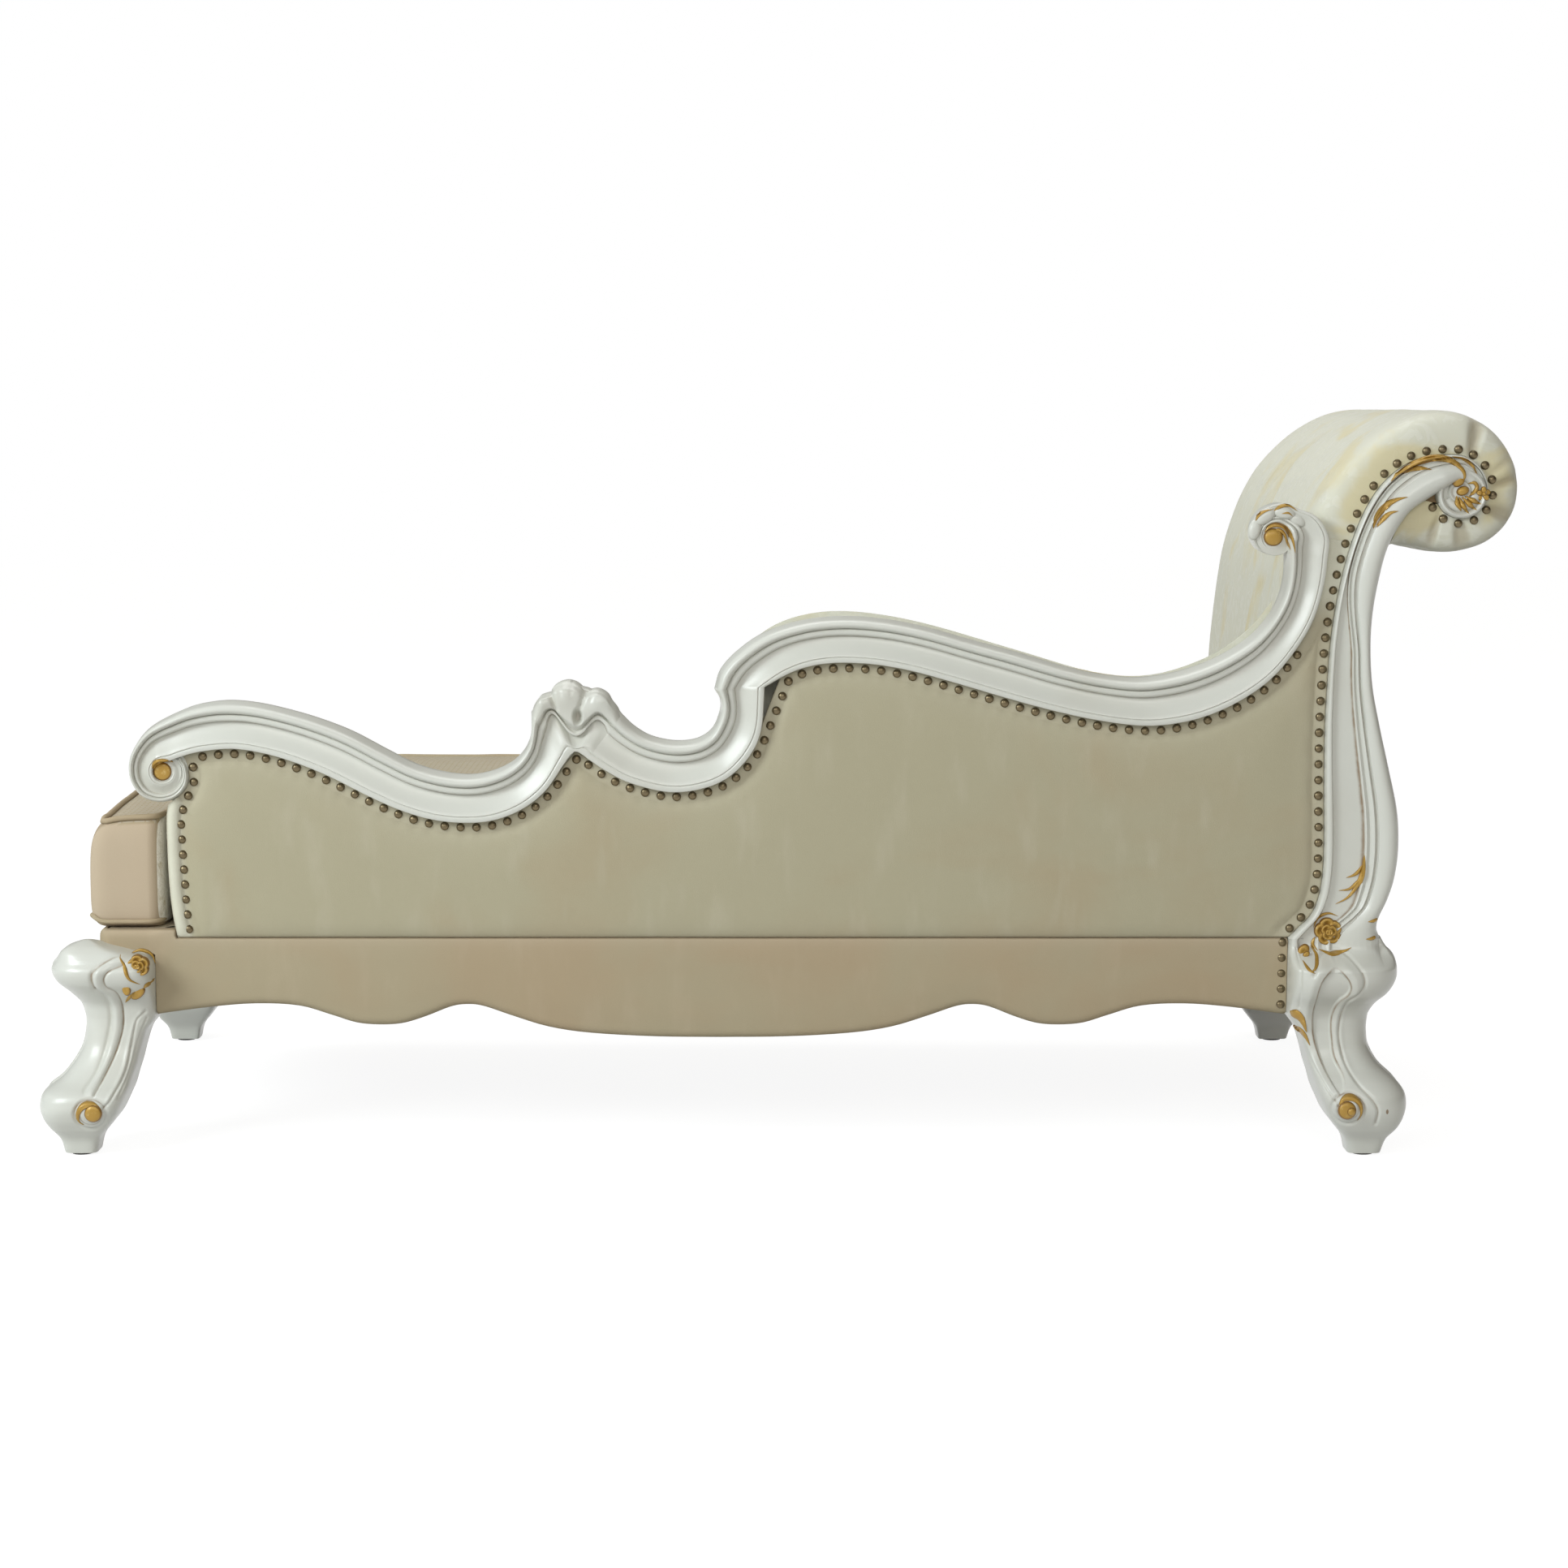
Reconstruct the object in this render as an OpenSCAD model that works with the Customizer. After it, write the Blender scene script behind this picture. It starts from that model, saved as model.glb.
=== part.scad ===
// Chaise longue: carved show-wood rail along one side, scrolled head with a carved post on
// each face, scalloped upholstered base on four cabriole legs, and a loose seat cushion.
// X runs from the foot end to the head, -Y is the side with the carved rail, +Y is the open
// side, Z is up from the floor. The outlines are drawn in the X-Z plane at the sizes named
// drawn_..., and the functions X() and Z() carry them to the sizes that are set here.

/* [Overall] */
// Length over everything, from the foot legs to the roll
length = 2046; // [1900:2:2200]
// Depth over the covers of the base, without the legs' reach
depth = 760; // [680:2:860]
// Height of the roll above the floor
height = 1030; // [980:2:1090]
// Height of the seam on top of the base
base_top = 300; // [285:1:320]

/* [Timber] */
// Thickness of the seat rails
rail_board = 28; // [22:0.5:34]
// Thickness of the uprights and of the cheeks that shape the head
frame_board = 22; // [18:0.5:26]
// How far the carved rail and posts stand out from the covers
show_relief = 22; // [14:0.5:28]
// Height of the seat rails' top below the seam
rail_drop = 8; // [7:0.5:14]
// Width of an upright
upright_w = 48; // [36:1:60]
// Height of a cross stretcher
stretcher_h = 60; // [40:1:62]
// Width of a cross stretcher
stretcher_w = 40; // [28:1:60]
// Thickness of a corner block across the leg's corner
block_depth = 27; // [22:0.5:40]
// Height of a corner block
block_h = 62; // [40:1:62]
// Side of a cross rail in the head
head_rail = 30; // [20:1:32]

/* [Covers] */
// Thickness of a padded cover on the outside
cover = 12; // [9:0.5:16]
// How far the deck stands above the seam
deck_rise = 12; // [11:0.5:16]
// Thickness of the padding inside the rear side
side_pad = 41; // [30:1:50]
// Thickness of a single cloth
cloth = 1.5; // [1:0.1:2.5]
// Thickness of the cloth under the seat
dust = 1.2; // [0.8:0.1:2]

/* [Cushion] */
// Height of the cushion at its edges
cushion_h = 162; // [130:1:180]
// How much higher the cushion is in its middle
cushion_crown = 10; // [4:1:20]
// Thickness of the cushion's cover
cushion_skin = 4; // [3:0.5:6]
// Diameter of the piping
piping_d = 8; // [6:0.5:10]

/* [Nails and gilt work] */
// Diameter of a nail's head
nail_d = 12; // [10:0.5:14]
// Distance between nails
nail_pitch = 22; // [18:0.5:26]
// Distance from the edge of the carved timber to the middle of a nail
nail_inset = 8; // [7.5:0.5:10]
// Radius of the button in the foot volute of the rail
foot_eye_r = 13; // [10:0.5:14]
// Radius of the button in the scroll at the head of the rail
curl_eye_r = 17; // [13:0.5:18]
// Radius of the buttons in the posts' volutes
post_eye_r = 13; // [10:0.5:14]
// Radius of a rosette on a leg
rosette_r = 16; // [12:0.5:18]
// Radius of the gilt scroll on a foot
foot_scroll_r = 16; // [12:0.5:18]

/* [Springs and fixings] */
// Number of springs under the deck
spring_count = 9; // [6:1:12]
// Thickness of the spring wire
wire = 3.6; // [3:0.1:4.4]
// Width of a spring's bends
spring_w = 46; // [36:1:56]
// Radius of a leg bolt
bolt_r = 4; // [3:0.25:5]
// Diameter of a floor glide
glide_d = 30; // [22:1:36]
// Thickness of a floor glide
glide_t = 3; // [2:0.5:5]
// Number of webbing straps across the back
strap_count = 6; // [4:1:7]
// Width of a webbing strap
strap_w = 60; // [40:1:70]

/* [Hidden] */
$fn = 32;

// Clearance between two pieces
gap = 0.3;
// Colours of the finishes
painted = [0.86, 0.85, 0.79];
bare_wood = [0.72, 0.55, 0.36];
gilt = [0.72, 0.55, 0.27];
velvet = [0.69, 0.65, 0.54];
damask = [0.87, 0.84, 0.74];
linen = [0.78, 0.72, 0.60];
steel = [0.55, 0.56, 0.58];

// The sizes at which the outlines were drawn, and the two lines between which they stretch
drawn_length = 2046;
drawn_base = 300;
drawn_height = 1030;
foot_line = -860;
head_line = 650;
function X(x) =
    let (grow = (length - drawn_length) / 2)
    x <= foot_line ? x - grow
    : x >= head_line ? x + grow
    : x + grow * (2 * (x - foot_line) / (head_line - foot_line) - 1);
function Z(z) =
    z <= drawn_base ? z * base_top / drawn_base
    : base_top + (z - drawn_base) * (height - base_top) / (drawn_height - drawn_base);

// How much taller than drawn a ring round a scroll's eye is set out, so that it stays round
ring_rise = (drawn_height - drawn_base) / (height - base_top);

// Planes across the depth, for the rear side: the front side mirrors them
face_y = depth / 2;
board_y = face_y - cover - gap;
rail_in_y = board_y - rail_board;
frame_in_y = board_y - frame_board;
lining_in_y = frame_in_y - gap - cloth;
pad_in_y = lining_in_y - gap - side_pad;

// Heights
rail_top = base_top - rail_drop;
deck_top = base_top + deck_rise;
leg_top = base_top - gap;
knee_z = 277;

// Lengths: the covers' end faces, and the lines from which the legs are measured
foot_face = X(-948);
head_face = X(841);
foot_leg_line = X(-948);
head_leg_line = X(795);
foot_rail_out = foot_face + cover + gap;
foot_rail_in = foot_rail_out + rail_board;
head_rail_out = head_face - cover - gap;
head_rail_in = head_rail_out - rail_board;
// How far a leg's block reaches inside its line
leg_in = 80;
head_leg_in = 83;
foot_leg_x = foot_leg_line + leg_in + gap;
head_leg_x = head_leg_line - head_leg_in - gap;
leg_in_y = face_y - leg_in - gap;

// General helpers

function lerp(a, b, t) = a + (b - a) * t;
function polar(c, r, a) = [c[0] + r * cos(a), c[1] + r * sin(a)];
// A point on the ring round a scroll's button, with the wood's clearance
function ring(c, r, a) = [c[0] + (r + 1) * cos(a), c[1] + (r + 1) * ring_rise * sin(a)];
// The point d further from a towards b
function pull(a, b, d) = a + (b - a) * d / norm(b - a);
function knot(a, b, c, d, t) =
    0.5 * (2 * b + (c - a) * t + (2 * a - 5 * b + 4 * c - d) * t * t
        + (3 * b - a - 3 * c + d) * t * t * t);
// A smooth run through the points p, with n steps from one to the next
function smooth(p, n) =
    let (last = len(p) - 1)
    concat([for (i = [0:last - 1], k = [0:n - 1])
        knot(i > 0 ? p[i - 1] : 2 * p[0] - p[1], p[i], p[i + 1],
            i < last - 1 ? p[i + 2] : 2 * p[last] - p[last - 1], k / n)], [p[last]]);
// The same for a closed run
function smooth_loop(p, n) =
    let (m = len(p))
    [for (i = [0:m - 1], k = [0:n - 1])
        knot(p[(i + m - 1) % m], p[i], p[(i + 1) % m], p[(i + 2) % m], k / n)];
function tail(p) = [for (i = [1:len(p) - 1]) p[i]];
function flip(p) = [for (i = [len(p) - 1:-1:0]) p[i]];
function place(p) = [X(p[0]), Z(p[1])];
// The run of points p, moved by d to the right of its way
function beside(p, d) =
    [for (i = [0:len(p) - 1])
        let (w = p[min(i + 1, len(p) - 1)] - p[max(i - 1, 0)])
        p[i] + d * [w[1], -w[0]] / norm(w)];

// Lengths along a run of points, and evenly spaced places on it
function reach(p) =
    [for (i = 0, s = 0; i < len(p); s = s + (i < len(p) - 1 ? norm(p[i + 1] - p[i]) : 0), i = i + 1) s];
function spot(p, s, d) =
    let (i = max([for (k = [0:len(s) - 2]) if (s[k] <= d) k]))
    lerp(p[i], p[i + 1], (d - s[i]) / (s[i + 1] - s[i]));
function spaced(p, pitch) =
    let (s = reach(p), total = s[len(s) - 1], n = round(total / pitch))
    [for (k = [0:n]) spot(p, s, total * k / n)];

// A solid through rings of equally many points, closed at both ends
module lofted(rings) {
    m = len(rings[0]);
    n = len(rings);
    points = [for (r = rings, p = r) p];
    walls = [for (i = [0:n - 2], j = [0:m - 1])
        let (a = i * m + j, b = i * m + (j + 1) % m)
        each [[a, b, b + m], [a, b + m, a + m]]];
    start = [for (j = [m - 1:-1:0]) j];
    end = [for (j = [0:m - 1]) (n - 1) * m + j];
    polyhedron(points, concat(walls, [start, end]));
}

// A closed tube of k sides along a closed path of points in space
module piping_tube(path, r, k) {
    m = len(path);
    rings = [for (i = [0:m - 1])
        let (
            way = path[(i + 1) % m] - path[(i + m - 1) % m],
            side = cross(way, [0, 0, 1]) / norm(cross(way, [0, 0, 1])),
            rise = cross(side, way) / norm(way))
        [for (j = [0:k - 1]) path[i] + r * (cos(360 * j / k) * side + sin(360 * j / k) * rise)]];
    polyhedron([for (q = rings, p = q) p],
        [for (i = [0:m - 1], j = [0:k - 1])
            let (a = i * k + j, b = i * k + (j + 1) % k, c = (a + k) % (m * k), d = (b + k) % (m * k))
            each [[a, b, d], [a, d, c]]]);
}

// An outline in X-Z, from y1 to y2
module board(y1, y2) {
    translate([0, y2, 0]) rotate([90, 0, 0]) linear_extrude(y2 - y1) children();
}

module both_sides() {
    children();
    mirror([0, 1, 0]) children();
}

// Outlines of the rail. Each station is the outer edge and the inner edge of its face,
// as [outer x, outer z, inner x, inner z]

foot_eye = [-850, 534];
curl_eye = [683.5, 858.7];
// Angle and outer radius of each station of the foot volute
foot_volute = [for (s = [[38, 31], [8, 33], [-27, 37], [-62, 40], [-97, 43], [-132, 46],
    [-167, 47], [-200, 49], [-232, 54], [-258, 64]])
    concat(polar(foot_eye, s[1], s[0]), ring(foot_eye, foot_eye_r, s[0]))];
low_wave = [[-829, 614, -841, 549], [-800, 624, -824, 555], [-762, 629, -797, 562], [-722, 626, -752, 566],
    [-680, 617, -706, 559], [-636, 604, -661, 545], [-590, 586, -618, 527], [-541, 560, -565, 500],
    [-501, 540, -520, 480], [-461, 529, -475, 467], [-422, 526, -430, 463], [-387, 534, -391, 467],
    [-359, 551, -353, 482], [-342, 578, -321, 507], [-339, 614, -294, 545]];
crest_seat = [[-336, 618, -291, 549], [-318, 636, -283, 558], [-290, 648, -279, 562],
    [-262, 646, -275, 562], [-236, 630, -270, 558], [-220, 614, -264, 554]];
neck = [[-217, 610, -262, 552], [-200, 594, -238, 536], [-176, 580, -205, 519], [-143, 573, -152, 506],
    [-112, 576, -106, 510], [-90, 590, -68, 526], [-79, 614, -38, 556], [-78, 633, -22, 592],
    [-85, 648, -17, 652]];
hump = [[-85, 648, -17, 652], [-76, 674, 4, 664], [-52, 700, 22, 673], [-14, 725, 44, 680],
    [38, 741, 68, 684], [92, 746, 98, 685], [148, 742, 140, 682], [205, 731, 188, 673],
    [265, 714, 246, 657], [328, 697, 310, 638], [392, 678, 376, 620], [446, 666, 440, 606],
    [498, 661, 506, 598], [545, 667, 560, 603], [588, 680, 606, 617], [625, 698, 650, 640],
    [655, 719, 684, 667], [678, 745, 711, 700], [692, 771, 732, 734], [699, 796, 744, 766],
    [701, 822, 751, 798]];
// Angle and outer radius of each station of the scroll at the head, round its button
head_curl = [for (s = [[-25, 78], [0, 72], [25, 62], [50, 49], [80, 46], [112, 41], [145, 36],
    [180, 32], [215, 29], [250, 26]])
    concat(ring(curl_eye, curl_eye_r, s[0]), polar(curl_eye, s[1], s[0]))];

function placed_pair(s) = concat(place([s[0], s[1]]), place([s[2], s[3]]));
function run(stations, n) = [for (s = smooth(stations, n)) placed_pair(s)];
low_run = run(concat(foot_volute, low_wave), 2);
crest_run = run(crest_seat, 1);
neck_run = run(neck, 2);
hump_run = run(concat(hump, head_curl), 2);
function outer_of(s) = [s[0], s[1]];
function inner_of(s) = [s[2], s[3]];
// Points at the distance d outside the carved timber, along its inner or its outer edge
function off_inner(stations, first, last, d) =
    [for (i = [first:last]) pull(inner_of(stations[i]), outer_of(stations[i]), -d)];
function off_outer(stations, first, last, d) =
    [for (i = [first:last]) pull(outer_of(stations[i]), place(foot_eye), -d)];

// The moulding on the rail's face: share of the width, share of the relief
rail_moulding = [[0, 0.15], [0.02, 0.62], [0.08, 0.92], [0.13, 1], [0.19, 0.84], [0.225, 0.5],
    [0.25, 0.64], [0.35, 0.62], [0.385, 0.22], [0.52, 0.32], [0.7, 0.58], [0.84, 0.8],
    [0.87, 0.62], [0.9, 0.74], [1, 0.7]];
// The moulding on a post's face
post_moulding = [[0, 0.3], [0.03, 0.66], [0.11, 0.7], [0.15, 0.44], [0.4, 0.44], [0.45, 0.66],
    [0.51, 0.44], [0.6, 0.62], [0.66, 0.5], [0.76, 0.9], [0.86, 1], [0.96, 0.76], [1, 0.3]];
// Width of carved timber below which its relief gets flatter
full_relief_w = 48;

// One ring of carved timber across the station s, its back at the plane back_y
function carved_ring(s, moulding, strength, back_y) =
    let (
        a = outer_of(s),
        b = inner_of(s),
        relief = show_relief * strength * min(1, norm(b - a) / full_relief_w))
    concat(
        [for (m = moulding) let (p = lerp(a, b, m[0])) [p[0], -face_y - relief * m[1], p[1]]],
        [[b[0], -back_y, b[1]], [a[0], -back_y, a[1]]]);

// Outlines of the head. Each station is a point on the fabric's contour, the edge of the
// post next to it, and the post's other edge, as [x, z, x, z, x, z]

post_eye = [935, 920];
rising = [[690, 301, 712, 300, 838, 300], [690, 314, 728, 316, 834, 314], [690, 333, 744, 333, 838, 332],
    [691, 358, 754, 358, 849, 357], [692, 390, 759, 391, 858, 388], [692, 430, 760, 431, 862, 428],
    [692, 482, 759, 482, 859, 478], [692, 540, 758, 540, 846, 538], [693, 600, 758, 600, 832, 598],
    [695, 655, 760, 655, 821, 652], [700, 710, 763, 710, 817, 706], [706, 762, 769, 760, 819, 752],
    [714, 812, 778, 808, 826, 796], [727, 858, 790, 852, 836, 838], [745, 903, 806, 893, 850, 868],
    [772, 947, 826, 926, 868, 893], [815, 990, 851, 950, 890, 909], [860, 1018, 880, 965, 909, 921]];
// Angle, radius of the post's edge and the contour's point, round the post's volute
turning = [[112, 54, 902, 1030], [84, 48, 944, 1027], [55, 43, 985, 1005], [27, 40, 1013, 968],
    [0, 39, 1023, 928], [-30, 38, 1015, 884], [-60, 37, 985, 851], [-92, 36, 945, 836],
    [-122, 35, 908, 835], [-150, 34, 882, 841]];
head_stations = concat(rising, [for (t = turning)
    concat([t[2], t[3]], polar(post_eye, t[1], t[0]), ring(post_eye, post_eye_r, t[0]))]);
// Under the volute the fabric ends against the post's outer side
tuck = [[866, 844, 881, 900], [853, 847, 862, 883], [847, 849, 850, 861]];
// The last station of the head below which the rear side stands beside the fabric
beside_side = 14;

head_run = [for (s = smooth(head_stations, 2))
    concat(place([s[0], s[1]]), place([s[2], s[3]]), place([s[4], s[5]]))];
turn_start = 2 * (len(rising) - 1);
function contour_of(h) = [h[0], h[1]];
function edge_of(h) = [h[2], h[3]];
function far_of(h) = [h[4], h[5]];
// The point at the distance d from the post's edge, towards its other edge
function in_post(h, d) = pull(edge_of(h), far_of(h), d);

// Outline of a head cheek, drawn in from the post's edges
cheek_inset = 2.2;
cheek_far_inset = 10;
cheek_outline = concat(
    [for (h = head_run) in_post(h, cheek_inset)],
    flip([for (i = [0:turn_start - 3]) pull(far_of(head_run[i]), edge_of(head_run[i]), cheek_far_inset)]));

// Outline of the rear side between base, post and rail
foot_edge = smooth([[-835, 296], [-841, 325], [-845, 358], [-847, 392], [-848, 430], [-848, 468],
    [-846, 486]], 2);
// How many stations of the volute lie above the foot edge
volute_under = 6;
rail_foot_i = 2 * len(foot_volute);
crest_low = 3;
hump_end = 2 * (len(hump) - 3);
// The station of the head at which the side's upper corner meets the post
side_top = 20;
// The foot edge from height z up
function foot_from(z) =
    let (
        drawn = [for (p = foot_edge) place(p)],
        run = concat([[drawn[0][0], 0]], drawn),
        first = [for (i = [1:len(run) - 1]) if (run[i][1] > z && run[i - 1][1] <= z) i][0],
        low = run[first - 1],
        high = run[first])
    concat([lerp(low, high, (z - low[1]) / (high[1] - low[1]))],
        [for (i = [first:len(run) - 1]) run[i]]);
function side_outline(bottom, inset, cut_left = 0) =
    let (
        off = inset + gap,
        left = [for (p = foot_from(bottom)) [p[0] + inset + cut_left, p[1]]],
        under = flip(off_outer(low_run, 0, volute_under, off)),
        lows = off_inner(low_run, rail_foot_i, len(low_run) - 1, off),
        crests = off_inner(crest_run, crest_low, crest_low, off),
        necks = off_inner(neck_run, 0, len(neck_run) - 3, off),
        humps = off_inner(hump_run, 2, hump_end, off),
        right = flip([for (i = [0:side_top]) in_post(head_run[i], -off)]))
    concat(left, under, lows, crests, necks, humps, right, [[right[len(right) - 1][0], bottom]]);

// Scalloped lower edge of the base between the legs, symmetric about its middle

scallop_mid = -80;
half_scallop = [[0, 157], [90, 158], [180, 163], [240, 172], [292, 188], [330, 201], [352, 204],
    [376, 201], [412, 187], [445, 177], [478, 175], [510, 178], [545, 189], [590, 202],
    [650, 205], [715, 200], [791, 190]];
scallop = concat(
    flip([for (p = tail(smooth(half_scallop, 2))) [scallop_mid - p[0], p[1]]]),
    [for (p = smooth(half_scallop, 2)) [scallop_mid + p[0], p[1]]]);
// The same for an end, across the depth between its legs
end_half = leg_in_y;
end_scallop_drawn = [[0, 160], [70, 163], [120, 174], [160, 192], [185, 200], [212, 192], [240, 180],
    [265, 180], [299, 190]];
end_drawn_half = 299;
end_scallop = concat(
    flip([for (p = tail(smooth(end_scallop_drawn, 2))) [-p[0] * end_half / end_drawn_half, Z(p[1])]]),
    [for (p = smooth(end_scallop_drawn, 2)) [p[0] * end_half / end_drawn_half, Z(p[1])]]);

// Lower outline of a long side from leg to leg, lifted by up
function long_lower(up) =
    [for (p = scallop) let (q = place(p)) [min(max(q[0], foot_leg_x), head_leg_x), q[1] + up]];
knee_top = Z(knee_z) + 1;

// A long side's cover: over the foot leg's knee, then down to the scallops
module long_cover_outline(top_points) {
    polygon(concat(
        [[foot_face, knee_top]], top_points, [[head_leg_x, Z(200)]],
        flip(long_lower(0)),
        [[foot_leg_x, knee_top]]));
}

// Legs: height, reach outside the leg's line, reach inside it
leg_levels = [[40, 62, 18], [56, 71, 30], [73, 75, 38], [90, 70, 45], [106, 47, 49], [124, 30, 54],
    [146, 17, 59], [168, 13, 66], [182, 13, 76], [194, 15, leg_in], [210, 21, leg_in],
    [226, 36, leg_in], [243, 53, leg_in], [260, 60, leg_in]];
sole = [[46, 1], [52, 6]];
sole_rise = 20;
leg_corner = 4;
leg_sides = 16;

// One level of a leg: a rectangle with soft corners over [x1, x2] and [y1, y2]
function leg_ring(z, x1, x2, y1, y2) =
    [for (i = [0:leg_sides - 1])
        let (
            a = 360 * (i + 0.5) / leg_sides,
            c = cos(a),
            s = sin(a),
            e = 2 / leg_corner)
        [(x1 + x2) / 2 + (x2 - x1) / 2 * sign(c) * pow(abs(c), e),
         (y1 + y2) / 2 + (y2 - y1) / 2 * sign(s) * pow(abs(s), e),
         z]];
function lower_leg(line, way, in_more) =
    let (
        low = concat([glide_t], sole[0]),
        edge = concat([glide_t + sole_rise], sole[1]),
        levels = concat([low, edge], [for (l = leg_levels) [Z(l[0]), l[1], l[2]]]))
    [for (l = levels)
        let (
            out_x = line + way * l[1],
            in_x = line - way * (l[2] + (l[2] >= leg_in ? in_more : 0)))
        leg_ring(l[0], min(out_x, in_x), max(out_x, in_x), -face_y - l[1], -face_y + l[2])];
// Above the knee the foot leg only stands outside the corner of the cover
foot_lip = [[knee_z, 55, 72], [knee_z + 0.6, 54, -1], [288, 44, -1], [297, 26, -3]];
// The head leg goes on up to its post
head_rise = [[knee_z, 60, 54], [290, 52, 32]];
// How far the head leg's top reaches outside its line, under the post
head_top_reach = 48;

module foot_leg() {
    color(painted) lofted(concat(lower_leg(foot_leg_line, -1, 0),
        [for (l = foot_lip)
            let (x = foot_leg_line, y = -face_y)
            leg_ring(Z(l[0]), x - l[1], x + l[2], y - l[1], y + l[2])]));
}
module head_leg() {
    x1 = head_leg_line - head_leg_in;
    y2 = -face_y + leg_in;
    color(painted) lofted(concat(lower_leg(head_leg_line, 1, head_leg_in - leg_in),
        [for (l = head_rise) leg_ring(Z(l[0]), x1, head_leg_line + l[1], -face_y - l[2], y2)],
        [leg_ring(leg_top, x1, head_leg_line + head_top_reach, -face_y - show_relief, y2)]));
}
module leg_foot_rear() {
    foot_leg();
}
module leg_foot_front() {
    mirror([0, 1, 0]) foot_leg();
}
module leg_head_rear() {
    head_leg();
}
module leg_head_front() {
    mirror([0, 1, 0]) head_leg();
}

sole_mid = (sole[0][0] - sole[0][1]) / 2;
module floor_glides() {
    color("dimgray") both_sides()
        for (x = [foot_leg_line - sole_mid, head_leg_line + sole_mid])
            translate([x, -face_y - sole_mid, 0]) cylinder(d = glide_d, h = glide_t);
}

// Timber of the seat

// How far a seat rail's lower edge stays above its cover's
rail_lift = 4;
module long_rail() {
    board(-board_y, -rail_in_y)
        polygon(concat(
            [[foot_rail_out, knee_top], [foot_rail_out, rail_top], [head_leg_x, rail_top],
             [head_leg_x, Z(200)]],
            flip(long_lower(rail_lift)),
            [[foot_leg_x, knee_top]]));
}
module end_outline(lift, top, wide, shelf) {
    polygon(concat(
        [for (p = end_scallop) [p[0], p[1] + lift]],
        [[end_half, shelf], [wide, shelf], [wide, top], [-wide, top], [-wide, shelf], [-end_half, shelf]]));
}
module across(x1, x2) {
    translate([x1, 0, 0]) rotate([90, 0, 90]) linear_extrude(x2 - x1) children();
}
module seat_rail_rear() {
    color(bare_wood) long_rail();
}
module seat_rail_front() {
    color(bare_wood) mirror([0, 1, 0]) long_rail();
}
module seat_rail_foot() {
    color(bare_wood) across(foot_rail_out, foot_rail_in)
        end_outline(rail_lift, rail_top, rail_in_y - gap, knee_top);
}
module seat_rail_head() {
    color(bare_wood) across(head_rail_in, head_rail_out)
        end_outline(rail_lift, rail_top, end_half, rail_top - 1);
}

// Two stretchers tie the long rails together under the springs
stretcher_x = [X(-360), X(240)];
stretcher_top = rail_top - 8;
module cross_stretchers() {
    color(bare_wood) for (x = stretcher_x)
        translate([x - stretcher_w / 2, -rail_in_y + gap, stretcher_top - stretcher_h])
            cube([stretcher_w, 2 * (rail_in_y - gap), stretcher_h]);
}

// A corner block wraps the leg's inner corner and is drawn up to it by a bolt
block_z = rail_top - 10 - block_h;
bolt_z = block_z + block_h / 2;
function block_mid(leg_x, way) = [leg_x - way * block_depth / sqrt(2), -leg_in_y + block_depth / sqrt(2)];
module block_plan(leg_x, rail_x, way) {
    c = block_mid(leg_x, way);
    y = -rail_in_y + gap;
    x = rail_x - way * gap;
    polygon([[leg_x, y], [c[0] - way * (c[1] - y), y], [x, c[1] + abs(x - c[0])], [x, -leg_in_y],
        [leg_x, -leg_in_y]]);
}
module block_bore(leg_x, way, r, from, to) {
    c = block_mid(leg_x, way);
    translate([c[0], c[1], bolt_z]) rotate([0, 0, way > 0 ? -45 : -135]) rotate([0, 90, 0])
        translate([0, 0, from]) cylinder(r = r, h = to - from);
}
bolt_clear = 0.3;
module corner_blocks() {
    color(bare_wood) both_sides()
        for (c = [[foot_leg_x, foot_rail_in, -1], [head_leg_x, head_rail_in, 1]])
            difference() {
                translate([0, 0, block_z]) linear_extrude(block_h) block_plan(c[0], c[1], c[2]);
                block_bore(c[0], c[2], bolt_r + bolt_clear, -2 * block_depth, 2 * block_depth);
            }
}
bolt_grip = 40;
bolt_end = 3;
nut_t = 7;
washer_t = 2;
module leg_bolts() {
    color(steel) both_sides()
        for (c = [[foot_leg_x, -1], [head_leg_x, 1]]) {
            block_bore(c[0], c[1], bolt_r, -washer_t - nut_t - bolt_end, block_depth + bolt_grip);
            block_bore(c[0], c[1], bolt_r * 2.6, -washer_t - gap, -gap);
            block_bore(c[0], c[1], bolt_r * 1.8, -washer_t - nut_t, -washer_t);
        }
}

// Deck: zigzag springs in clips, hessian, pad and cloth

spring_turns = 11;
spring_steps = 6;
clip_w = 16;
clip_d = 18;
clip_wall = 1.2;
clip_h = wire + gap + clip_wall;
spring_x = [for (i = [0:spring_count - 1]) lerp(X(-850), X(640), i / (spring_count - 1))];
spring_end_y = (board_y + rail_in_y) / 2;
// Middle line of one spring from rear to front
spring_straight = 14;
spring_bends = rail_in_y - 24;
zigzag = concat(
    [[0, -spring_end_y - clip_d / 2 + 2], [0, -rail_in_y + spring_straight]],
    [for (i = [0:spring_steps * spring_turns])
        [spring_w / 2 * sin(360 * i / spring_steps),
         lerp(-spring_bends, spring_bends, i / (spring_steps * spring_turns))]],
    [[0, rail_in_y - spring_straight], [0, spring_end_y + clip_d / 2 - 2]]);
function across_way(p, i) =
    let (w = p[min(i + 1, len(p) - 1)] - p[max(i - 1, 0)])
    [-w[1], w[0]] / norm(w);
module seat_springs() {
    color(steel) for (x = spring_x)
        translate([x, 0, rail_top]) linear_extrude(wire)
            polygon(concat(
                [for (i = [0:len(zigzag) - 1]) zigzag[i] + wire / 2 * across_way(zigzag, i)],
                flip([for (i = [0:len(zigzag) - 1]) zigzag[i] - wire / 2 * across_way(zigzag, i)])));
}
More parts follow.
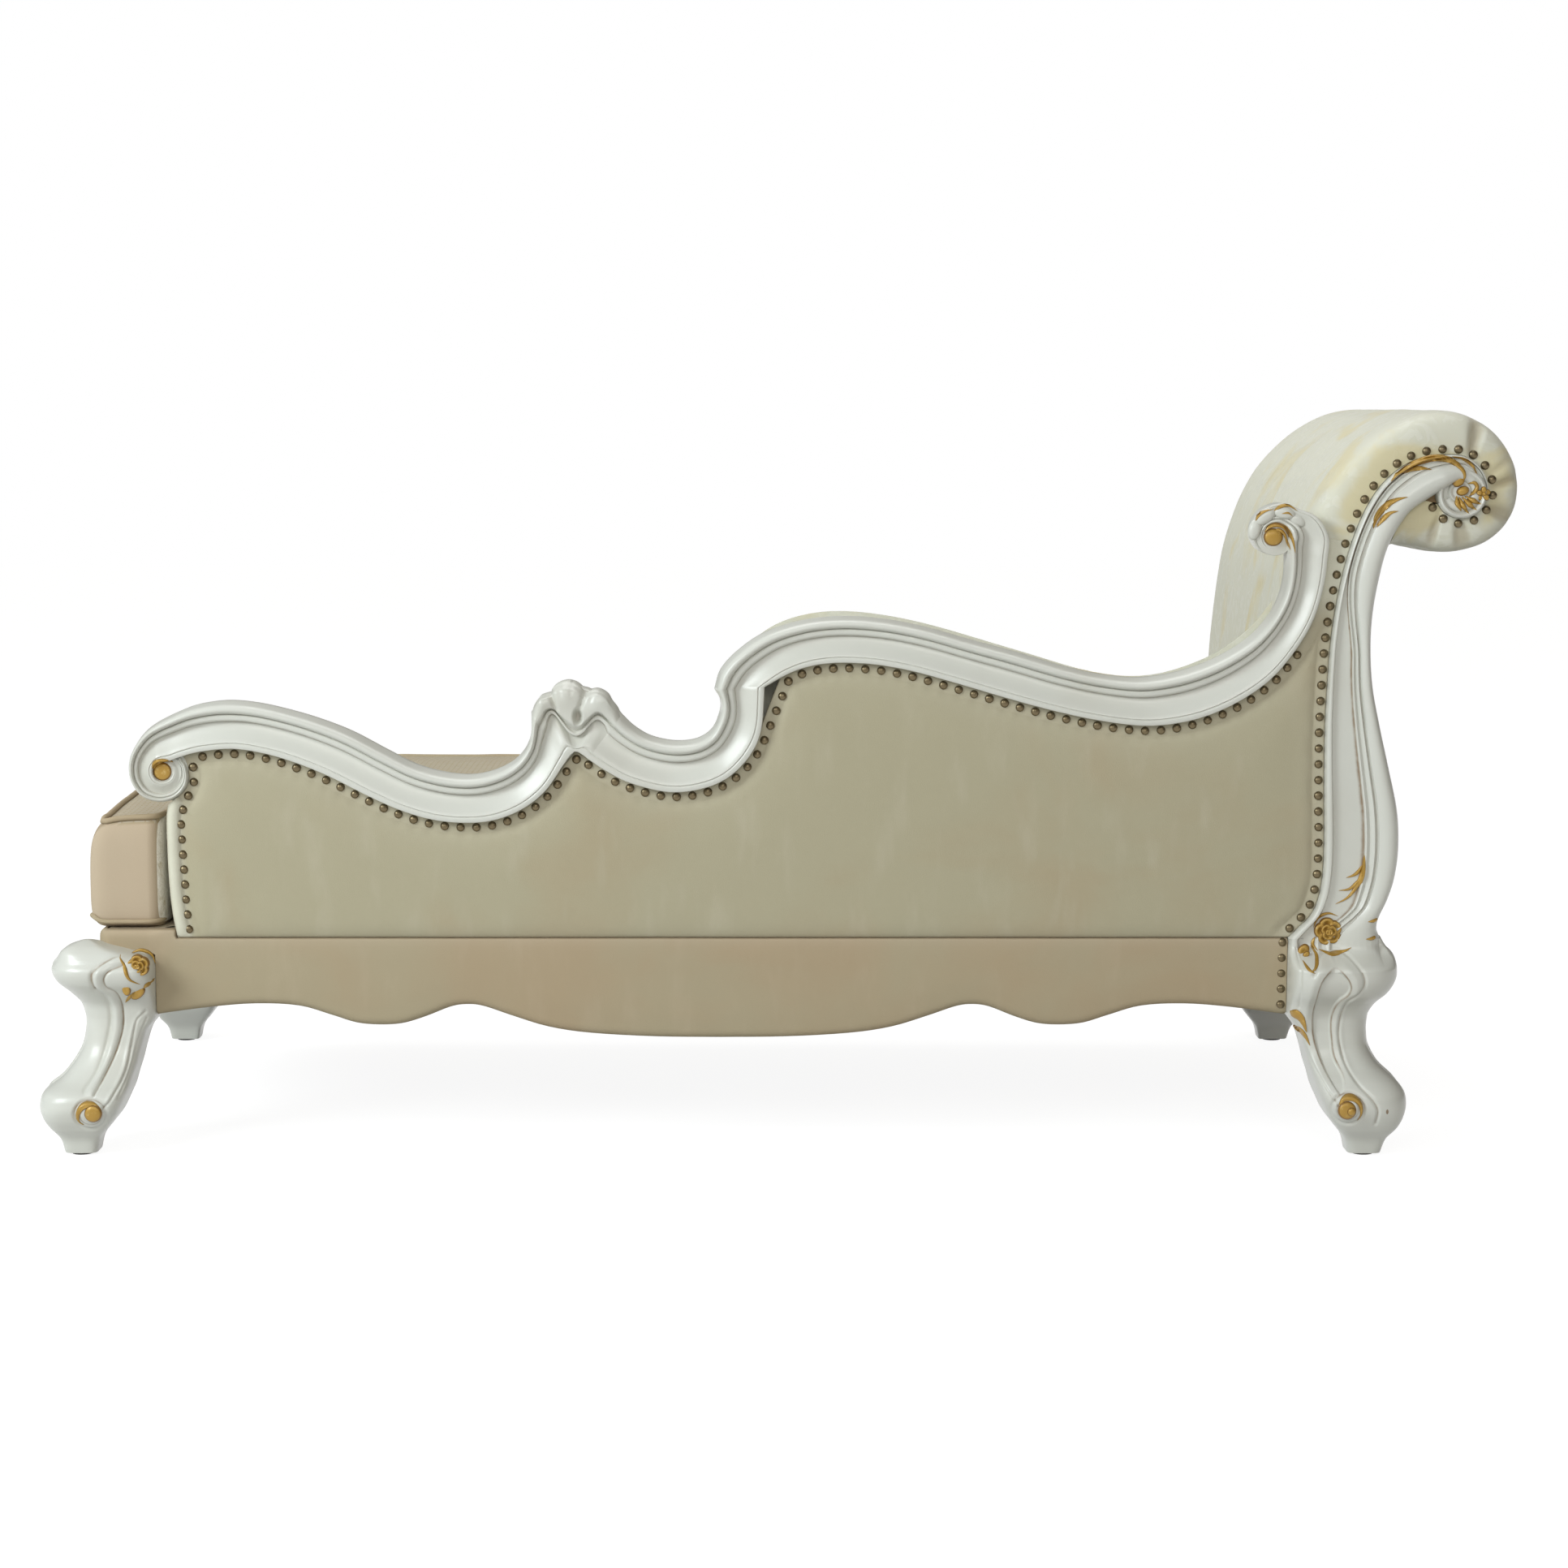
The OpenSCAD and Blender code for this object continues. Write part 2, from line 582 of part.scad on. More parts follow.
module spring_clips() {
    color(steel) both_sides() for (x = spring_x)
        difference() {
            translate([x - clip_w / 2, -spring_end_y - clip_d / 2, rail_top])
                cube([clip_w, clip_d, clip_h]);
            translate([x - wire / 2 - gap, -spring_end_y - clip_d, rail_top - 1])
                cube([wire + 2 * gap, 2 * clip_d, wire + gap + 1]);
        }
}
deck_foot = foot_rail_out;
deck_head = X(705);
ear_x = X(-849);
module deck_layer(z1, z2) {
    translate([0, 0, z1]) linear_extrude(z2 - z1)
        polygon([[deck_foot, -board_y], [ear_x - gap, -board_y], [ear_x - gap, -lining_in_y + gap],
            [deck_head, -lining_in_y + gap], [deck_head, board_y], [deck_foot, board_y]]);
}
hessian_z = rail_top + clip_h + gap;
module deck_hessian() {
    color(linen) deck_layer(hessian_z, hessian_z + cloth);
}
module deck_pad() {
    color("ivory") deck_layer(hessian_z + cloth + gap, deck_top - cloth - gap);
}
module deck_cloth() {
    color(velvet) deck_layer(deck_top - cloth, deck_top);
}
dust_z = min(block_z, stretcher_top - stretcher_h) - dust - gap;
module dust_cloth() {
    color([0.2, 0.2, 0.2]) translate([0, 0, dust_z]) linear_extrude(dust) difference() {
        translate([foot_rail_in + gap, -rail_in_y + gap])
            square([head_rail_in - foot_rail_in - 2 * gap, 2 * (rail_in_y - gap)]);
        for (y = [-1, 1], c = [[foot_leg_line, foot_leg_x], [head_leg_x, head_leg_line + leg_in]])
            translate([c[0], y > 0 ? leg_in_y : -leg_in_y - leg_in]) square([c[1] - c[0], leg_in]);
    }
}

// Rear side

upright_x = [X(-836), X(-420), X(120), X(692)];
module side_uprights() {
    color(bare_wood) board(-board_y, -frame_in_y)
        intersection() {
            polygon(side_outline(rail_top, 0.5, cover));
            for (x = upright_x) translate([x, rail_top - 1]) square([upright_w, height]);
        }
}
module side_lining() {
    color(linen) board(-frame_in_y + gap, -lining_in_y) polygon(side_outline(deck_top + gap, 0.5, cover));
}
module side_outer_cover() {
    color(velvet) {
        board(-face_y, -board_y - gap) polygon(side_outline(base_top + gap, 0));
        board(-board_y - gap, -frame_in_y)
            polygon(concat(
                foot_from(deck_top + gap),
                flip([for (p = foot_from(deck_top + gap)) p + [cover - gap, 0]])));
        // The strip of cover between the rail's head and the post
        board(-face_y, -frame_in_y) polygon(side_strip());
    }
}
curl_side = 2 * (len(hump) + 2);
strip_end = lerp(head_run[2 * beside_side - 1], head_run[2 * beside_side], 0.94);
function side_strip() = concat(
    off_inner(hump_run, hump_end, 2 * len(hump), gap),
    [for (i = [2 * len(hump) + 1:curl_side]) pull(inner_of(hump_run[i]), place(curl_eye), -gap)],
    [contour_of(strip_end), in_post(strip_end, -gap)],
    flip([for (i = [side_top:2 * beside_side - 1]) in_post(head_run[i], -gap)]));

// Upper edge of the padding inside the rear side, just below the rail's crest line
pad_top = [[-846, 588], [-820, 604], [-760, 618], [-681, 606], [-592, 576], [-501, 530], [-428, 515],
    [-372, 530], [-336, 580], [-305, 622], [-262, 628], [-226, 600], [-180, 572], [-143, 563],
    [-106, 568], [-80, 592], [-58, 660], [-30, 700], [20, 726], [92, 735], [192, 722], [327, 686],
    [439, 656], [520, 652], [600, 676], [655, 712], [687, 748]];
pad_soft = 14;
module side_inner_cover() {
    back = -lining_in_y + gap;
    front = -pad_in_y;
    low = deck_top + gap;
    color(damask) lofted([for (p = smooth(pad_top, 1))
        let (
            q = place(p),
            end_draw = p[0] < -830 ? pad_soft : 0,
            f = front - end_draw)
        [for (c = [[back, low], [back, q[1] - 4], [back + 10, q[1]], [back + 22, q[1] - 3],
            [f - 6, q[1] - 22], [f - 1, q[1] - 60], [f, (q[1] + low) / 2], [f - 2, low + 30], [f - 9, low]])
            [q[0], c[0], c[1]]]]);
}

// Carved rail, crest and buttons

// Share of the relief that is left on the rail under its crest
crest_flat = 0.12;
module carved_top_rail() {
    color(painted) lofted(flip(concat(
        [for (s = low_run) carved_ring(s, rail_moulding, 1, frame_in_y)],
        [for (s = crest_run) carved_ring(s, rail_moulding, crest_flat, frame_in_y)],
        [for (s = neck_run) carved_ring(s, rail_moulding, 1, frame_in_y)],
        [for (s = tail(hump_run)) carved_ring(s, rail_moulding, 1, frame_in_y)])));
}
crest_outline = [[-331, 618], [-326, 631], [-312, 641], [-303, 655], [-289, 661], [-273, 655],
    [-258, 646], [-241, 647], [-231, 632], [-224, 614], [-243, 592], [-262, 574], [-277, 566],
    [-291, 575], [-312, 596]];
crest_mid = [-277, 614];
// Share of the outline and share of the relief, from the seat up over the rim into the hollow
crest_rise = [[1, crest_flat], [0.98, 0.7], [0.86, 1.05], [0.66, 1.2], [0.42, 1.15], [0.24, 0.7]];
module rail_crest() {
    loop = [for (p = smooth_loop(crest_outline, 2)) place(p)];
    mid = place(crest_mid);
    color(painted) lofted([for (c = crest_rise)
        [for (p = loop)
            let (q = lerp(mid, p, c[0]))
            [q[0], -face_y - show_relief * c[1] - gap, q[1]]]]);
}

// A turned button, standing on the plane y and facing the rear
module button(p, r, y_back, y_face) {
    deep = y_face - y_back;
    translate([p[0], -y_back, p[1]]) rotate([90, 0, 0]) rotate_extrude()
        polygon([[0, 0], [r, 0], [r, deep], [r * 0.86, deep + 3], [r * 0.7, deep + 1.2],
            [r * 0.5, deep + 4.5], [r * 0.24, deep + 6.5], [0, deep + 7]]);
}
module scroll_buttons() {
    color(gilt) {
        button(place(foot_eye), foot_eye_r, frame_in_y, face_y + 12);
        button(place(curl_eye), curl_eye_r, frame_in_y, face_y + 10);
        both_sides() button(place(post_eye), post_eye_r, board_y + gap, face_y + 10);
    }
}

// Head: posts, cheeks, rails, roll, webbing and covers

// Carved timber of the head between two of its stations
module head_timber(first, last) {
    color(painted) lofted([for (i = [last:-1:first])
        carved_ring(concat(edge_of(head_run[i]), far_of(head_run[i])), post_moulding, 1, board_y + gap)]);
}
// The stations at which the neck is scarfed on the post, and the scroll's block on the neck
neck_from = 23;
scroll_from = 31;
module head_post_rear() {
    head_timber(0, neck_from);
}
module head_post_front() {
    mirror([0, 1, 0]) head_post_rear();
}
module head_neck_rear() {
    head_timber(neck_from, scroll_from);
}
module head_neck_front() {
    mirror([0, 1, 0]) head_neck_rear();
}
module head_scroll_rear() {
    head_timber(scroll_from, len(head_run) - 1);
}
module head_scroll_front() {
    mirror([0, 1, 0]) head_scroll_rear();
}
module cheek() {
    color(bare_wood) board(-board_y, -frame_in_y) polygon(cheek_outline);
}
module head_cheek_rear() {
    cheek();
}
module head_cheek_front() {
    mirror([0, 1, 0]) cheek();
}
// Stations of the head at which a cross rail ties the cheeks, just behind the webbing
cross_rail_at = [7, 12, 17, 23];
// Room for the webbing's curve over a cross rail
rail_behind = 2.4;
module head_cross_rails() {
    color(bare_wood) for (i = cross_rail_at)
        let (
            h = head_run[i],
            way = far_of(h) - edge_of(h),
            half = head_rail / 2 * (abs(way[0]) + abs(way[1])) / norm(way),
            q = in_post(h, cloth + 2 * gap + rail_behind + half))
        translate([q[0] - head_rail / 2, -frame_in_y + gap, q[1] - head_rail / 2])
            cube([head_rail, 2 * (frame_in_y - gap), head_rail]);
}
roll_r = 32;
roll_wall = 5;
module roll_core() {
    q = place(post_eye);
    color([0.66, 0.55, 0.40]) translate([q[0], frame_in_y - gap, q[1]]) rotate([90, 0, 0])
        difference() {
            cylinder(r = roll_r, h = 2 * (frame_in_y - gap), $fn = 48);
            translate([0, 0, -1]) cylinder(r = roll_r - roll_wall, h = 2 * frame_in_y + 2, $fn = 48);
        }
}
// The straps follow the inside of the padded back
strap_first = 4;
strap_last = 32;
strap_margin = 20;
module back_webbing() {
    front = [for (i = [strap_first:strap_last]) in_post(head_run[i], gap)];
    back = [for (i = [strap_first:strap_last]) in_post(head_run[i], gap + cloth)];
    outmost = frame_in_y - strap_w / 2 - strap_margin;
    color(linen) for (i = [0:strap_count - 1])
        let (y = lerp(-outmost, outmost, i / (strap_count - 1)))
        board(y - strap_w / 2, y + strap_w / 2) polygon(concat(front, flip(back)));
}
// Across the depth: share of the padding's thickness and distance from the end
back_section = [[0.99, 0], [0.5, 0], [0.2, 6], [0.06, 22], [0, 110]];
function back_ring(c, e, rear, front) =
    concat(
        [for (s = back_section) let (p = lerp(c, e, s[0])) [p[0], -rear + s[1], p[1]]],
        [[c[0], (front - rear) / 2, c[1]]],
        [for (s = flip(back_section)) let (p = lerp(c, e, s[0])) [p[0], front - s[1], p[1]]]);
module inner_back_cover() {
    first = head_run[2];
    beside = lining_in_y - gap;
    step = lerp(head_run[2 * beside_side - 1], head_run[2 * beside_side], 0.97);
    color(damask) lofted(flip(concat(
        [back_ring([contour_of(first)[0], deck_top + gap], in_post(first, -gap), beside, face_y)],
        [for (i = [3:2 * beside_side - 1])
            back_ring(contour_of(head_run[i]), in_post(head_run[i], -gap), beside, face_y)],
        [back_ring(contour_of(step), in_post(step, -gap), beside, face_y)],
        [for (i = [2 * beside_side:len(head_run) - 1])
            back_ring(contour_of(head_run[i]), in_post(head_run[i], -gap), face_y, face_y)],
        [for (t = tuck) back_ring(place([t[0], t[1]]), place([t[2], t[3]]), face_y, face_y)])));
}
outer_last = 26;
module outer_back_cover() {
    out = [for (i = [0:outer_last]) pull(far_of(head_run[i]), edge_of(head_run[i]), 1)];
    inside = [for (i = [0:outer_last])
        pull(far_of(head_run[i]), edge_of(head_run[i]), cheek_far_inset - gap)];
    low = base_top + gap;
    color(velvet) board(-board_y, board_y)
        polygon(concat([[out[0][0], low]], tail(out), flip(tail(inside)), [[inside[0][0], low]]));
}

// Base covers

soft_corner = [[foot_face, deck_top - 6], [foot_face + 3, deck_top - 2], [foot_face + 8, deck_top]];
module base_cover_rear() {
    color(velvet) board(-face_y, -board_y - gap)
        long_cover_outline(concat(soft_corner,
            [[ear_x - gap, deck_top], [ear_x - gap, base_top], [head_leg_x, base_top]]));
}
module base_cover_front() {
    color(velvet) mirror([0, 1, 0]) board(-face_y, -board_y - gap)
        long_cover_outline(concat(soft_corner, [[head_leg_x, deck_top]]));
}
module base_cover_foot() {
    color(velvet) across(foot_face, foot_rail_out - gap)
        end_outline(0, deck_top, board_y, knee_top);
}
module base_cover_head() {
    color(velvet) across(head_rail_out + gap, head_face)
        end_outline(0, base_top, end_half, base_top - 1);
}

// Nails and gilt work

module nail(p, y) {
    translate([p[0], y, p[1]]) rotate([90, 0, 0]) rotate_extrude($fn = 16)
        polygon([[0, 0], [nail_d / 2, 0], [nail_d * 0.42, nail_d * 0.16], [nail_d * 0.22, nail_d * 0.29],
            [0, nail_d * 0.33]]);
}
side_nail_line = concat(
    beside([for (i = [rail_foot_i + 4:len(low_run) - 1]) inner_of(low_run[i])], nail_inset),
    [inner_of(crest_run[3]) - [0, nail_inset]],
    beside([for (i = [1:len(neck_run) - 4]) inner_of(neck_run[i])], nail_inset),
    beside([for (i = [3:2 * (len(hump) - 4)]) inner_of(hump_run[i])], nail_inset));
foot_nail_line = concat(
    beside([for (i = [2:5]) outer_of(low_run[i])], -nail_inset),
    [for (p = smooth([[-828, 472], [-827, 440], [-825, 400], [-823, 350], [-820, 312]], 2)) place(p)]);
post_nail_line = concat(
    [[head_leg_x - nail_inset, Z(206)], [head_leg_x - nail_inset, Z(292)]],
    beside([for (i = [1:len(head_run) - 1]) edge_of(head_run[i])], -nail_inset));
module nails_side() {
    color(gilt) for (p = spaced(side_nail_line, nail_pitch)) nail(p, -face_y);
}
module nails_side_foot() {
    color(gilt) for (p = spaced(foot_nail_line, nail_pitch)) nail(p, -face_y);
}
module nails_post_rear() {
    color(gilt) for (p = spaced(post_nail_line, nail_pitch)) nail(p, -face_y);
}
module nails_post_front() {
    color(gilt) mirror([0, 1, 0]) for (p = spaced(post_nail_line, nail_pitch)) nail(p, -face_y);
}
// A gilt flower: round petals about a boss
petals = 5;
petal_t = 3.5;
petal_dip = 0.13;
boss_t = 6;
module rosette(p, y, r) {
    translate([p[0], y, p[1]]) rotate([90, 0, 0]) union() {
        linear_extrude(petal_t)
            polygon([for (a = [0:9:351])
                r * (1 - petal_dip + petal_dip * cos(petals * a)) * [cos(a), sin(a)]]);
        cylinder(r = r * 0.36, h = boss_t);
    }
}
knee_reach = 60;
foot_reach = 75;
module leg_rosettes() {
    color(gilt) both_sides() {
        rosette([foot_leg_line + 40, Z(260)], -face_y - knee_reach - gap, rosette_r);
        rosette([head_leg_line - 30, Z(260)], -face_y - knee_reach - gap, rosette_r);
    }
}
module foot_scrolls() {
    color(gilt) both_sides()
        for (x = [foot_leg_line - sole_mid + 4, head_leg_line + sole_mid - 4])
            button([x, Z(72)], foot_scroll_r, face_y + foot_reach + gap, face_y + foot_reach + gap + 3);
}

// Seat cushion: stations along the length, as [x, lift of its underside, drop of its upper
// edge, draw-in of its sides, way that its skin lies], and whether the ear is there

cushion_z = deck_top + gap;
cushion_rear = -pad_in_y + 4;
ear_rear = -face_y + 9;
cushion_front = face_y - 4;
cushion_stations = [[-963, 30, 76, 26, 1, 1], [-959, 12, 44, 10, 1, 1], [-951, 3, 24, 3, 1, 1],
    [-938, 0, 13, 0, 1, 1], [-915, 0, 8, 0, 0, 1], [-892, 0, 5, 0, 0, 1], [-868, 0, 4, 4, -1, 1],
    [-864, 0, 4, 10, -1, 0], [-800, 0, 2, 2, 0, 0], [-650, 0, 0, 4, 0, 0], [-450, 0, 0, 6, 0, 0],
    [-200, 0, 0, 7, 0, 0], [100, 0, 0, 6, 0, 0], [350, 0, 0, 4, 0, 0], [560, 0, 2, 1, 0, 0],
    [640, 0, 6, 0, 0, 0], [667, 0, 14, 3, -1, 0], [677, 6, 28, 10, -1, 0], [681, 20, 60, 24, -1, 0]];
// Across: distance in from the side, height as lift from below or drop from above
soft_side = [[14, 0, true], [3, 12, true], [0, 60, true], [2, 28, false], [11, 9, false], [44, 3, false]];
function cushion_ring(s, skin) =
    let (
        x = X(s[0]) + s[4] * skin,
        low = cushion_z + s[1] + skin,
        high = cushion_z + cushion_h - s[2] - skin,
        rear = (s[5] > 0 ? ear_rear : cushion_rear) + s[3] + skin,
        front = cushion_front - s[3] - skin,
        bulge = cushion_crown * max(0, 1 - s[2] / 60),
        mid = (low + high) / 2,
        side = [for (c = soft_side) [c[0], c[2] ? min(low + c[1], mid) : max(high - c[1], mid + 1)]])
    concat(
        [for (c = side) [x, rear + c[0], c[1]]],
        [for (t = [-0.5, 0, 0.5])
            [x, lerp(rear, front, (1 + t) / 2), high + bulge * (1 - 0.8 * t * t)]],
        [for (c = flip(side)) [x, front - c[0], c[1]]]);
module cushion_form(skin) {
    lofted([for (s = cushion_stations) cushion_ring(s, skin)]);
}
module cushion_cover() {
    color(velvet) difference() {
        cushion_form(0);
        cushion_form(cushion_skin);
    }
}
module cushion_core() {
    color("ivory") cushion_form(cushion_skin + gap);
}
// Piping runs round the cushion where its sides meet its top and its underside
piping_r = piping_d / 2;
first_piped = 3;
// The station at which the ear ends, behind the foot of the rear side
ear_step = 6;
last_piped = len(cushion_stations) - 3;
top_corner = 4;
ring_last = 2 * len(soft_side) + 2;
// How far the middle of the piping lies from the edge that it covers
piping_off = 1.22 * (piping_r + gap);
function ring_at(i) = cushion_ring(cushion_stations[i], 0);
function top_path() =
    let (foot = ring_at(first_piped), head = ring_at(last_piped))
    concat(
        [for (i = [first_piped:last_piped])
            let (end = i == first_piped ? -0.4 : i == ear_step || i == ear_step + 1 ? 0.6
                : i == last_piped ? 0.45 : 0)
            ring_at(i)[top_corner] + piping_off * [end, -0.55, 0.82]],
        [for (k = [top_corner + 1:ring_last - top_corner - 1]) head[k] + piping_off * [0.55, 0, 0.85]],
        [for (i = [last_piped:-1:first_piped])
            let (end = i == first_piped ? -0.4 : i == last_piped ? 0.45 : 0)
            ring_at(i)[ring_last - top_corner] + piping_off * [end, 0.55, 0.82]],
        [for (k = [ring_last - top_corner - 1:-1:top_corner + 1]) foot[k] + piping_off * [-0.45, 0, 0.9]]);
// Along the underside the piping lies in the soft corner, level with the cushion's base
under_out = 10;
function under_path() =
    let (
        z = cushion_z + piping_r,
        foot = X(-960),
        head = X(683),
        rear = [for (i = [first_piped:last_piped])
            let (p = ring_at(i)[0], aside = i == ear_step || i == ear_step + 1 ? piping_off : 0)
            [p[0] + aside, p[1] - under_out, z]],
        front = [for (i = [last_piped:-1:first_piped])
            let (p = ring_at(i)[ring_last])
            [p[0], p[1] + under_out, z]],
        y1 = rear[0][1],
        y2 = front[0][1],
        y3 = rear[len(rear) - 1][1])
    concat(rear,
        [[head - 4, y3 + 5, z], [head, y3 + 20, z], [head, y2 - 20, z], [head - 4, y2 - 5, z]],
        front,
        [[foot + 5, y2 - 5, z], [foot, y2 - 20, z], [foot, y1 + 20, z], [foot + 5, y1 + 5, z]]);
module cushion_top_piping() {
    color(velvet) piping_tube(top_path(), piping_r, 6);
}
module cushion_bottom_piping() {
    color(velvet) piping_tube(under_path(), piping_r, 6);
}

leg_foot_rear();
leg_foot_front();
leg_head_rear();
leg_head_front();
floor_glides();
seat_rail_rear();
seat_rail_front();
seat_rail_foot();
seat_rail_head();
cross_stretchers();
corner_blocks();
leg_bolts();
seat_springs();
spring_clips();
deck_hessian();
deck_pad();
deck_cloth();
dust_cloth();
side_uprights();
side_lining();
side_inner_cover();
side_outer_cover();
carved_top_rail();
rail_crest();
scroll_buttons();
head_post_rear();
head_post_front();
head_neck_rear();
head_neck_front();
head_scroll_rear();
head_scroll_front();
head_cheek_rear();
head_cheek_front();
head_cross_rails();
roll_core();
back_webbing();
inner_back_cover();
outer_back_cover();
base_cover_rear();
base_cover_front();
base_cover_foot();
base_cover_head();
nails_side();
nails_side_foot();
nails_post_rear();
nails_post_front();
leg_rosettes();
foot_scrolls();
cushion_cover();
cushion_core();
cushion_top_piping();
cushion_bottom_piping();
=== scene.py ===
"""Dresses the chaise longue: carved and painted timber, gilding, nails, covers and cushion."""

import logging
import math
from dataclasses import dataclass, field
from enum import Enum
from typing import Callable, Iterable, Sequence

import bmesh
import bpy
import numpy as np
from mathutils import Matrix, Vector
from mathutils.bvhtree import BVHTree
from mathutils.geometry import delaunay_2d_cdt


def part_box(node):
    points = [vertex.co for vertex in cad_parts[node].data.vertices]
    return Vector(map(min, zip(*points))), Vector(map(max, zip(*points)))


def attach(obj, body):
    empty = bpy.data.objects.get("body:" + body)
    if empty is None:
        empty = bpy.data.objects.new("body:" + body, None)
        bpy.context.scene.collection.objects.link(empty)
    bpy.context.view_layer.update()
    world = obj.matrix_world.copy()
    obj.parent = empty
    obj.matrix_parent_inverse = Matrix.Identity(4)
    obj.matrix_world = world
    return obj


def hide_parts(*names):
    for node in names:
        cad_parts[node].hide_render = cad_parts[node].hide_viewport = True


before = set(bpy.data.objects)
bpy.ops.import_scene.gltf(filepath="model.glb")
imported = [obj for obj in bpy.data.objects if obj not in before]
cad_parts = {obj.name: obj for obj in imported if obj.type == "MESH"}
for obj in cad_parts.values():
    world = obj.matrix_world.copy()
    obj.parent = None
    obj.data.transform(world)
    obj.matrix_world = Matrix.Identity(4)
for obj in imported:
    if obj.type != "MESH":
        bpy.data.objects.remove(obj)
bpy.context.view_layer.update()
LOG = logging.getLogger("chaise")
MM = 0.001
SURFACE_Y = 385.0
CLEAR_Y = 900.0

Array = np.ndarray
Colour = tuple[float, float, float, float]


# Numbers and lines


def smooth(points: Sequence, steps: int, closed: bool = False) -> Array:
    """Runs a smooth line through points.

    Args:
        points: the points, in order.
        steps: how many parts each stretch gets.
        closed: whether it returns to its start, which it then leaves out.

    Returns:
        The finer line.
    """
    p = np.asarray(points, float)
    p = np.vstack([p[-1:], p, p[:2]] if closed else [2 * p[0] - p[1], p, 2 * p[-1] - p[-2]])
    t = (np.arange(steps) / steps)[:, None]
    out = [b + t / 2 * (c - a + t * (2 * a - 5 * b + 4 * c - d + t * (3 * b - a - 3 * c + d)))
           for a, b, c, d in zip(p, p[1:], p[2:], p[3:])]
    return np.vstack(out if closed else out + [p[-2:-1]])


def polar(centre: Sequence, radius: float, degrees: float) -> tuple[float, float]:
    """Gives the point at a radius and an angle from a centre."""
    a = math.radians(degrees)
    return centre[0] + radius * math.cos(a), centre[1] + radius * math.sin(a)


def unit(v: Array) -> Array:
    """Gives vectors of length one along the rows of v."""
    return v / np.maximum(np.linalg.norm(v, axis=-1, keepdims=True), 1e-9)


def evenly(line: Array, spacing: float, closed: bool = False) -> Array:
    """Spaces points evenly along a line.

    Args:
        line: the line.
        spacing: the distance wanted.
        closed: whether it returns to its start.

    Returns:
        The new points, without the first one again.
    """
    p = np.asarray(line, float)
    if closed:
        p = np.vstack([p, p[:1]])
    s = np.concatenate([[0], np.cumsum(np.linalg.norm(np.diff(p, axis=0), axis=1))])
    n = max(2, round(s[-1] / spacing))
    at = np.linspace(0, s[-1], n + 1)
    q = np.column_stack([np.interp(at, s, p[:, k]) for k in range(p.shape[1])])
    return q[:-1] if closed else q


def near(points: Array, line: Array) -> tuple[Array, Array]:
    """Measures points against a line.

    Args:
        points: the points in a plane.
        line: the line in that plane.

    Returns:
        Their distances, and how far along the line their nearest spots lie.
    """
    a, b = line[:-1], line[1:]
    w = b - a
    size = np.maximum((w ** 2).sum(1), 1e-9)
    start = np.concatenate([[0], np.cumsum(np.sqrt(size))])[:-1]
    far, along = np.empty(len(points)), np.empty(len(points))
    batch = 3000
    for i in range(0, len(points), batch):
        d = points[i:i + batch, None, :] - a[None]
        t = np.clip((d * w).sum(2) / size, 0, 1)
        gap = ((d - t[..., None] * w) ** 2).sum(2)
        k = gap.argmin(1)
        rows = np.arange(len(k))
        far[i:i + batch] = np.sqrt(gap[rows, k])
        along[i:i + batch] = start[k] + t[rows, k] * np.sqrt(size[k])
    return far, along


def inside(points: Array, loop: Array) -> Array:
    """Tells which points lie inside a closed line.

    Args:
        points: the points.
        loop: the line's points.

    Returns:
        Whether each lies inside.
    """
    x, y = points[:, 0:1], points[:, 1:2]
    a, b = loop, np.roll(loop, -1, 0)
    cut = (a[:, 1] > y) != (b[:, 1] > y)
    rise = np.where(b[:, 1] == a[:, 1], 1e-9, b[:, 1] - a[:, 1])
    return (cut & (x < (b[:, 0] - a[:, 0]) * (y - a[:, 1]) / rise + a[:, 0])).sum(1) % 2 == 1


def ramp(low: float, high: float, x: Array) -> Array:
    """Rises softly from 0 at low to 1 at high."""
    t = np.clip((x - low) / (high - low), 0, 1)
    return t * t * (3 - 2 * t)


def lattice(xs: Sequence, ys: Sequence) -> Array:
    """Gives every pairing of xs and ys, as a table of points."""
    return np.stack(np.meshgrid(xs, ys, indexing="ij"), -1)


def hump(x: Array, width: float) -> Array:
    """Gives a soft hump of height one about zero."""
    return np.exp(-((x / width) ** 2))


def lumps(points: Array, size: float, seed: int) -> Array:
    """Gives soft unevenness between about -1 and 1.

    Args:
        points: places, as rows of two or three numbers.
        size: the size of one lump, in the points' unit.
        seed: picks the pattern.

    Returns:
        One value for each point.
    """
    dice = np.random.default_rng(seed)
    total, waves = np.zeros(len(points)), 7
    for k in range(waves):
        way = dice.normal(size=points.shape[1])
        way *= (0.6 + 0.22 * k) * 2 * math.pi / (size * np.linalg.norm(way))
        total += np.sin(points @ way + dice.uniform(0, 6.3)) / (1 + 0.25 * k)
    return total / 3.2


# Meshes


def placed(name: str, data: bpy.types.ID, at: Sequence = (0, 0, 0)) -> bpy.types.Object:
    """Makes an object of mesh, lamp or camera data and links it to the scene.

    Args:
        name: its name.
        data: what it shows.
        at: where it stands.

    Returns:
        The object.
    """
    obj = bpy.data.objects.new(name, data)
    obj.location = at
    bpy.context.scene.collection.objects.link(obj)
    return obj


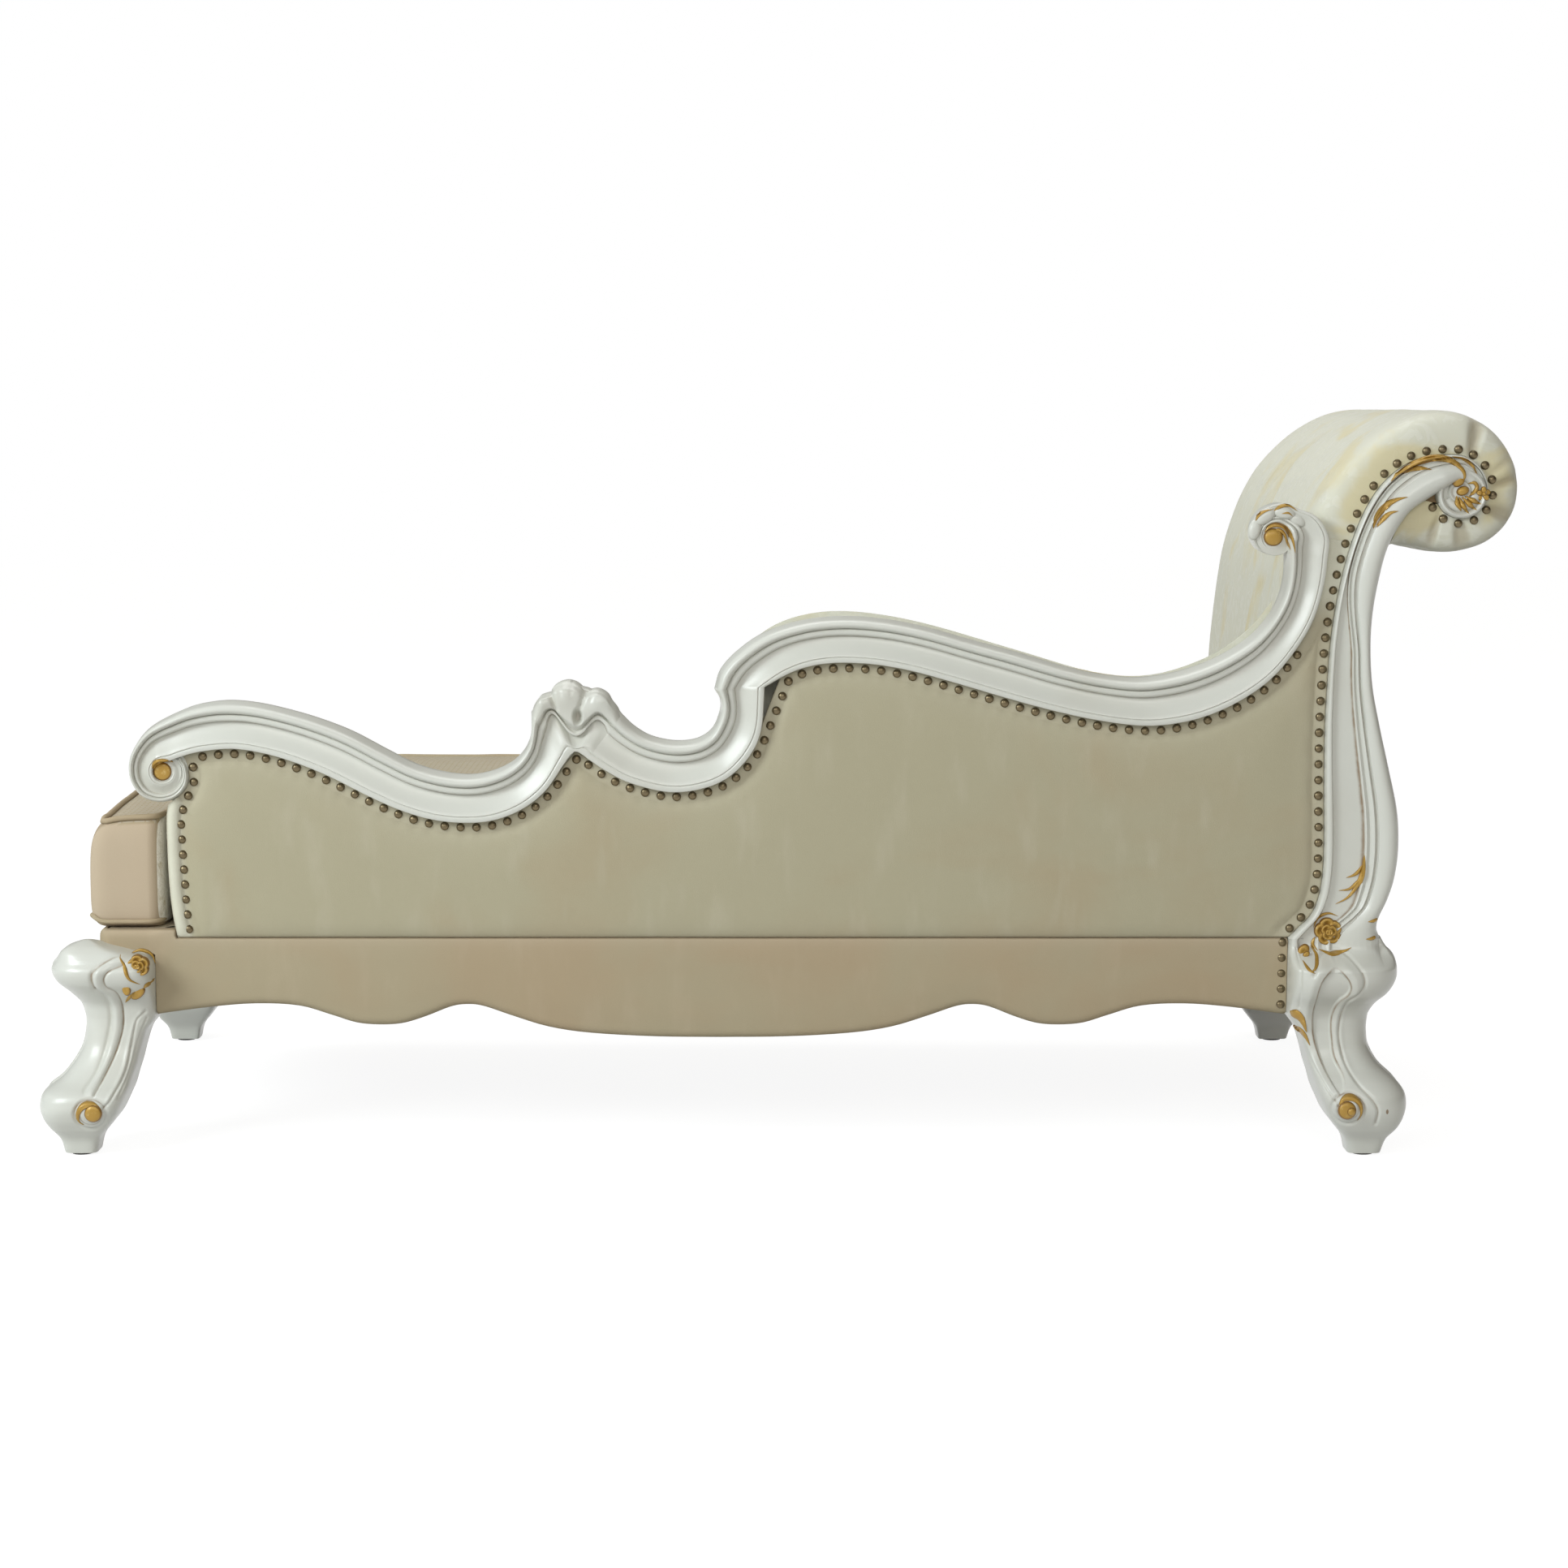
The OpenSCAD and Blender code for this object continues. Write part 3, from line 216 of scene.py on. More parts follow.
class Shape:
    """Points, faces and painted marks gathered for one mesh, in millimetres."""

    def __init__(self) -> None:
        """Starts with nothing gathered."""
        self.points: list[Array] = []
        self.faces: list[list[int]] = []
        self.marks: list[dict[str, Array]] = []
        self.count = 0

    def add(self, points: Array, faces: Iterable, **marks: Array | float) -> None:
        """Takes in points and faces.

        Args:
            points: rows of x, y, z.
            faces: the points' numbers.
            marks: values painted on them.
        """
        self.points.append(np.asarray(points, float))
        self.faces += [[i + self.count for i in f] for f in faces]
        n = len(points)
        self.marks.append({k: np.broadcast_to(np.asarray(v, float), (n,)) for k, v in marks.items()})
        self.count += n

    def loft(self, rings: Array, round_ring: bool = True, round_run: bool = False,
             caps: bool = True, **marks: Array | float) -> None:
        """Adds a skin through rings of points.

        Args:
            rings: rings of x, y, z.
            round_ring: whether rings are closed.
            round_run: whether the last ring joins the first.
            caps: whether open ends are filled.
            marks: values painted on them.
        """
        n, m, _ = rings.shape
        index = np.arange(n * m).reshape(n, m)
        a = index if round_run else index[:-1]
        b = np.roll(index, -1, 0) if round_run else index[1:]
        if round_ring:
            a2, b2 = np.roll(a, -1, 1), np.roll(b, -1, 1)
        else:
            a, b, a2, b2 = a[:, :-1], b[:, :-1], a[:, 1:], b[:, 1:]
        faces = np.stack([a, a2, b2, b], -1).reshape(-1, 4).tolist()
        if caps and not round_run and round_ring:
            faces += [index[0][::-1].tolist(), index[-1].tolist()]
        flat = {k: np.broadcast_to(np.asarray(v, float), (n, m)).ravel() for k, v in marks.items()}
        self.add(rings.reshape(-1, 3), faces, **flat)

    def tube(self, path: Array, radius: Array | float, sides: int = 8, closed: bool = False,
             **marks: Array | float) -> None:
        """Adds a tube along a path.

        Args:
            path: rows of x, y, z.
            radius: its radius, or one for each point.
            sides: how many sides it has.
            closed: whether it returns to its start.
            marks: values painted on it.
        """
        ahead = np.roll(path, -1, 0) - np.roll(path, 1, 0)
        if not closed:
            ahead[0], ahead[-1] = path[1] - path[0], path[-1] - path[-2]
        ahead = unit(ahead)
        up = np.where(np.abs(ahead[:, 2:3]) > 0.9, [[0.0, 1, 0]], [[0.0, 0, 1]])
        side = unit(np.cross(ahead, up))
        rise = np.cross(side, ahead)
        a = np.arange(sides) * 2 * math.pi / sides
        r = np.broadcast_to(np.asarray(radius, float), (len(path),))[:, None, None]
        rings = path[:, None] + r * (np.cos(a)[None, :, None] * side[:, None]
                                     + np.sin(a)[None, :, None] * rise[:, None])
        self.loft(rings, round_run=closed, **marks)

    def mirrored(self) -> "Shape":
        """Mirrors the shape to the other side of the couch.

        Returns:
            The mirrored shape.
        """
        twin = Shape()
        twin.points = [p * [1, -1, 1] for p in self.points]
        twin.faces = [f[::-1] for f in self.faces]
        twin.marks, twin.count = self.marks, self.count
        return twin

    def all_points(self) -> Array:
        """Gives every point gathered so far."""
        return np.vstack(self.points)

    def turned(self, middles: Sequence, rows: Sequence, sides: int) -> None:
        """Adds a turning that faces the carved side.

        Args:
            middles: x and z at each row.
            rows: its radii and distances from the couch's middle, from behind.
            sides: how many sides it has.
        """
        rings = [[(*polar(middle, r, 360 / sides * j), y) for j in range(sides)]
                 for middle, (r, y) in zip(middles, rows)]
        self.loft(np.array(rings)[..., [0, 2, 1]] * (1, -1, 1))

    def build(self, name: str, finish: "Finish", flat_over: float | None = None,
              hollows: float = 0.0) -> bpy.types.Object:
        """Makes the mesh object.

        Args:
            name: the object's name.
            finish: its finish.
            flat_over: the angle over which edges stay sharp.
            hollows: how strongly hollows are darkened, as painted shade and antiquing.

        Returns:
            The new object.
        """
        points = self.all_points() * MM
        mesh = bpy.data.meshes.new(name)
        mesh.from_pydata(points.tolist(), [], self.faces)
        mesh.validate()
        work = bmesh.new()
        work.from_mesh(mesh)
        bmesh.ops.recalc_face_normals(work, faces=work.faces)
        work.to_mesh(mesh)
        work.free()
        names = {k for m in self.marks for k in m}
        values = {k: np.concatenate([m.get(k, np.zeros(len(p))) for m, p in zip(self.marks, self.points)])
                  for k in names}
        # The hollow mark is painted shade, also standing in for antiquing.
        if hollows:
            values["hollow"] = self.cavity(mesh) * hollows
        for key, value in values.items():
            mark = mesh.attributes.new(key, "FLOAT", "POINT")
            mark.data.foreach_set("value", value.astype(np.float32))
        mesh.polygons.foreach_set("use_smooth", [True] * len(mesh.polygons))
        if flat_over is not None:
            mesh.set_sharp_from_angle(angle=math.radians(flat_over))
        mesh.materials.append(finish.material())
        return placed(name, mesh)

    @staticmethod
    def cavity(mesh: bpy.types.Mesh) -> Array:
        """Finds the hollows of a mesh.

        Args:
            mesh: the mesh.

        Returns:
            0 where it is flat or round, up to 1 in a hollow.
        """
        n = len(mesh.vertices)
        at, up, ends = np.empty(n * 3), np.empty(n * 3), np.empty(len(mesh.edges) * 2, int)
        mesh.vertices.foreach_get("co", at)
        mesh.vertices.foreach_get("normal", up)
        mesh.edges.foreach_get("vertices", ends)
        at, up, (a, b) = at.reshape(n, 3), up.reshape(n, 3), ends.reshape(-1, 2).T
        way = at[b] - at[a]
        way /= np.maximum(np.linalg.norm(way, axis=1), 1e-7)[:, None]
        both, ways = np.concatenate([a, b]), np.bincount(ends, minlength=n)
        bend = np.bincount(both, np.concatenate([(way * up[a]).sum(1), -(way * up[b]).sum(1)]), n)
        bend /= np.maximum(ways, 1)
        for _ in range(2):
            bend = (bend * 2 + np.bincount(both, np.concatenate([bend[b], bend[a]]), n)) / (ways + 2)
        least, span = 0.03, 0.3
        return np.clip((bend - least) / span, 0, 1)


class Ground:
    """A carved surface that ornaments are laid on."""

    def __init__(self, shape: Shape, side: int = -1) -> None:
        """Keeps the shape for finding its surface.

        Args:
            shape: the carved shape.
            side: -1 where it faces the carved side, 1 for the open side.
        """
        self.side = side
        self.tree = BVHTree.FromPolygons([Vector(p) for p in shape.all_points()], shape.faces)

    def depth(self, x: float, z: float, spare: float) -> float:
        """Finds the surface at a place.

        Args:
            x: place along the couch.
            z: height.
            spare: the answer where nothing is met.

        Returns:
            The surface's y.
        """
        hit = self.tree.ray_cast(Vector((x, self.side * CLEAR_Y, z)), Vector((0, -self.side, 0)))[0]
        return hit.y if hit else spare


def leaf(shape: Shape, ground: Ground, line: Sequence, width: float, height: float,
         start: float = 0.35, end: float = 0.5, steps: int = 6, **marks: float) -> None:
    """Lays a carved stroke with tapered ends on a surface.

    Args:
        shape: what it is added to.
        ground: the surface.
        line: x and z along its middle.
        width: its full width.
        height: how far it stands up.
        start: the share of its length over which it grows.
        end: the share over which it tapers.
        steps: how finely its line is drawn.
        marks: values painted on it.
    """
    mid = smooth(line, steps)
    n, m = len(mid), 9
    ahead = unit(np.gradient(mid, axis=0))
    across = np.column_stack([-ahead[:, 1], ahead[:, 0]])
    t = np.linspace(0, 1, n)
    share = np.minimum(1, (t / start) ** 0.7) * np.minimum(1, ((1 - t) / end) ** 0.8) * 0.94 + 0.06
    rings = np.empty((n, m, 3))
    spare = ground.side * SURFACE_Y
    for i in range(n):
        for j in range(m):
            a = math.pi * j / (m - 1)
            x, z = mid[i] + across[i] * width / 2 * share[i] * math.cos(a)
            spare = ground.depth(x, z, spare)
            lift = height * (0.35 + 0.65 * share[i]) * math.sin(a) ** 0.8 - 0.6
            rings[i, j] = x, spare + ground.side * lift, z
    edge = np.abs(np.cos(np.linspace(0, math.pi, m))) ** 3
    shape.loft(rings, edge=np.broadcast_to(edge, (n, m)), **marks)


def petal(shape: Shape, ground: Ground, centre: Sequence, size: Sequence, turn: float,
          height: float, cup: float = 0.0, lift: float = 0.0, root: float = 0.5,
          face: float | None = None, **marks: float) -> None:
    """Lays a round or oval knob, petal or boss on a surface.

    Args:
        shape: what it is added to.
        ground: the surface.
        centre: x and z of its middle.
        size: its two half widths.
        turn: how far the first is turned from X.
        height: how far it stands up.
        cup: how deep its middle is hollowed.
        lift: how far it stands off the surface.
        root: how far its foot reaches back.
        face: the surface's y, or None to find it.
        marks: values painted on it.
    """
    n, m = 9, 22
    base = ground.depth(*centre, ground.side * SURFACE_Y) if face is None else face
    c, s = math.cos(math.radians(turn)), math.sin(math.radians(turn))
    r = (1 - np.arange(n) / (n - 1) * 0.97)[:, None]
    a = np.arange(m) * 2 * math.pi / m
    rise = height * (1 - r ** 2.6) ** 0.6 - cup * hump(r, 0.55) + lift
    rise[0] -= root
    u, v = size[0] * r * np.cos(a), size[1] * r * np.sin(a)
    y = base + ground.side * rise + 0 * u
    rings = np.stack([centre[0] + u * c - v * s, y, centre[1] + u * s + v * c], -1)
    edge = np.zeros((n, m))
    edge[:2] = 1
    shape.loft(rings, edge=edge, **marks)


def lay(shape: Shape, ground: Ground, rows: Iterable) -> None:
    """Lays knobs and strokes on a surface.

    Args:
        shape: what they are added to.
        ground: the surface.
        rows: what petal() takes, or leaf() where a row starts with a list.
    """
    for row in rows:
        (leaf if isinstance(row[0], list) else petal)(shape, ground, *row)


@dataclass
class Panel:
    """A cover over a flat outline, with rows of points along its edge."""

    outline: Array
    spacing: float = 9.0
    edge_step: float = 5.0
    rows: tuple[float, ...] = (2, 4.5, 8, 12, 15.4, 16.8, 18.4, 22, 28)

    def spread(self) -> tuple[Array, list]:
        """Covers the outline with points and triangles.

        Returns:
            The points, and the triangles between them.
        """
        loop = evenly(self.outline, self.edge_step, closed=True)
        closed = np.vstack([loop, loop[:1]])
        ahead = unit(np.roll(loop, -1, 0) - np.roll(loop, 1, 0))
        inward = np.column_stack([-ahead[:, 1], ahead[:, 0]])
        if not inside(loop[5:6] + inward[5:6] * 0.5, loop)[0]:
            inward = -inward
        extra = []
        for row in self.rows:
            p = loop + inward * row
            p = p[inside(p, loop)]
            extra.append(p[near(p, closed)[0] > row * 0.94])
        low, high = loop.min(0), loop.max(0)
        grid = np.stack(np.meshgrid(np.arange(low[0], high[0], self.spacing),
                                    np.arange(low[1], high[1], self.spacing)), -1).reshape(-1, 2)
        grid = grid[inside(grid, loop)]
        grid = grid[near(grid, closed)[0] > max(self.rows) + self.spacing * 0.5]
        points = np.vstack([loop] + extra + [grid])
        n = len(loop)
        out = delaunay_2d_cdt([Vector(p) for p in points], [(i, (i + 1) % n) for i in range(n)], [],
                              0, 1e-4, False)
        flat = np.array([tuple(p) for p in out[0]])
        corners = np.array([f[:] for f in out[2]])
        return flat, corners[inside(flat[corners].mean(1), loop)].tolist()

    def skin(self, shape: Shape, height: Callable[[Array], Array],
             place: Callable[[Array, Array], Array], back: Callable[[Array], Array] | float | None,
             **marks: Callable[[Array], Array]) -> None:
        """Adds the face and turned edge.

        Args:
            shape: what it is added to.
            height: how far points stand off the plane.
            place: puts points and heights in space.
            back: how far behind the turned edge ends, or None.
            marks: work out the values painted on it.
        """
        flat, faces = self.spread()
        front = place(flat, height(flat))
        if back is None:
            shape.add(front, faces)
            return
        count: dict[tuple[int, int], tuple[int, int]] = {}
        for f in faces:
            for a, b in zip(f, f[1:] + f[:1]):
                key = (min(a, b), max(a, b))
                if key in count:
                    del count[key]
                else:
                    count[key] = (a, b)
        rim = sorted({i for e in count.values() for i in e})
        number = {i: len(flat) + k for k, i in enumerate(rim)}
        behind = place(flat[rim], -np.broadcast_to(back(flat[rim]) if callable(back) else back, (len(rim),)))
        faces = faces + [[b, a, number[a], number[b]] for a, b in count.values()]
        both = np.vstack([flat, flat[rim]])
        shape.add(np.vstack([front, behind]), faces, **{k: f(both) for k, f in marks.items()})


# Finishes


class Value:
    """A number in a material; Python's operators on it add Math nodes."""

    def __init__(self, graph: "Graph", socket: bpy.types.NodeSocket) -> None:
        """Wraps a socket of a graph."""
        self.graph, self.socket = graph, socket

    def math(self, operation: str, *others: "Value | float") -> "Value":
        """Adds a Math node that starts with this value."""
        return self.graph.math(operation, self, *others)

    def __add__(self, other: "Value | float") -> "Value":
        """Adds."""
        return self.graph.math("ADD", self, other)

    __radd__ = __add__

    def __mul__(self, other: "Value | float") -> "Value":
        """Multiplies."""
        return self.graph.math("MULTIPLY", self, other)

    __rmul__ = __mul__

    def __sub__(self, other: "Value | float") -> "Value":
        """Subtracts."""
        return self.graph.math("SUBTRACT", self, other)

    def __rsub__(self, other: "Value | float") -> "Value":
        """Is subtracted."""
        return self.graph.math("SUBTRACT", other, self)

    def between(self, low: float, high: float) -> "Value":
        """Rises softly from 0 at low to 1 at high."""
        node = self.graph.node("ShaderNodeMapRange", {"interpolation_type": "SMOOTHSTEP"},
                               {"Value": self, "From Min": low, "From Max": high})
        return Value(self.graph, node.outputs[0])


class Graph:
    """The nodes of one material, or of the sky."""

    def __init__(self, name: str, tree: bpy.types.NodeTree | None = None) -> None:
        """Starts a material.

        Args:
            name: the material's name.
            tree: the sky's nodes, to use instead.
        """
        if tree is not None:
            self.tree = tree
            tree.nodes.clear()
            return
        self.made = bpy.data.materials.new(name)
        self.made.use_nodes = True
        self.tree = self.made.node_tree
        self.tree.nodes.clear()
        self.shader = self.node("ShaderNodeBsdfPrincipled")
        self.out = self.node("ShaderNodeOutputMaterial", {}, {"Surface": self.shader.outputs[0]})
        self.place = self.node("ShaderNodeTexCoord").outputs["Object"]

    def node(self, kind: str, settings: dict | None = None, inputs: dict | None = None) -> bpy.types.Node:
        """Adds a node.

        Args:
            kind: the node's type.
            settings: its properties.
            inputs: its values or links, by name or number.

        Returns:
            The node.
        """
        node = self.tree.nodes.new(kind)
        for key, value in (settings or {}).items():
            setattr(node, key, value)
        self.feed(node, inputs or {})
        return node

    def feed(self, node: bpy.types.Node, inputs: dict) -> None:
        """Sets or links sockets of a node.

        Args:
            node: the node.
            inputs: values or links, by name or number.
        """
        for key, value in inputs.items():
            value = value.socket if isinstance(value, Value) else value
            if isinstance(value, bpy.types.NodeSocket):
                self.tree.links.new(value, node.inputs[key])
            else:
                node.inputs[key].default_value = value

    def math(self, operation: str, *parts: Value | float) -> Value:
        """Adds a Math node on values and numbers."""
        node = self.node("ShaderNodeMath", {"operation": operation}, dict(enumerate(parts)))
        return Value(self, node.outputs[0])

    def mark(self, name: str) -> Value:
        """Reads a value painted on the mesh."""
        return Value(self, self.node("ShaderNodeAttribute", {"attribute_name": name}).outputs["Fac"])

    def stretched(self, scale: Sequence[float]) -> bpy.types.NodeSocket:
        """Gives the object's coordinates, stretched."""
        return self.node("ShaderNodeVectorMath", {"operation": "MULTIPLY"},
                         {0: self.place, 1: scale}).outputs[0]

    def noise(self, scale: float, detail: float = 2.0, stretch: Sequence[float] = (1, 1, 1),
              swirl: float = 0.0) -> Value:
        """Adds noise between 0 and 1.

        Args:
            scale: lumps in a metre.
            detail: its finer layers.
            stretch: a factor for each axis.
            swirl: how much it is distorted.

        Returns:
            The noise.
        """
        node = self.node("ShaderNodeTexNoise", {}, {
            "Vector": self.stretched(stretch), "Scale": scale, "Detail": detail, "Distortion": swirl})
        return Value(self, node.outputs[0])

    def waves(self, axis: str, scale: float, wobble: float = 0.0) -> Value:
        """Adds stripes across an axis.

        Args:
            axis: X, Y or Z.
            scale: stripes in about 0.3 m.
            wobble: how much they wander.

        Returns:
            A value between 0 and 1.
        """
        node = self.node("ShaderNodeTexWave", {"wave_type": "BANDS", "bands_direction": axis},
                         {"Vector": self.place, "Scale": scale, "Distortion": wobble, "Detail": 2.0})
        return Value(self, node.outputs["Fac"])

    def mix(self, low: object, high: object, share: Value | float) -> bpy.types.NodeSocket:
        """Mixes two colours by the share of the second."""
        return self.node("ShaderNodeMix", {"data_type": "RGBA", "clamp_factor": True},
                         {0: share, 6: low, 7: high}).outputs[2]

    def dress(self, colour: object, rough: Value | float, height: Value | None = None,
              depth: float = 0.0005, **fixed: object) -> None:
        """Sets the main shader.

        Args:
            colour: its colour, fixed or varying.
            rough: its roughness.
            height: what the bump follows.
            depth: how deep it is, in metres.
            fixed: more sockets, with _ for a space.
        """
        inputs = {"Base Color": colour, "Roughness": rough}
        if height is not None:
            bump = self.node("ShaderNodeBump", {}, {"Strength": 1.0, "Distance": depth, "Height": height})
            inputs["Normal"] = bump.outputs[0]
        inputs.update({k.replace("_", " "): v for k, v in fixed.items()})
        self.feed(self.shader, inputs)


@dataclass(frozen=True)
class Finish:
    """A finish and its slot."""

    name: str
    slot: str

    def draw(self, g: Graph) -> None:
        """Adds the finish's nodes to a graph.

        Args:
            g: the graph.
        """
        raise NotImplementedError

    def material(self) -> bpy.types.Material:
        """Makes the material, once.

        Returns:
            The material.
        """
        made = bpy.data.materials.get(self.name)
        if made is None:
            g = Graph(self.name)
            self.draw(g)
            made = g.made
        return made


@dataclass(frozen=True)
class PearlPaint(Finish):
    """Off-white pearl paint over carved timber, with brown rubbed into the hollows and painted shade
    darkening them.
    """

    paint: Colour = (0.615, 0.62, 0.565, 1)
    # Darker paint for random patches and for the painted shade in hollows.
    shade: Colour = (0.47, 0.44, 0.36, 1)
    antique: Colour = (0.20, 0.115, 0.045, 1)
    gold: Colour = (0.46, 0.29, 0.06, 1)
    brush: float = 0.00012

    def draw(self, g: Graph) -> None:
        """Adds paint, antiquing, painted shade in the hollows, gilt edges and faint brush marks.

        Args:
            g: the graph.
        """
        drift = g.noise(5, 3)
        wear = g.noise(60, 4, swirl=0.6)
        # Random darker patches, then painted shade: hollows found from the mesh's shape darken towards the
        # shade colour, standing in for shade and antiquing alike.
        paint = g.mix(self.paint, self.shade, drift.between(0.45, 0.85) * 0.4)
        hollow = (g.mark("hollow") * (0.35 + wear)).between(0.25, 1.3)
        paint = g.mix(paint, self.shade, hollow)
        brown = (g.mark("brown") * (0.55 + wear * 0.9)).between(0.18, 1)
        paint = g.mix(paint, self.antique, brown * 0.85)
        gilded = (g.mark("gold") * (0.7 + wear * 0.6)).between(0.35, 0.7)
        colour = g.mix(paint, self.gold, gilded)
        brushed = g.noise(220, 2, (1, 1, 0.12))
        g.dress(colour, 0.30 + wear * 0.10 + brown * 0.25, brushed * 0.6 + wear * 0.4, self.brush,
                Coat_Weight=0.25, Coat_Roughness=0.22, Specular_IOR_Level=0.5)


@dataclass(frozen=True)
class Gilding(Finish):
    """Ochre gold paint on carving, darker along its edges."""

    gold: Colour = (0.41, 0.24, 0.04, 1)
    # Dark for the edges and for the painted shade in hollows.
    deep: Colour = (0.17, 0.08, 0.02, 1)
    light: Colour = (0.80, 0.66, 0.30, 1)

    def draw(self, g: Graph) -> None:
        """Adds gold with dark edges, painted shade in the hollows and rubbed lights.

        Args:
            g: the graph.
        """
        wear = g.noise(140, 4)
        streak = g.noise(420, 3)
        colour = g.mix(self.gold, self.light, wear.between(0.55, 0.8) * 0.35)
        # Darker edges and rubbed wear, plus painted shade in the hollows found from the mesh's shape.
        dark = (g.mark("edge") * 0.8 + g.mark("hollow") + wear * 0.25).between(0.4, 1.2)
        colour = g.mix(colour, self.deep, dark)
        g.dress(colour, 0.34 + streak * 0.2, streak, 0.0003, Metallic=0.35, Coat_Weight=0.2)


@dataclass(frozen=True)
class AgedBrass(Finish):
    """Antiqued brass nail heads."""

    brass: Colour = (0.17, 0.135, 0.08, 1)
    dark: Colour = (0.025, 0.018, 0.012, 1)

    def draw(self, g: Graph) -> None:
        """Adds tarnish that gathers round the rims.

        Args:
            g: the graph.
        """
        spots = g.noise(500, 3)
        colour = g.mix(self.brass, self.dark, (g.mark("edge") * 0.9 + spots * 0.5).between(0.35, 1.15))
        g.dress(colour, 0.26 + spots * 0.2, spots, 0.0002, Metallic=1.0)


@dataclass(frozen=True)
class Velvet(Finish):
    """Short velvet with a soft mottle of its pile."""

    colour: Colour = (0.425, 0.39, 0.27, 1)
    # Lighter pile, used for the streaks, the painted highlight and the sheen.
    light: Colour = (0.51, 0.475, 0.36, 1)
    warm: Colour = (0.42, 0.355, 0.235, 1)
    # Dark for the painted shade in seams and creases, and for speckling the fine pile.
    seam: Colour = (0.24, 0.20, 0.13, 1)
    # Cream cloth, also used as a painted highlight on the foot roll.
    cream: Colour = (0.68, 0.67, 0.55, 1)

    def draw(self, g: Graph) -> None:
        """Adds cloud-like mottle, fine pile, cream, a painted highlight and painted shade in the seams.

        Args:
            g: the graph.
        """
        clouds = g.noise(4.5, 3, (1, 1, 1.3), 0.5)
        streaks = g.noise(26, 3, (1, 1, 0.3))
        pile = g.noise(1900, 2)
        weave = g.noise(800, 1, (1, 1, 0.5))
        colour = g.mix(self.colour, self.warm, clouds.between(0.42, 0.72) * 0.8)
        colour = g.mix(colour, self.light, (streaks - 0.5).between(0.0, 0.35) * 0.55)
        # Painted highlight where the light mark says.
        colour = g.mix(colour, self.light, g.mark("light"))
        # Cream: the cream cloth beside the post, and a painted highlight on the foot roll.
        colour = g.mix(colour, self.cream, g.mark("cream"))
        # Painted shade in the seams and creases.
        colour = g.mix(colour, self.seam, g.mark("seam"))
        # The same dark colour also speckles the fine pile.
        colour = g.mix(colour, self.seam, (0.5 - pile).between(-0.1, 0.5) * 0.22)
        g.dress(colour, 0.92, pile * 0.6 + weave * 0.4, 0.0004, Sheen_Weight=0.35,
                Sheen_Roughness=0.45, Sheen_Tint=self.light, Specular_IOR_Level=0.2)


@dataclass(frozen=True)
class DashCloth(Finish):
    """Velvet of the seat, with rows of light dashes woven in."""

    colour: Colour = (0.41, 0.35, 0.235, 1)
    dash: Colour = (0.54, 0.51, 0.42, 1)
    warm: Colour = (0.415, 0.33, 0.215, 1)
    # Pink for the streaks, the sheen and the painted highlight.
    pink: Colour = (0.58, 0.475, 0.36, 1)
    # Dark for the painted shade along seams, and for speckling the fine pile.
    seam: Colour = (0.22, 0.165, 0.10, 1)

    def draw(self, g: Graph) -> None:
        """Adds the dashes on level cloth only, pile, clouds, a painted highlight and painted shade along the
        seams.

        Args:
            g: the graph.
        """
        bricks = g.node("ShaderNodeTexBrick", {"offset": 0.5}, {
            "Vector": g.stretched((1, 1, 0)), "Scale": 26.0, "Color1": (1, 1, 1, 1),
            "Color2": (0.7, 0.7, 0.7, 1), "Mortar": (0, 0, 0, 1), "Mortar Size": 0.035, "Mortar Smooth": 0.4,
            "Row Height": 0.16, "Brick Width": 0.42})
        clouds = g.noise(5, 3, swirl=0.4)
        streaks = g.noise(30, 3, (1, 1, 0.3))
        pile = g.noise(1900, 2)
        colour = g.mix(self.colour, self.warm, clouds.between(0.35, 0.7))
        colour = g.mix(colour, self.pink, (streaks - 0.5).between(0.0, 0.35) * 0.15)
        weave = Value(g, bricks.outputs["Color"]) * g.mark("level")
        colour = g.mix(colour, self.dash, weave * 0.75)
        # Painted highlight in pink where the light mark says.
        colour = g.mix(colour, self.pink, g.mark("light"))
        # Painted shade along seams and joins.
        colour = g.mix(colour, self.seam, g.mark("seam"))
        # The same dark colour also speckles the fine pile.
        colour = g.mix(colour, self.seam, (0.5 - pile).between(-0.1, 0.5) * 0.2)
        g.dress(colour, 0.92, pile * 0.4 + weave * 0.8, 0.0005, Sheen_Weight=0.12,
                Sheen_Roughness=0.45, Sheen_Tint=self.pink, Specular_IOR_Level=0.15)


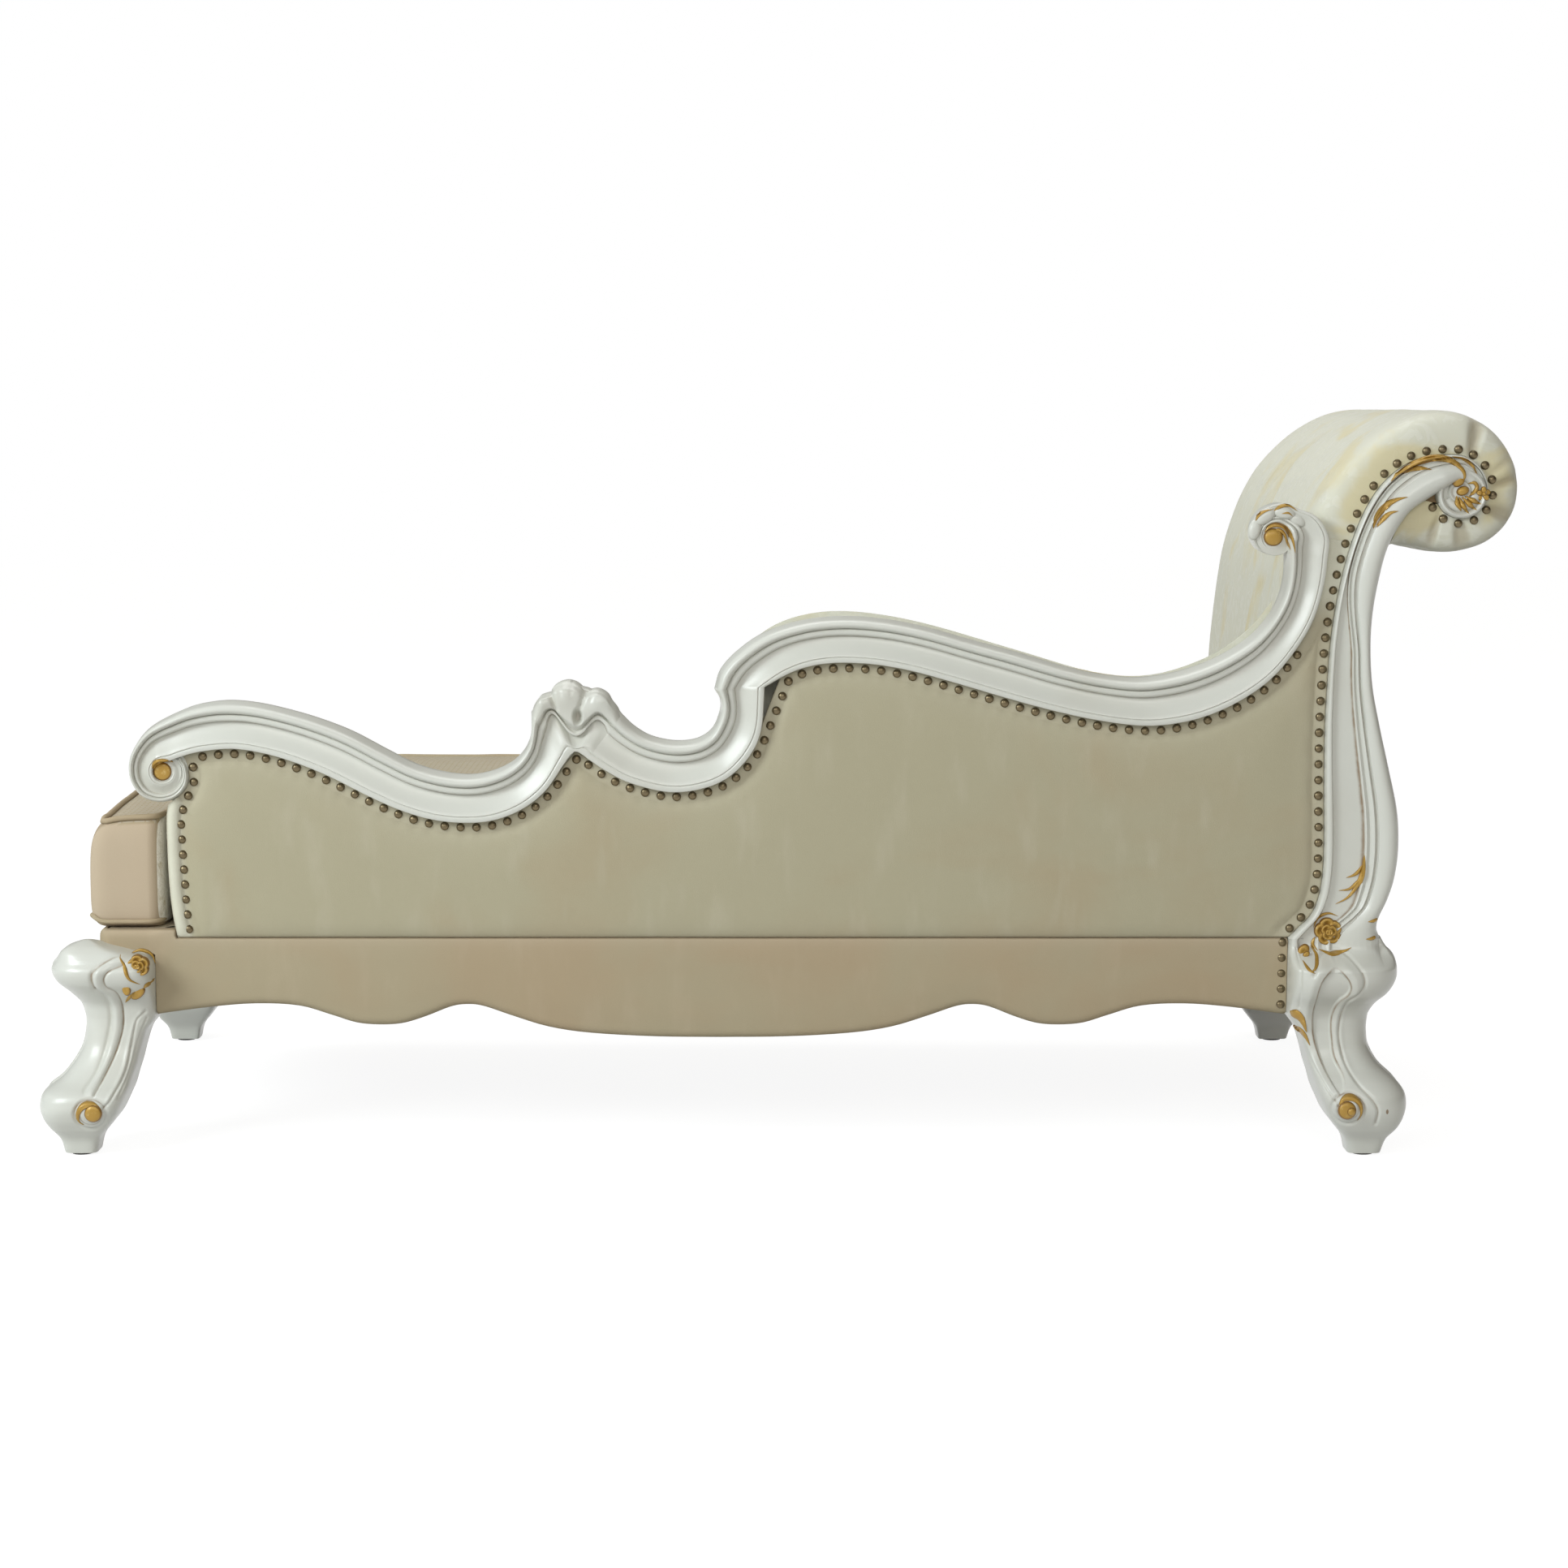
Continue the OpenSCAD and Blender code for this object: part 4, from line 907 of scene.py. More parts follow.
@dataclass(frozen=True)
class Damask(Finish):
    """Cream damask with faint woven leaves and yellow clouds."""

    cream: Colour = (0.63, 0.625, 0.52, 1)
    figure: Colour = (0.72, 0.72, 0.645, 1)
    yellow: Colour = (0.63, 0.57, 0.36, 1)
    # Dark for the painted shade in the folds.
    fold_shade: Colour = (0.36, 0.30, 0.19, 1)

    def draw(self, g: Graph) -> None:
        """Adds the woven figure, clouds, painted warm light and painted shade in the folds.

        Args:
            g: the graph.
        """
        wander = g.node("ShaderNodeTexNoise", {}, {"Vector": g.place, "Scale": 9.0, "Detail": 3.0})
        bent = g.node("ShaderNodeVectorMath", {"operation": "MULTIPLY_ADD"},
                      {0: wander.outputs["Color"], 1: (0.16, 0.16, 0.16), 2: g.place})
        cells = g.node("ShaderNodeTexVoronoi", {"feature": "SMOOTH_F1"},
                       {"Vector": bent.outputs[0], "Scale": 16.0, "Smoothness": 0.25})
        leaves = Value(g, cells.outputs["Distance"]).between(0.38, 0.47)
        stem = g.noise(34, 2, swirl=1.8).between(0.5, 0.56)
        clouds = g.noise(8, 4, swirl=0.9)
        thread = g.waves("Z", 420) * 0.5 + g.noise(1500, 1) * 0.5
        figure = leaves * stem
        colour = g.mix(self.cream, self.figure, figure * 0.3)
        # The warm mark is painted warm light: it pushes the yellow clouds up along the roll's rounded edges.
        colour = g.mix(colour, self.yellow, (clouds + g.mark("warm") * 0.16).between(0.52, 0.70) * 0.9)
        # Painted shade in the folds.
        colour = g.mix(colour, self.fold_shade, g.mark("seam"))
        g.dress(colour, 0.72 - figure * 0.22, thread * 0.35 + figure * 0.4, 0.0003, Sheen_Weight=0.2,
                Sheen_Roughness=0.4, Specular_IOR_Level=0.3)


@dataclass(frozen=True)
class PlainTimber(Finish):
    """Sawn hardwood with its grain along the piece."""

    wood: Colour = (0.55, 0.38, 0.21, 1)
    grain: Colour = (0.33, 0.19, 0.09, 1)

    def draw(self, g: Graph) -> None:
        """Adds grain and pores.

        Args:
            g: the graph.
        """
        lines = g.noise(14, 4, (0.25, 1, 4), 1.2)
        pores = g.noise(300, 2, (0.06, 1, 1))
        colour = g.mix(self.wood, self.grain, lines.between(0.42, 0.66) * 0.6 + pores.between(0.6, 0.8) * 0.3)
        g.dress(colour, 0.68 + pores * 0.15, pores * 0.5 + lines * 0.5, 0.0004)


@dataclass(frozen=True)
class Metal(Finish):
    """Plain metal with fine scratches."""

    colour: Colour = (0.45, 0.45, 0.46, 1)
    rough: float = 0.35

    def draw(self, g: Graph) -> None:
        """Adds scratches and dull spots.

        Args:
            g: the graph.
        """
        spots = g.noise(120, 3)
        scratch = g.noise(900, 2, (0.1, 1, 1))
        colour = g.mix(self.colour, (0.0612, 0.0482, 0.0343, 1), spots.between(0.58, 0.8) * 0.5)
        g.dress(colour, self.rough + spots * 0.2, scratch, 0.0001, Metallic=1.0)


@dataclass(frozen=True)
class Woven(Finish):
    """Plain woven cloth or webbing with visible threads."""

    thread: Colour = (0.50, 0.39, 0.23, 1)
    gap: Colour = (0.22, 0.16, 0.09, 1)
    count: float = 60.0

    def draw(self, g: Graph) -> None:
        """Adds threads both ways and slubs.

        Args:
            g: the graph.
        """
        x, y, z = (g.waves(axis, self.count, 0.6) for axis in "XYZ")
        over = x * y + z * 0.3
        slubs = g.noise(90, 3, (1, 0.3, 1))
        colour = g.mix(self.gap, self.thread, (over * 0.9 + slubs * 0.5).between(0.1, 0.8))
        g.dress(colour, 0.95, over, 0.0006, Sheen_Weight=0.1)


@dataclass(frozen=True)
class Wadding(Finish):
    """Loose cotton wadding."""

    colour: Colour = (0.78, 0.75, 0.67, 1)

    def draw(self, g: Graph) -> None:
        """Adds tufts and flecks.

        Args:
            g: the graph.
        """
        tufts = g.noise(45, 5, swirl=1.0)
        flecks = g.noise(400, 2)
        shade = (1 - tufts).between(0.45, 0.75) + flecks * 0.1
        colour = g.mix(self.colour, (0.5149, 0.4452, 0.305, 1), shade)
        g.dress(colour, 1, tufts + flecks * 0.3, 0.003, Sheen_Weight=0.2)


@dataclass(frozen=True)
class Moulded(Finish):
    """Dull nylon or wound board."""

    colour: Colour = (0.05, 0.045, 0.04, 1)
    rough: float = 0.55

    def draw(self, g: Graph) -> None:
        """Adds a fine grain.

        Args:
            g: the graph.
        """
        grain = g.noise(350, 3)
        colour = g.mix(self.colour, (0.1878, 0.117, 0.0545, 1), grain.between(0.55, 0.9) * 0.25)
        g.dress(colour, self.rough + grain * 0.1, grain, 0.0002)


class Finishes(Enum):
    """The finishes of the couch."""

    PAINT = PearlPaint("pearl_paint", "painted_wood")
    GILT = Gilding("gilding", "gilt")
    BRASS = AgedBrass("aged_brass", "antique_brass")
    VELVET = Velvet("side_velvet", "velvet")
    SEAT = DashCloth("dash_velvet", "seat_velvet")
    DAMASK = Damask("cream_damask", "damask")
    TIMBER = PlainTimber("sawn_hardwood", "frame_wood")
    SPRING = Metal("oiled_spring_wire", "spring_steel", (0.36, 0.36, 0.37, 1), 0.38)
    BOLT = Metal("zinc_bolts", "bolt_steel", (0.62, 0.62, 0.60, 1), 0.3)
    HESSIAN = Woven("jute_hessian", "hessian")
    WADDING = Wadding("cotton_wadding", "wadding")
    CAMBRIC = Woven("black_cambric", "dust_black", (0.035, 0.035, 0.037, 1), (0.01, 0.01, 0.01, 1), 160)
    BOARD = Moulded("wound_board", "tube_board", (0.42, 0.31, 0.19, 1), 0.7)
    GLIDE = Moulded("nylon_glide", "glide")


def hand_in(shape: Shape, name: str, finish: Finishes, body: str = "frame", nodes: Sequence[str] = (),
            flat_over: float | None = 50,
            hollows: float = 0.0) -> bpy.types.Object:
    """Builds a piece, hangs it under its body and hides the CAD nodes it replaces.

    Args:
        shape: its mesh.
        name: its name.
        finish: its finish.
        body: what carries it.
        nodes: the CAD nodes it replaces.
        flat_over: the angle over which edges stay sharp.
        hollows: how strongly its hollows are darkened, as painted shade and antiquing.

    Returns:
        The object.
    """
    obj = shape.build(name, finish.value, flat_over, hollows)
    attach(obj, body)
    if nodes:
        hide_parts(*nodes)
    LOG.info("%s: %d points", name, len(obj.data.vertices))
    return obj


# Outlines and planes


@dataclass(frozen=True)
class Lines:
    """Outlines and planes of the couch, in millimetres."""

    face_y: float = 380.0
    board_y: float = 367.7
    frame_y: float = 345.7
    lining_y: float = 343.9
    pad_y: float = 302.6
    foot_x: float = -948.0
    head_x: float = 841.0
    foot_leg_x: float = -867.7
    head_leg_x: float = 711.7
    leg_y: float = 299.7
    relief: float = 22.0
    base_top: float = 300.0
    deck_top: float = 312.0
    cover: float = 12.0
    foot_eye: tuple = (-850, 534)
    curl_eye: tuple = (683.5, 858.7)
    post_eye: tuple = (935, 920)
    volute: tuple = ((38, 31), (8, 33), (-27, 37), (-62, 40), (-97, 43), (-132, 46), (-167, 47),
                     (-200, 49), (-232, 54), (-258, 64))
    wave: tuple = (
        (-829, 614, -841, 549), (-800, 624, -824, 555), (-762, 629, -797, 562), (-722, 626, -752, 566),
        (-680, 617, -706, 559), (-636, 604, -661, 545), (-590, 586, -618, 527), (-541, 560, -565, 500),
        (-501, 540, -520, 480), (-461, 529, -475, 467), (-422, 526, -430, 463), (-387, 534, -391, 467),
        (-359, 551, -353, 482), (-342, 578, -321, 507), (-339, 614, -294, 545))
    seat: tuple = ((-336, 618, -291, 549), (-318, 636, -283, 558), (-290, 648, -279, 562),
                   (-262, 646, -275, 562), (-236, 630, -270, 558), (-220, 614, -264, 554))
    neck: tuple = (
        (-217, 610, -262, 552), (-200, 594, -238, 536), (-176, 580, -205, 519), (-143, 573, -152, 506),
        (-112, 576, -106, 510), (-90, 590, -68, 526), (-79, 614, -38, 556), (-78, 633, -22, 592),
        (-85, 648, -17, 652))
    hump: tuple = (
        (-85, 648, -17, 652), (-76, 674, 4, 664), (-52, 700, 22, 673), (-14, 725, 44, 680),
        (38, 741, 68, 684), (92, 746, 98, 685), (148, 742, 140, 682), (205, 731, 188, 673),
        (265, 714, 246, 657), (328, 697, 310, 638), (392, 678, 376, 620), (446, 666, 440, 606),
        (498, 661, 506, 598), (545, 667, 560, 603), (588, 680, 606, 617), (625, 698, 650, 640),
        (655, 719, 684, 667), (678, 745, 711, 700), (692, 771, 732, 734), (699, 796, 744, 766),
        (701, 822, 751, 798))
    curl: tuple = ((-25, 78), (0, 72), (25, 62), (50, 49), (80, 46), (112, 41), (145, 36), (180, 32),
                   (215, 29), (250, 26))
    rising: tuple = (
        (690, 301, 712, 300, 838, 300), (690, 314, 728, 316, 834, 314), (690, 333, 744, 333, 838, 332),
        (691, 358, 754, 358, 849, 357), (692, 390, 759, 391, 858, 388), (692, 430, 760, 431, 862, 428),
        (692, 482, 759, 482, 859, 478), (692, 540, 758, 540, 846, 538), (693, 600, 758, 600, 832, 598),
        (695, 655, 760, 655, 821, 652), (700, 710, 763, 710, 817, 706), (706, 762, 769, 760, 819, 752),
        (714, 812, 778, 808, 826, 796), (727, 858, 790, 852, 836, 838), (745, 903, 806, 893, 850, 868),
        (772, 947, 826, 926, 868, 893), (815, 990, 851, 950, 890, 909), (860, 1018, 880, 965, 909, 921))
    turning: tuple = (
        (112, 54, 902, 1030), (84, 48, 944, 1027), (55, 43, 985, 1005), (27, 40, 1013, 968),
        (0, 39, 1023, 928), (-30, 38, 1015, 884), (-60, 37, 985, 851), (-92, 36, 945, 836),
        (-122, 35, 908, 835), (-150, 34, 882, 841))
    tuck: tuple = ((866, 844, 886, 908), (850, 845, 870, 896), (840, 842, 852, 872))
    foot_edge: tuple = ((-835, 296), (-841, 325), (-845, 358), (-847, 392), (-848, 430), (-848, 468),
                        (-846, 486))
    beside: int = 13
    scallop_mid: float = -80.0
    half_scallop: tuple = (
        (0, 157), (90, 158), (180, 163), (240, 172), (292, 188), (330, 201), (352, 204), (376, 201),
        (412, 187), (445, 177), (478, 175), (510, 178), (545, 189), (590, 202), (650, 205), (715, 200),
        (791, 190))
    half_end: tuple = ((0, 160), (70, 163), (120, 174), (160, 192), (185, 200), (212, 192), (240, 190),
                       (265, 200), (299, 214))

    def low_run(self, steps: int) -> Array:
        """Gives the rail's stations from the foot volute to the crest."""
        start = [polar(self.foot_eye, r, a) + polar(self.foot_eye, 14, a) for a, r in self.volute]
        return smooth(start + list(self.wave), steps)

    def neck_run(self, steps: int) -> Array:
        """Gives the rail's stations from the crest to the hump."""
        return smooth(self.neck, steps)

    def hump_run(self, steps: int) -> Array:
        """Gives the rail's stations over the hump into the scroll at the head."""
        end = [polar(self.curl_eye, 18, a) + polar(self.curl_eye, r, a) for a, r in self.curl]
        return smooth(list(self.hump) + end, steps)

    def head_run(self, steps: int) -> Array:
        """Gives the head's stations: the fabric's contour and the post's two edges."""
        end = [(cx, cz) + polar(self.post_eye, r, a) + polar(self.post_eye, 14, a)
               for a, r, cx, cz in self.turning]
        return smooth(list(self.rising) + end, steps)

    def side_edges(self, bottom: float, off: float, steps: int = 6) -> tuple[Array, Array, Array]:
        """Gives the outline of the carved side's cover.

        Args:
            bottom: the height of its lower edge.
            off: its gap to the timber.
            steps: how finely the runs are drawn.

        Returns:
            Its edges up the foot, under the rail and down the post.
        """
        low, neck, top, head = (f(steps) for f in (self.low_run, self.neck_run, self.hump_run, self.head_run))

        def inner(run: Array) -> Array:
            """Moves a run's inner edge away from the timber."""
            return run[:, 2:] + off * unit(run[:, 2:] - run[:, :2])

        under = low[:3 * steps + 1][::-1, :2]
        under = under + off * unit(under - self.foot_eye)
        last = self.beside * steps
        edge = head[:last + 1, 2:4] + off * unit(head[:last + 1, 2:4] - head[:last + 1, 4:])
        end = head[last, :2] + (head[last, 2:4] - head[last, :2]) * 0.12
        post = np.vstack([[end], edge[::-1]])
        foot = smooth(self.foot_edge, steps)
        foot = np.vstack([[foot[0, 0] - 1, bottom], foot[foot[:, 1] > bottom + 1]])
        rail = np.vstack([under, inner(low[10 * steps:]), [[-279, 562 - off]], inner(neck[:-2 * steps]),
                          inner(top[steps:23 * steps])])
        return foot, rail, np.vstack([post, [[post[-1, 0], bottom]]])

    def long_scallop(self) -> Array:
        """Draws the lower edge of a long side.

        Returns:
            Its points, from the foot leg to the head leg.
        """
        half = smooth(self.half_scallop, 4)
        run = np.vstack([(half[1:] * (-1, 1))[::-1], half]) + (self.scallop_mid, 0)
        run[:, 0] = np.clip(run[:, 0], self.foot_leg_x, self.head_leg_x)
        return run

    def end_scallop(self) -> Array:
        """Gives the lower edge of an end, across the depth."""
        half = smooth(self.half_end, 4)
        return np.vstack([(half[1:] * (-1, 1))[::-1], half])


LINES = Lines()


# Carved timber


@dataclass
class CarvedRail:
    """The carved rail of the side, with its volutes, crest and gilt eyes."""

    steps: int = 9
    full_width: float = 48.0
    crest_flat: float = 0.12
    moulding: tuple = (
        (0, 0.08), (0.008, 0.36), (0.025, 0.62), (0.05, 0.82), (0.085, 0.95), (0.125, 1), (0.16, 0.97),
        (0.19, 0.87), (0.21, 0.72), (0.222, 0.54), (0.232, 0.56), (0.242, 0.645), (0.262, 0.67),
        (0.31, 0.66), (0.345, 0.64), (0.362, 0.56), (0.378, 0.34), (0.392, 0.235), (0.41, 0.235),
        (0.46, 0.265), (0.53, 0.33), (0.61, 0.44), (0.69, 0.56), (0.76, 0.68), (0.82, 0.77), (0.848, 0.79),
        (0.86, 0.76), (0.868, 0.72), (0.878, 0.73), (0.888, 0.765), (0.91, 0.775), (0.95, 0.765),
        (0.985, 0.72), (1, 0.55))
    crest: tuple = (
        (-339, 614, -328.8, 598.4, -321.7, 587.4, -294, 545),
        (-337, 623, -324, 605, -318.5, 597, -291.5, 548.5), (-333, 631, -321, 612, -316.5, 606, -289, 552),
        (-327, 638, -317, 618, -314, 612, -286.5, 555), (-319, 641, -311.5, 620, -310, 614, -284.5, 557.5),
        (-313, 643, -306, 617.5, -305, 610, -283, 559), (-310, 650, -300, 610, -300, 603.5, -282, 560),
        (-302, 656, -294.5, 602.5, -295, 597, -281, 561),
        (-292, 659, -289, 595.5, -289.5, 589.5, -280, 561.7),
        (-283, 658, -283.5, 591, -284, 585.5, -279, 562), (-275, 654, -278, 589, -278, 583.5, -278, 562),
        (-268, 647.5, -272, 591, -272, 585, -276.5, 561.9),
        (-264, 643, -266, 596.5, -266, 589.5, -275, 561.4),
        (-258, 646, -260, 603, -260.5, 596.5, -273, 560.4),
        (-250, 647.5, -254, 609.5, -254.5, 602.5, -271, 559),
        (-242, 645, -248, 613, -248.5, 605.5, -269, 557.5), (-234, 639, -242, 611, -243, 603.5, -267, 556),
        (-229, 630, -236, 606, -238.5, 598.5, -265, 554.6),
        (-222, 621, -230.5, 600.5, -236, 592.5, -263.5, 553.3),
        (-217, 610, -227.2, 596.9, -234.3, 587.7, -262, 552))
    brown_lines: tuple = ((0.226, 0.010, 0.38), (0.392, 0.013, 0.62), (0.868, 0.010, 0.3))
    timber: Shape = field(default_factory=Shape)
    gilt: Shape = field(default_factory=Shape)

    def rings(self, run: Array, share: Array) -> tuple[Array, Array]:
        """Draws the moulding over stations.

        Args:
            run: its stations.
            share: their share of the relief.

        Returns:
            The rings, and the antiquing painted on them.
        """
        m = np.array(self.moulding)
        t, rise = m[:, 0], m[:, 1]
        a, b = run[:, None, :2], run[:, None, 2:]
        face = a + (b - a) * t[None, :, None]
        relief = LINES.relief * share * np.minimum(1, np.linalg.norm(run[:, 2:] - run[:, :2], axis=1)
                                                        / self.full_width)
        y = -LINES.face_y - relief[:, None] * rise[None]
        front = np.stack([face[..., 0], y, face[..., 1]], -1)
        back = []
        for share_in, depth in ((1.0, LINES.frame_y + 0.2), (0.5, LINES.frame_y), (0.05, LINES.frame_y),
                                (0.0, LINES.frame_y + 6), (-0.035, 360), (-0.03, LINES.face_y - 6)):
            p = run[:, :2] + (run[:, 2:] - run[:, :2]) * share_in
            back.append(np.column_stack([p[:, 0], np.full(len(p), -depth), p[:, 1]]))
        rings = np.concatenate([front, np.stack(back, 1)], 1)
        brown = sum(k * hump(t - c, w) for c, w, k in self.brown_lines)
        marks = np.zeros(rings.shape[:2])
        marks[:, :len(t)] = brown[None] * np.clip(share, 0, 1)[:, None]
        return rings, marks

    def make_rail(self) -> None:
        """Carves the rail from the foot volute to the scroll at the head."""
        n = self.steps
        low, neck, top = (f(n) for f in (LINES.low_run, LINES.neck_run, LINES.hump_run))
        seat = smooth(LINES.seat, 3)
        parts = [(low, 1), (seat, self.crest_flat), (neck, 1), (top[1:], 1)]
        drawn = [self.rings(run, np.full(len(run), share)) for run, share in parts]
        rings = np.concatenate([d[0] for d in drawn])
        marks = np.concatenate([d[1] for d in drawn])
        swell = lumps(rings.reshape(-1, 3), 60, 3).reshape(rings.shape[:2]) * 0.35
        rings[:, :len(self.moulding), 1] += swell[:, :len(self.moulding)]
        self.timber.loft(rings, brown=marks)

    def make_crest(self) -> None:
        """Carves the crest: three lobes and a hollow above the rail's lines."""
        run = smooth(self.crest, 5)
        n = len(run)
        ends = 0.226
        m = np.array([(s * ends, 0) for s in np.linspace(0, 1, 32)[:-1]]
                     + [row for row in self.moulding if row[0] > 0.225])
        share, top_share = m[:, 0], m[:, 0] / ends
        m[:, 1] = np.interp(share, *np.array(self.moulding).T)
        knots = [0, ends, 0.385, 1]
        x, z = (np.array([np.interp(share, knots, s[i::2]) for s in run]) for i in (0, 1))
        flat = np.stack([x, z], -1).reshape(-1, 2)
        dome = (0.30 + 0.62 * ramp(0, 0.16, top_share) + 0.10 * np.sin(np.clip(top_share, 0, 1) * math.pi)
                - 0.48 * ramp(0.80, 1, top_share))
        run_in = ramp(0, 0.16, np.linspace(0, 1, n)) * ramp(0, 0.12, np.linspace(1, 0, n))
        top = (top_share < 1)[None] * run_in[:, None]
        rise = LINES.relief * (m[None, :, 1] * (1 - top) + dome[None] * top)
        carved = np.zeros(len(flat))
        for middle, r in (((-325, 629), 12), ((-291, 641), 17), ((-248, 629), 16)):
            carved += 4.6 * hump(np.linalg.norm(flat - middle, axis=1), r)
        for line in (((-312, 646), (-308, 632), (-306, 622)), ((-265, 648), (-268, 636), (-272, 624))):
            carved -= 5 * hump(near(flat, smooth(line, 4))[0], 3.2)
        for line in (((-302, 655), (-298, 642)), ((-284, 655), (-284, 643)), ((-252, 645), (-257, 634))):
            carved -= 0.9 * hump(near(flat, np.array(line, float))[0], 3)
        pit = 1 - ramp(0.25, 1.3, np.linalg.norm((flat - (-275, 611)) / (6.5, 11), axis=1))
        carved = (carved - 15 * pit).reshape(x.shape) * top * (1 - ramp(0.82, 1, top_share))
        y = -LINES.face_y - rise - carved
        y += 0.35 * lumps(np.stack([x, y, z], -1).reshape(-1, 3), 60, 3).reshape(y.shape)
        back = [np.column_stack([run[:, a], np.full(n, -LINES.frame_y - 2), run[:, a + 1]]) for a in (6, 0)]
        brown = sum(w * hump(share - c, e) for c, e, w in self.brown_lines[:2])
        brown = brown + 0.45 * pit.reshape(x.shape) * top
        crest = Shape()
        crest.loft(np.concatenate([np.stack([x, y, z], -1), np.stack(back, 1)], 1),
                   brown=np.pad(brown, ((0, 0), (0, 2))))
        hand_in(crest, "carved_crest", Finishes.PAINT, nodes=["rail_crest"], hollows=0.55)

    def make_eyes(self) -> None:
        """Adds the gilt eyes of the two scrolls."""
        ex, ez = LINES.foot_eye
        for eye, r, wide in ((LINES.foot_eye, 25, 34), (LINES.curl_eye, 26, 26.5)):
            boss = ((r, LINES.frame_y + 0.9), (r, 384), (0.62 * r, 384.4), (0.55 * r, 385.6), (0.3 * r, 386),
                    (0.01 * r, 386))
            filling = ((wide, LINES.frame_y + 1.8), (wide, 381.5), (0.01 * wide, 381.5))
            for rows in (boss, filling):
                self.timber.turned([eye] * len(rows), rows, 40)
        ground = Ground(self.timber)
        petal(self.gilt, ground, (ex - 1, ez), (13, 13), 0, 3.2)
        leaf(self.gilt, ground, np.add([(-13, 3), (-10, 11), (-2, 15.5), (7, 16), (14, 13)], LINES.foot_eye),
             8.5, 4.6, 0.3, 0.6)
        cx, cz = LINES.curl_eye
        petal(self.gilt, ground, (cx - 3, cz - 1), (13.5, 12.5), 0, 5)
        for line, width, end in (
                ([(-15, 6), (-9, 13), (1, 16), (12, 12), (19, 2), (23, -12), (25, -22)], 7.5, 0.75),
                ([(-6, 7), (4, 9), (12, 3), (16, -8), (19, -18)], 5.5, 0.7)):
            leaf(self.gilt, ground, np.add(line, LINES.curl_eye), width, 4.5, 0.3, end)

    def make_leaves(self) -> None:
        """Adds the leaf lobes on the scroll at the head, with their gilt edges."""
        ground = Ground(self.timber)
        lobes = Shape()
        lay(lobes, ground, (((669, 886), (18, 10), 34, 9), ((695, 891), (17, 10), -10, 9),
                            ((713, 881), (9, 13), 60, 6), ((655, 868), (9, 15), -14, 6)))
        self.timber.add(lobes.all_points(), lobes.faces)
        lay(self.gilt, Ground(self.timber), (
            ([(655, 880), (660, 889), (669, 894), (679, 896)], 4.4, 3, 0.3, 0.6),
            ([(680, 894), (689, 900), (700, 901), (712, 894)], 5, 3.2, 0.3, 0.5),
            ([(690, 890), (699, 891), (706, 886)], 3, 2.2, 0.4, 0.5)))

    def build(self) -> None:
        """Makes the rail, crest and gilt eyes."""
        self.make_rail()
        self.make_eyes()
        self.make_leaves()
        self.make_crest()
        hand_in(self.timber, "carved_side_rail", Finishes.PAINT, nodes=["carved_top_rail"], hollows=0.4)
        hand_in(self.gilt, "gilt_scroll_eyes", Finishes.GILT, nodes=["scroll_buttons"], hollows=1.0)


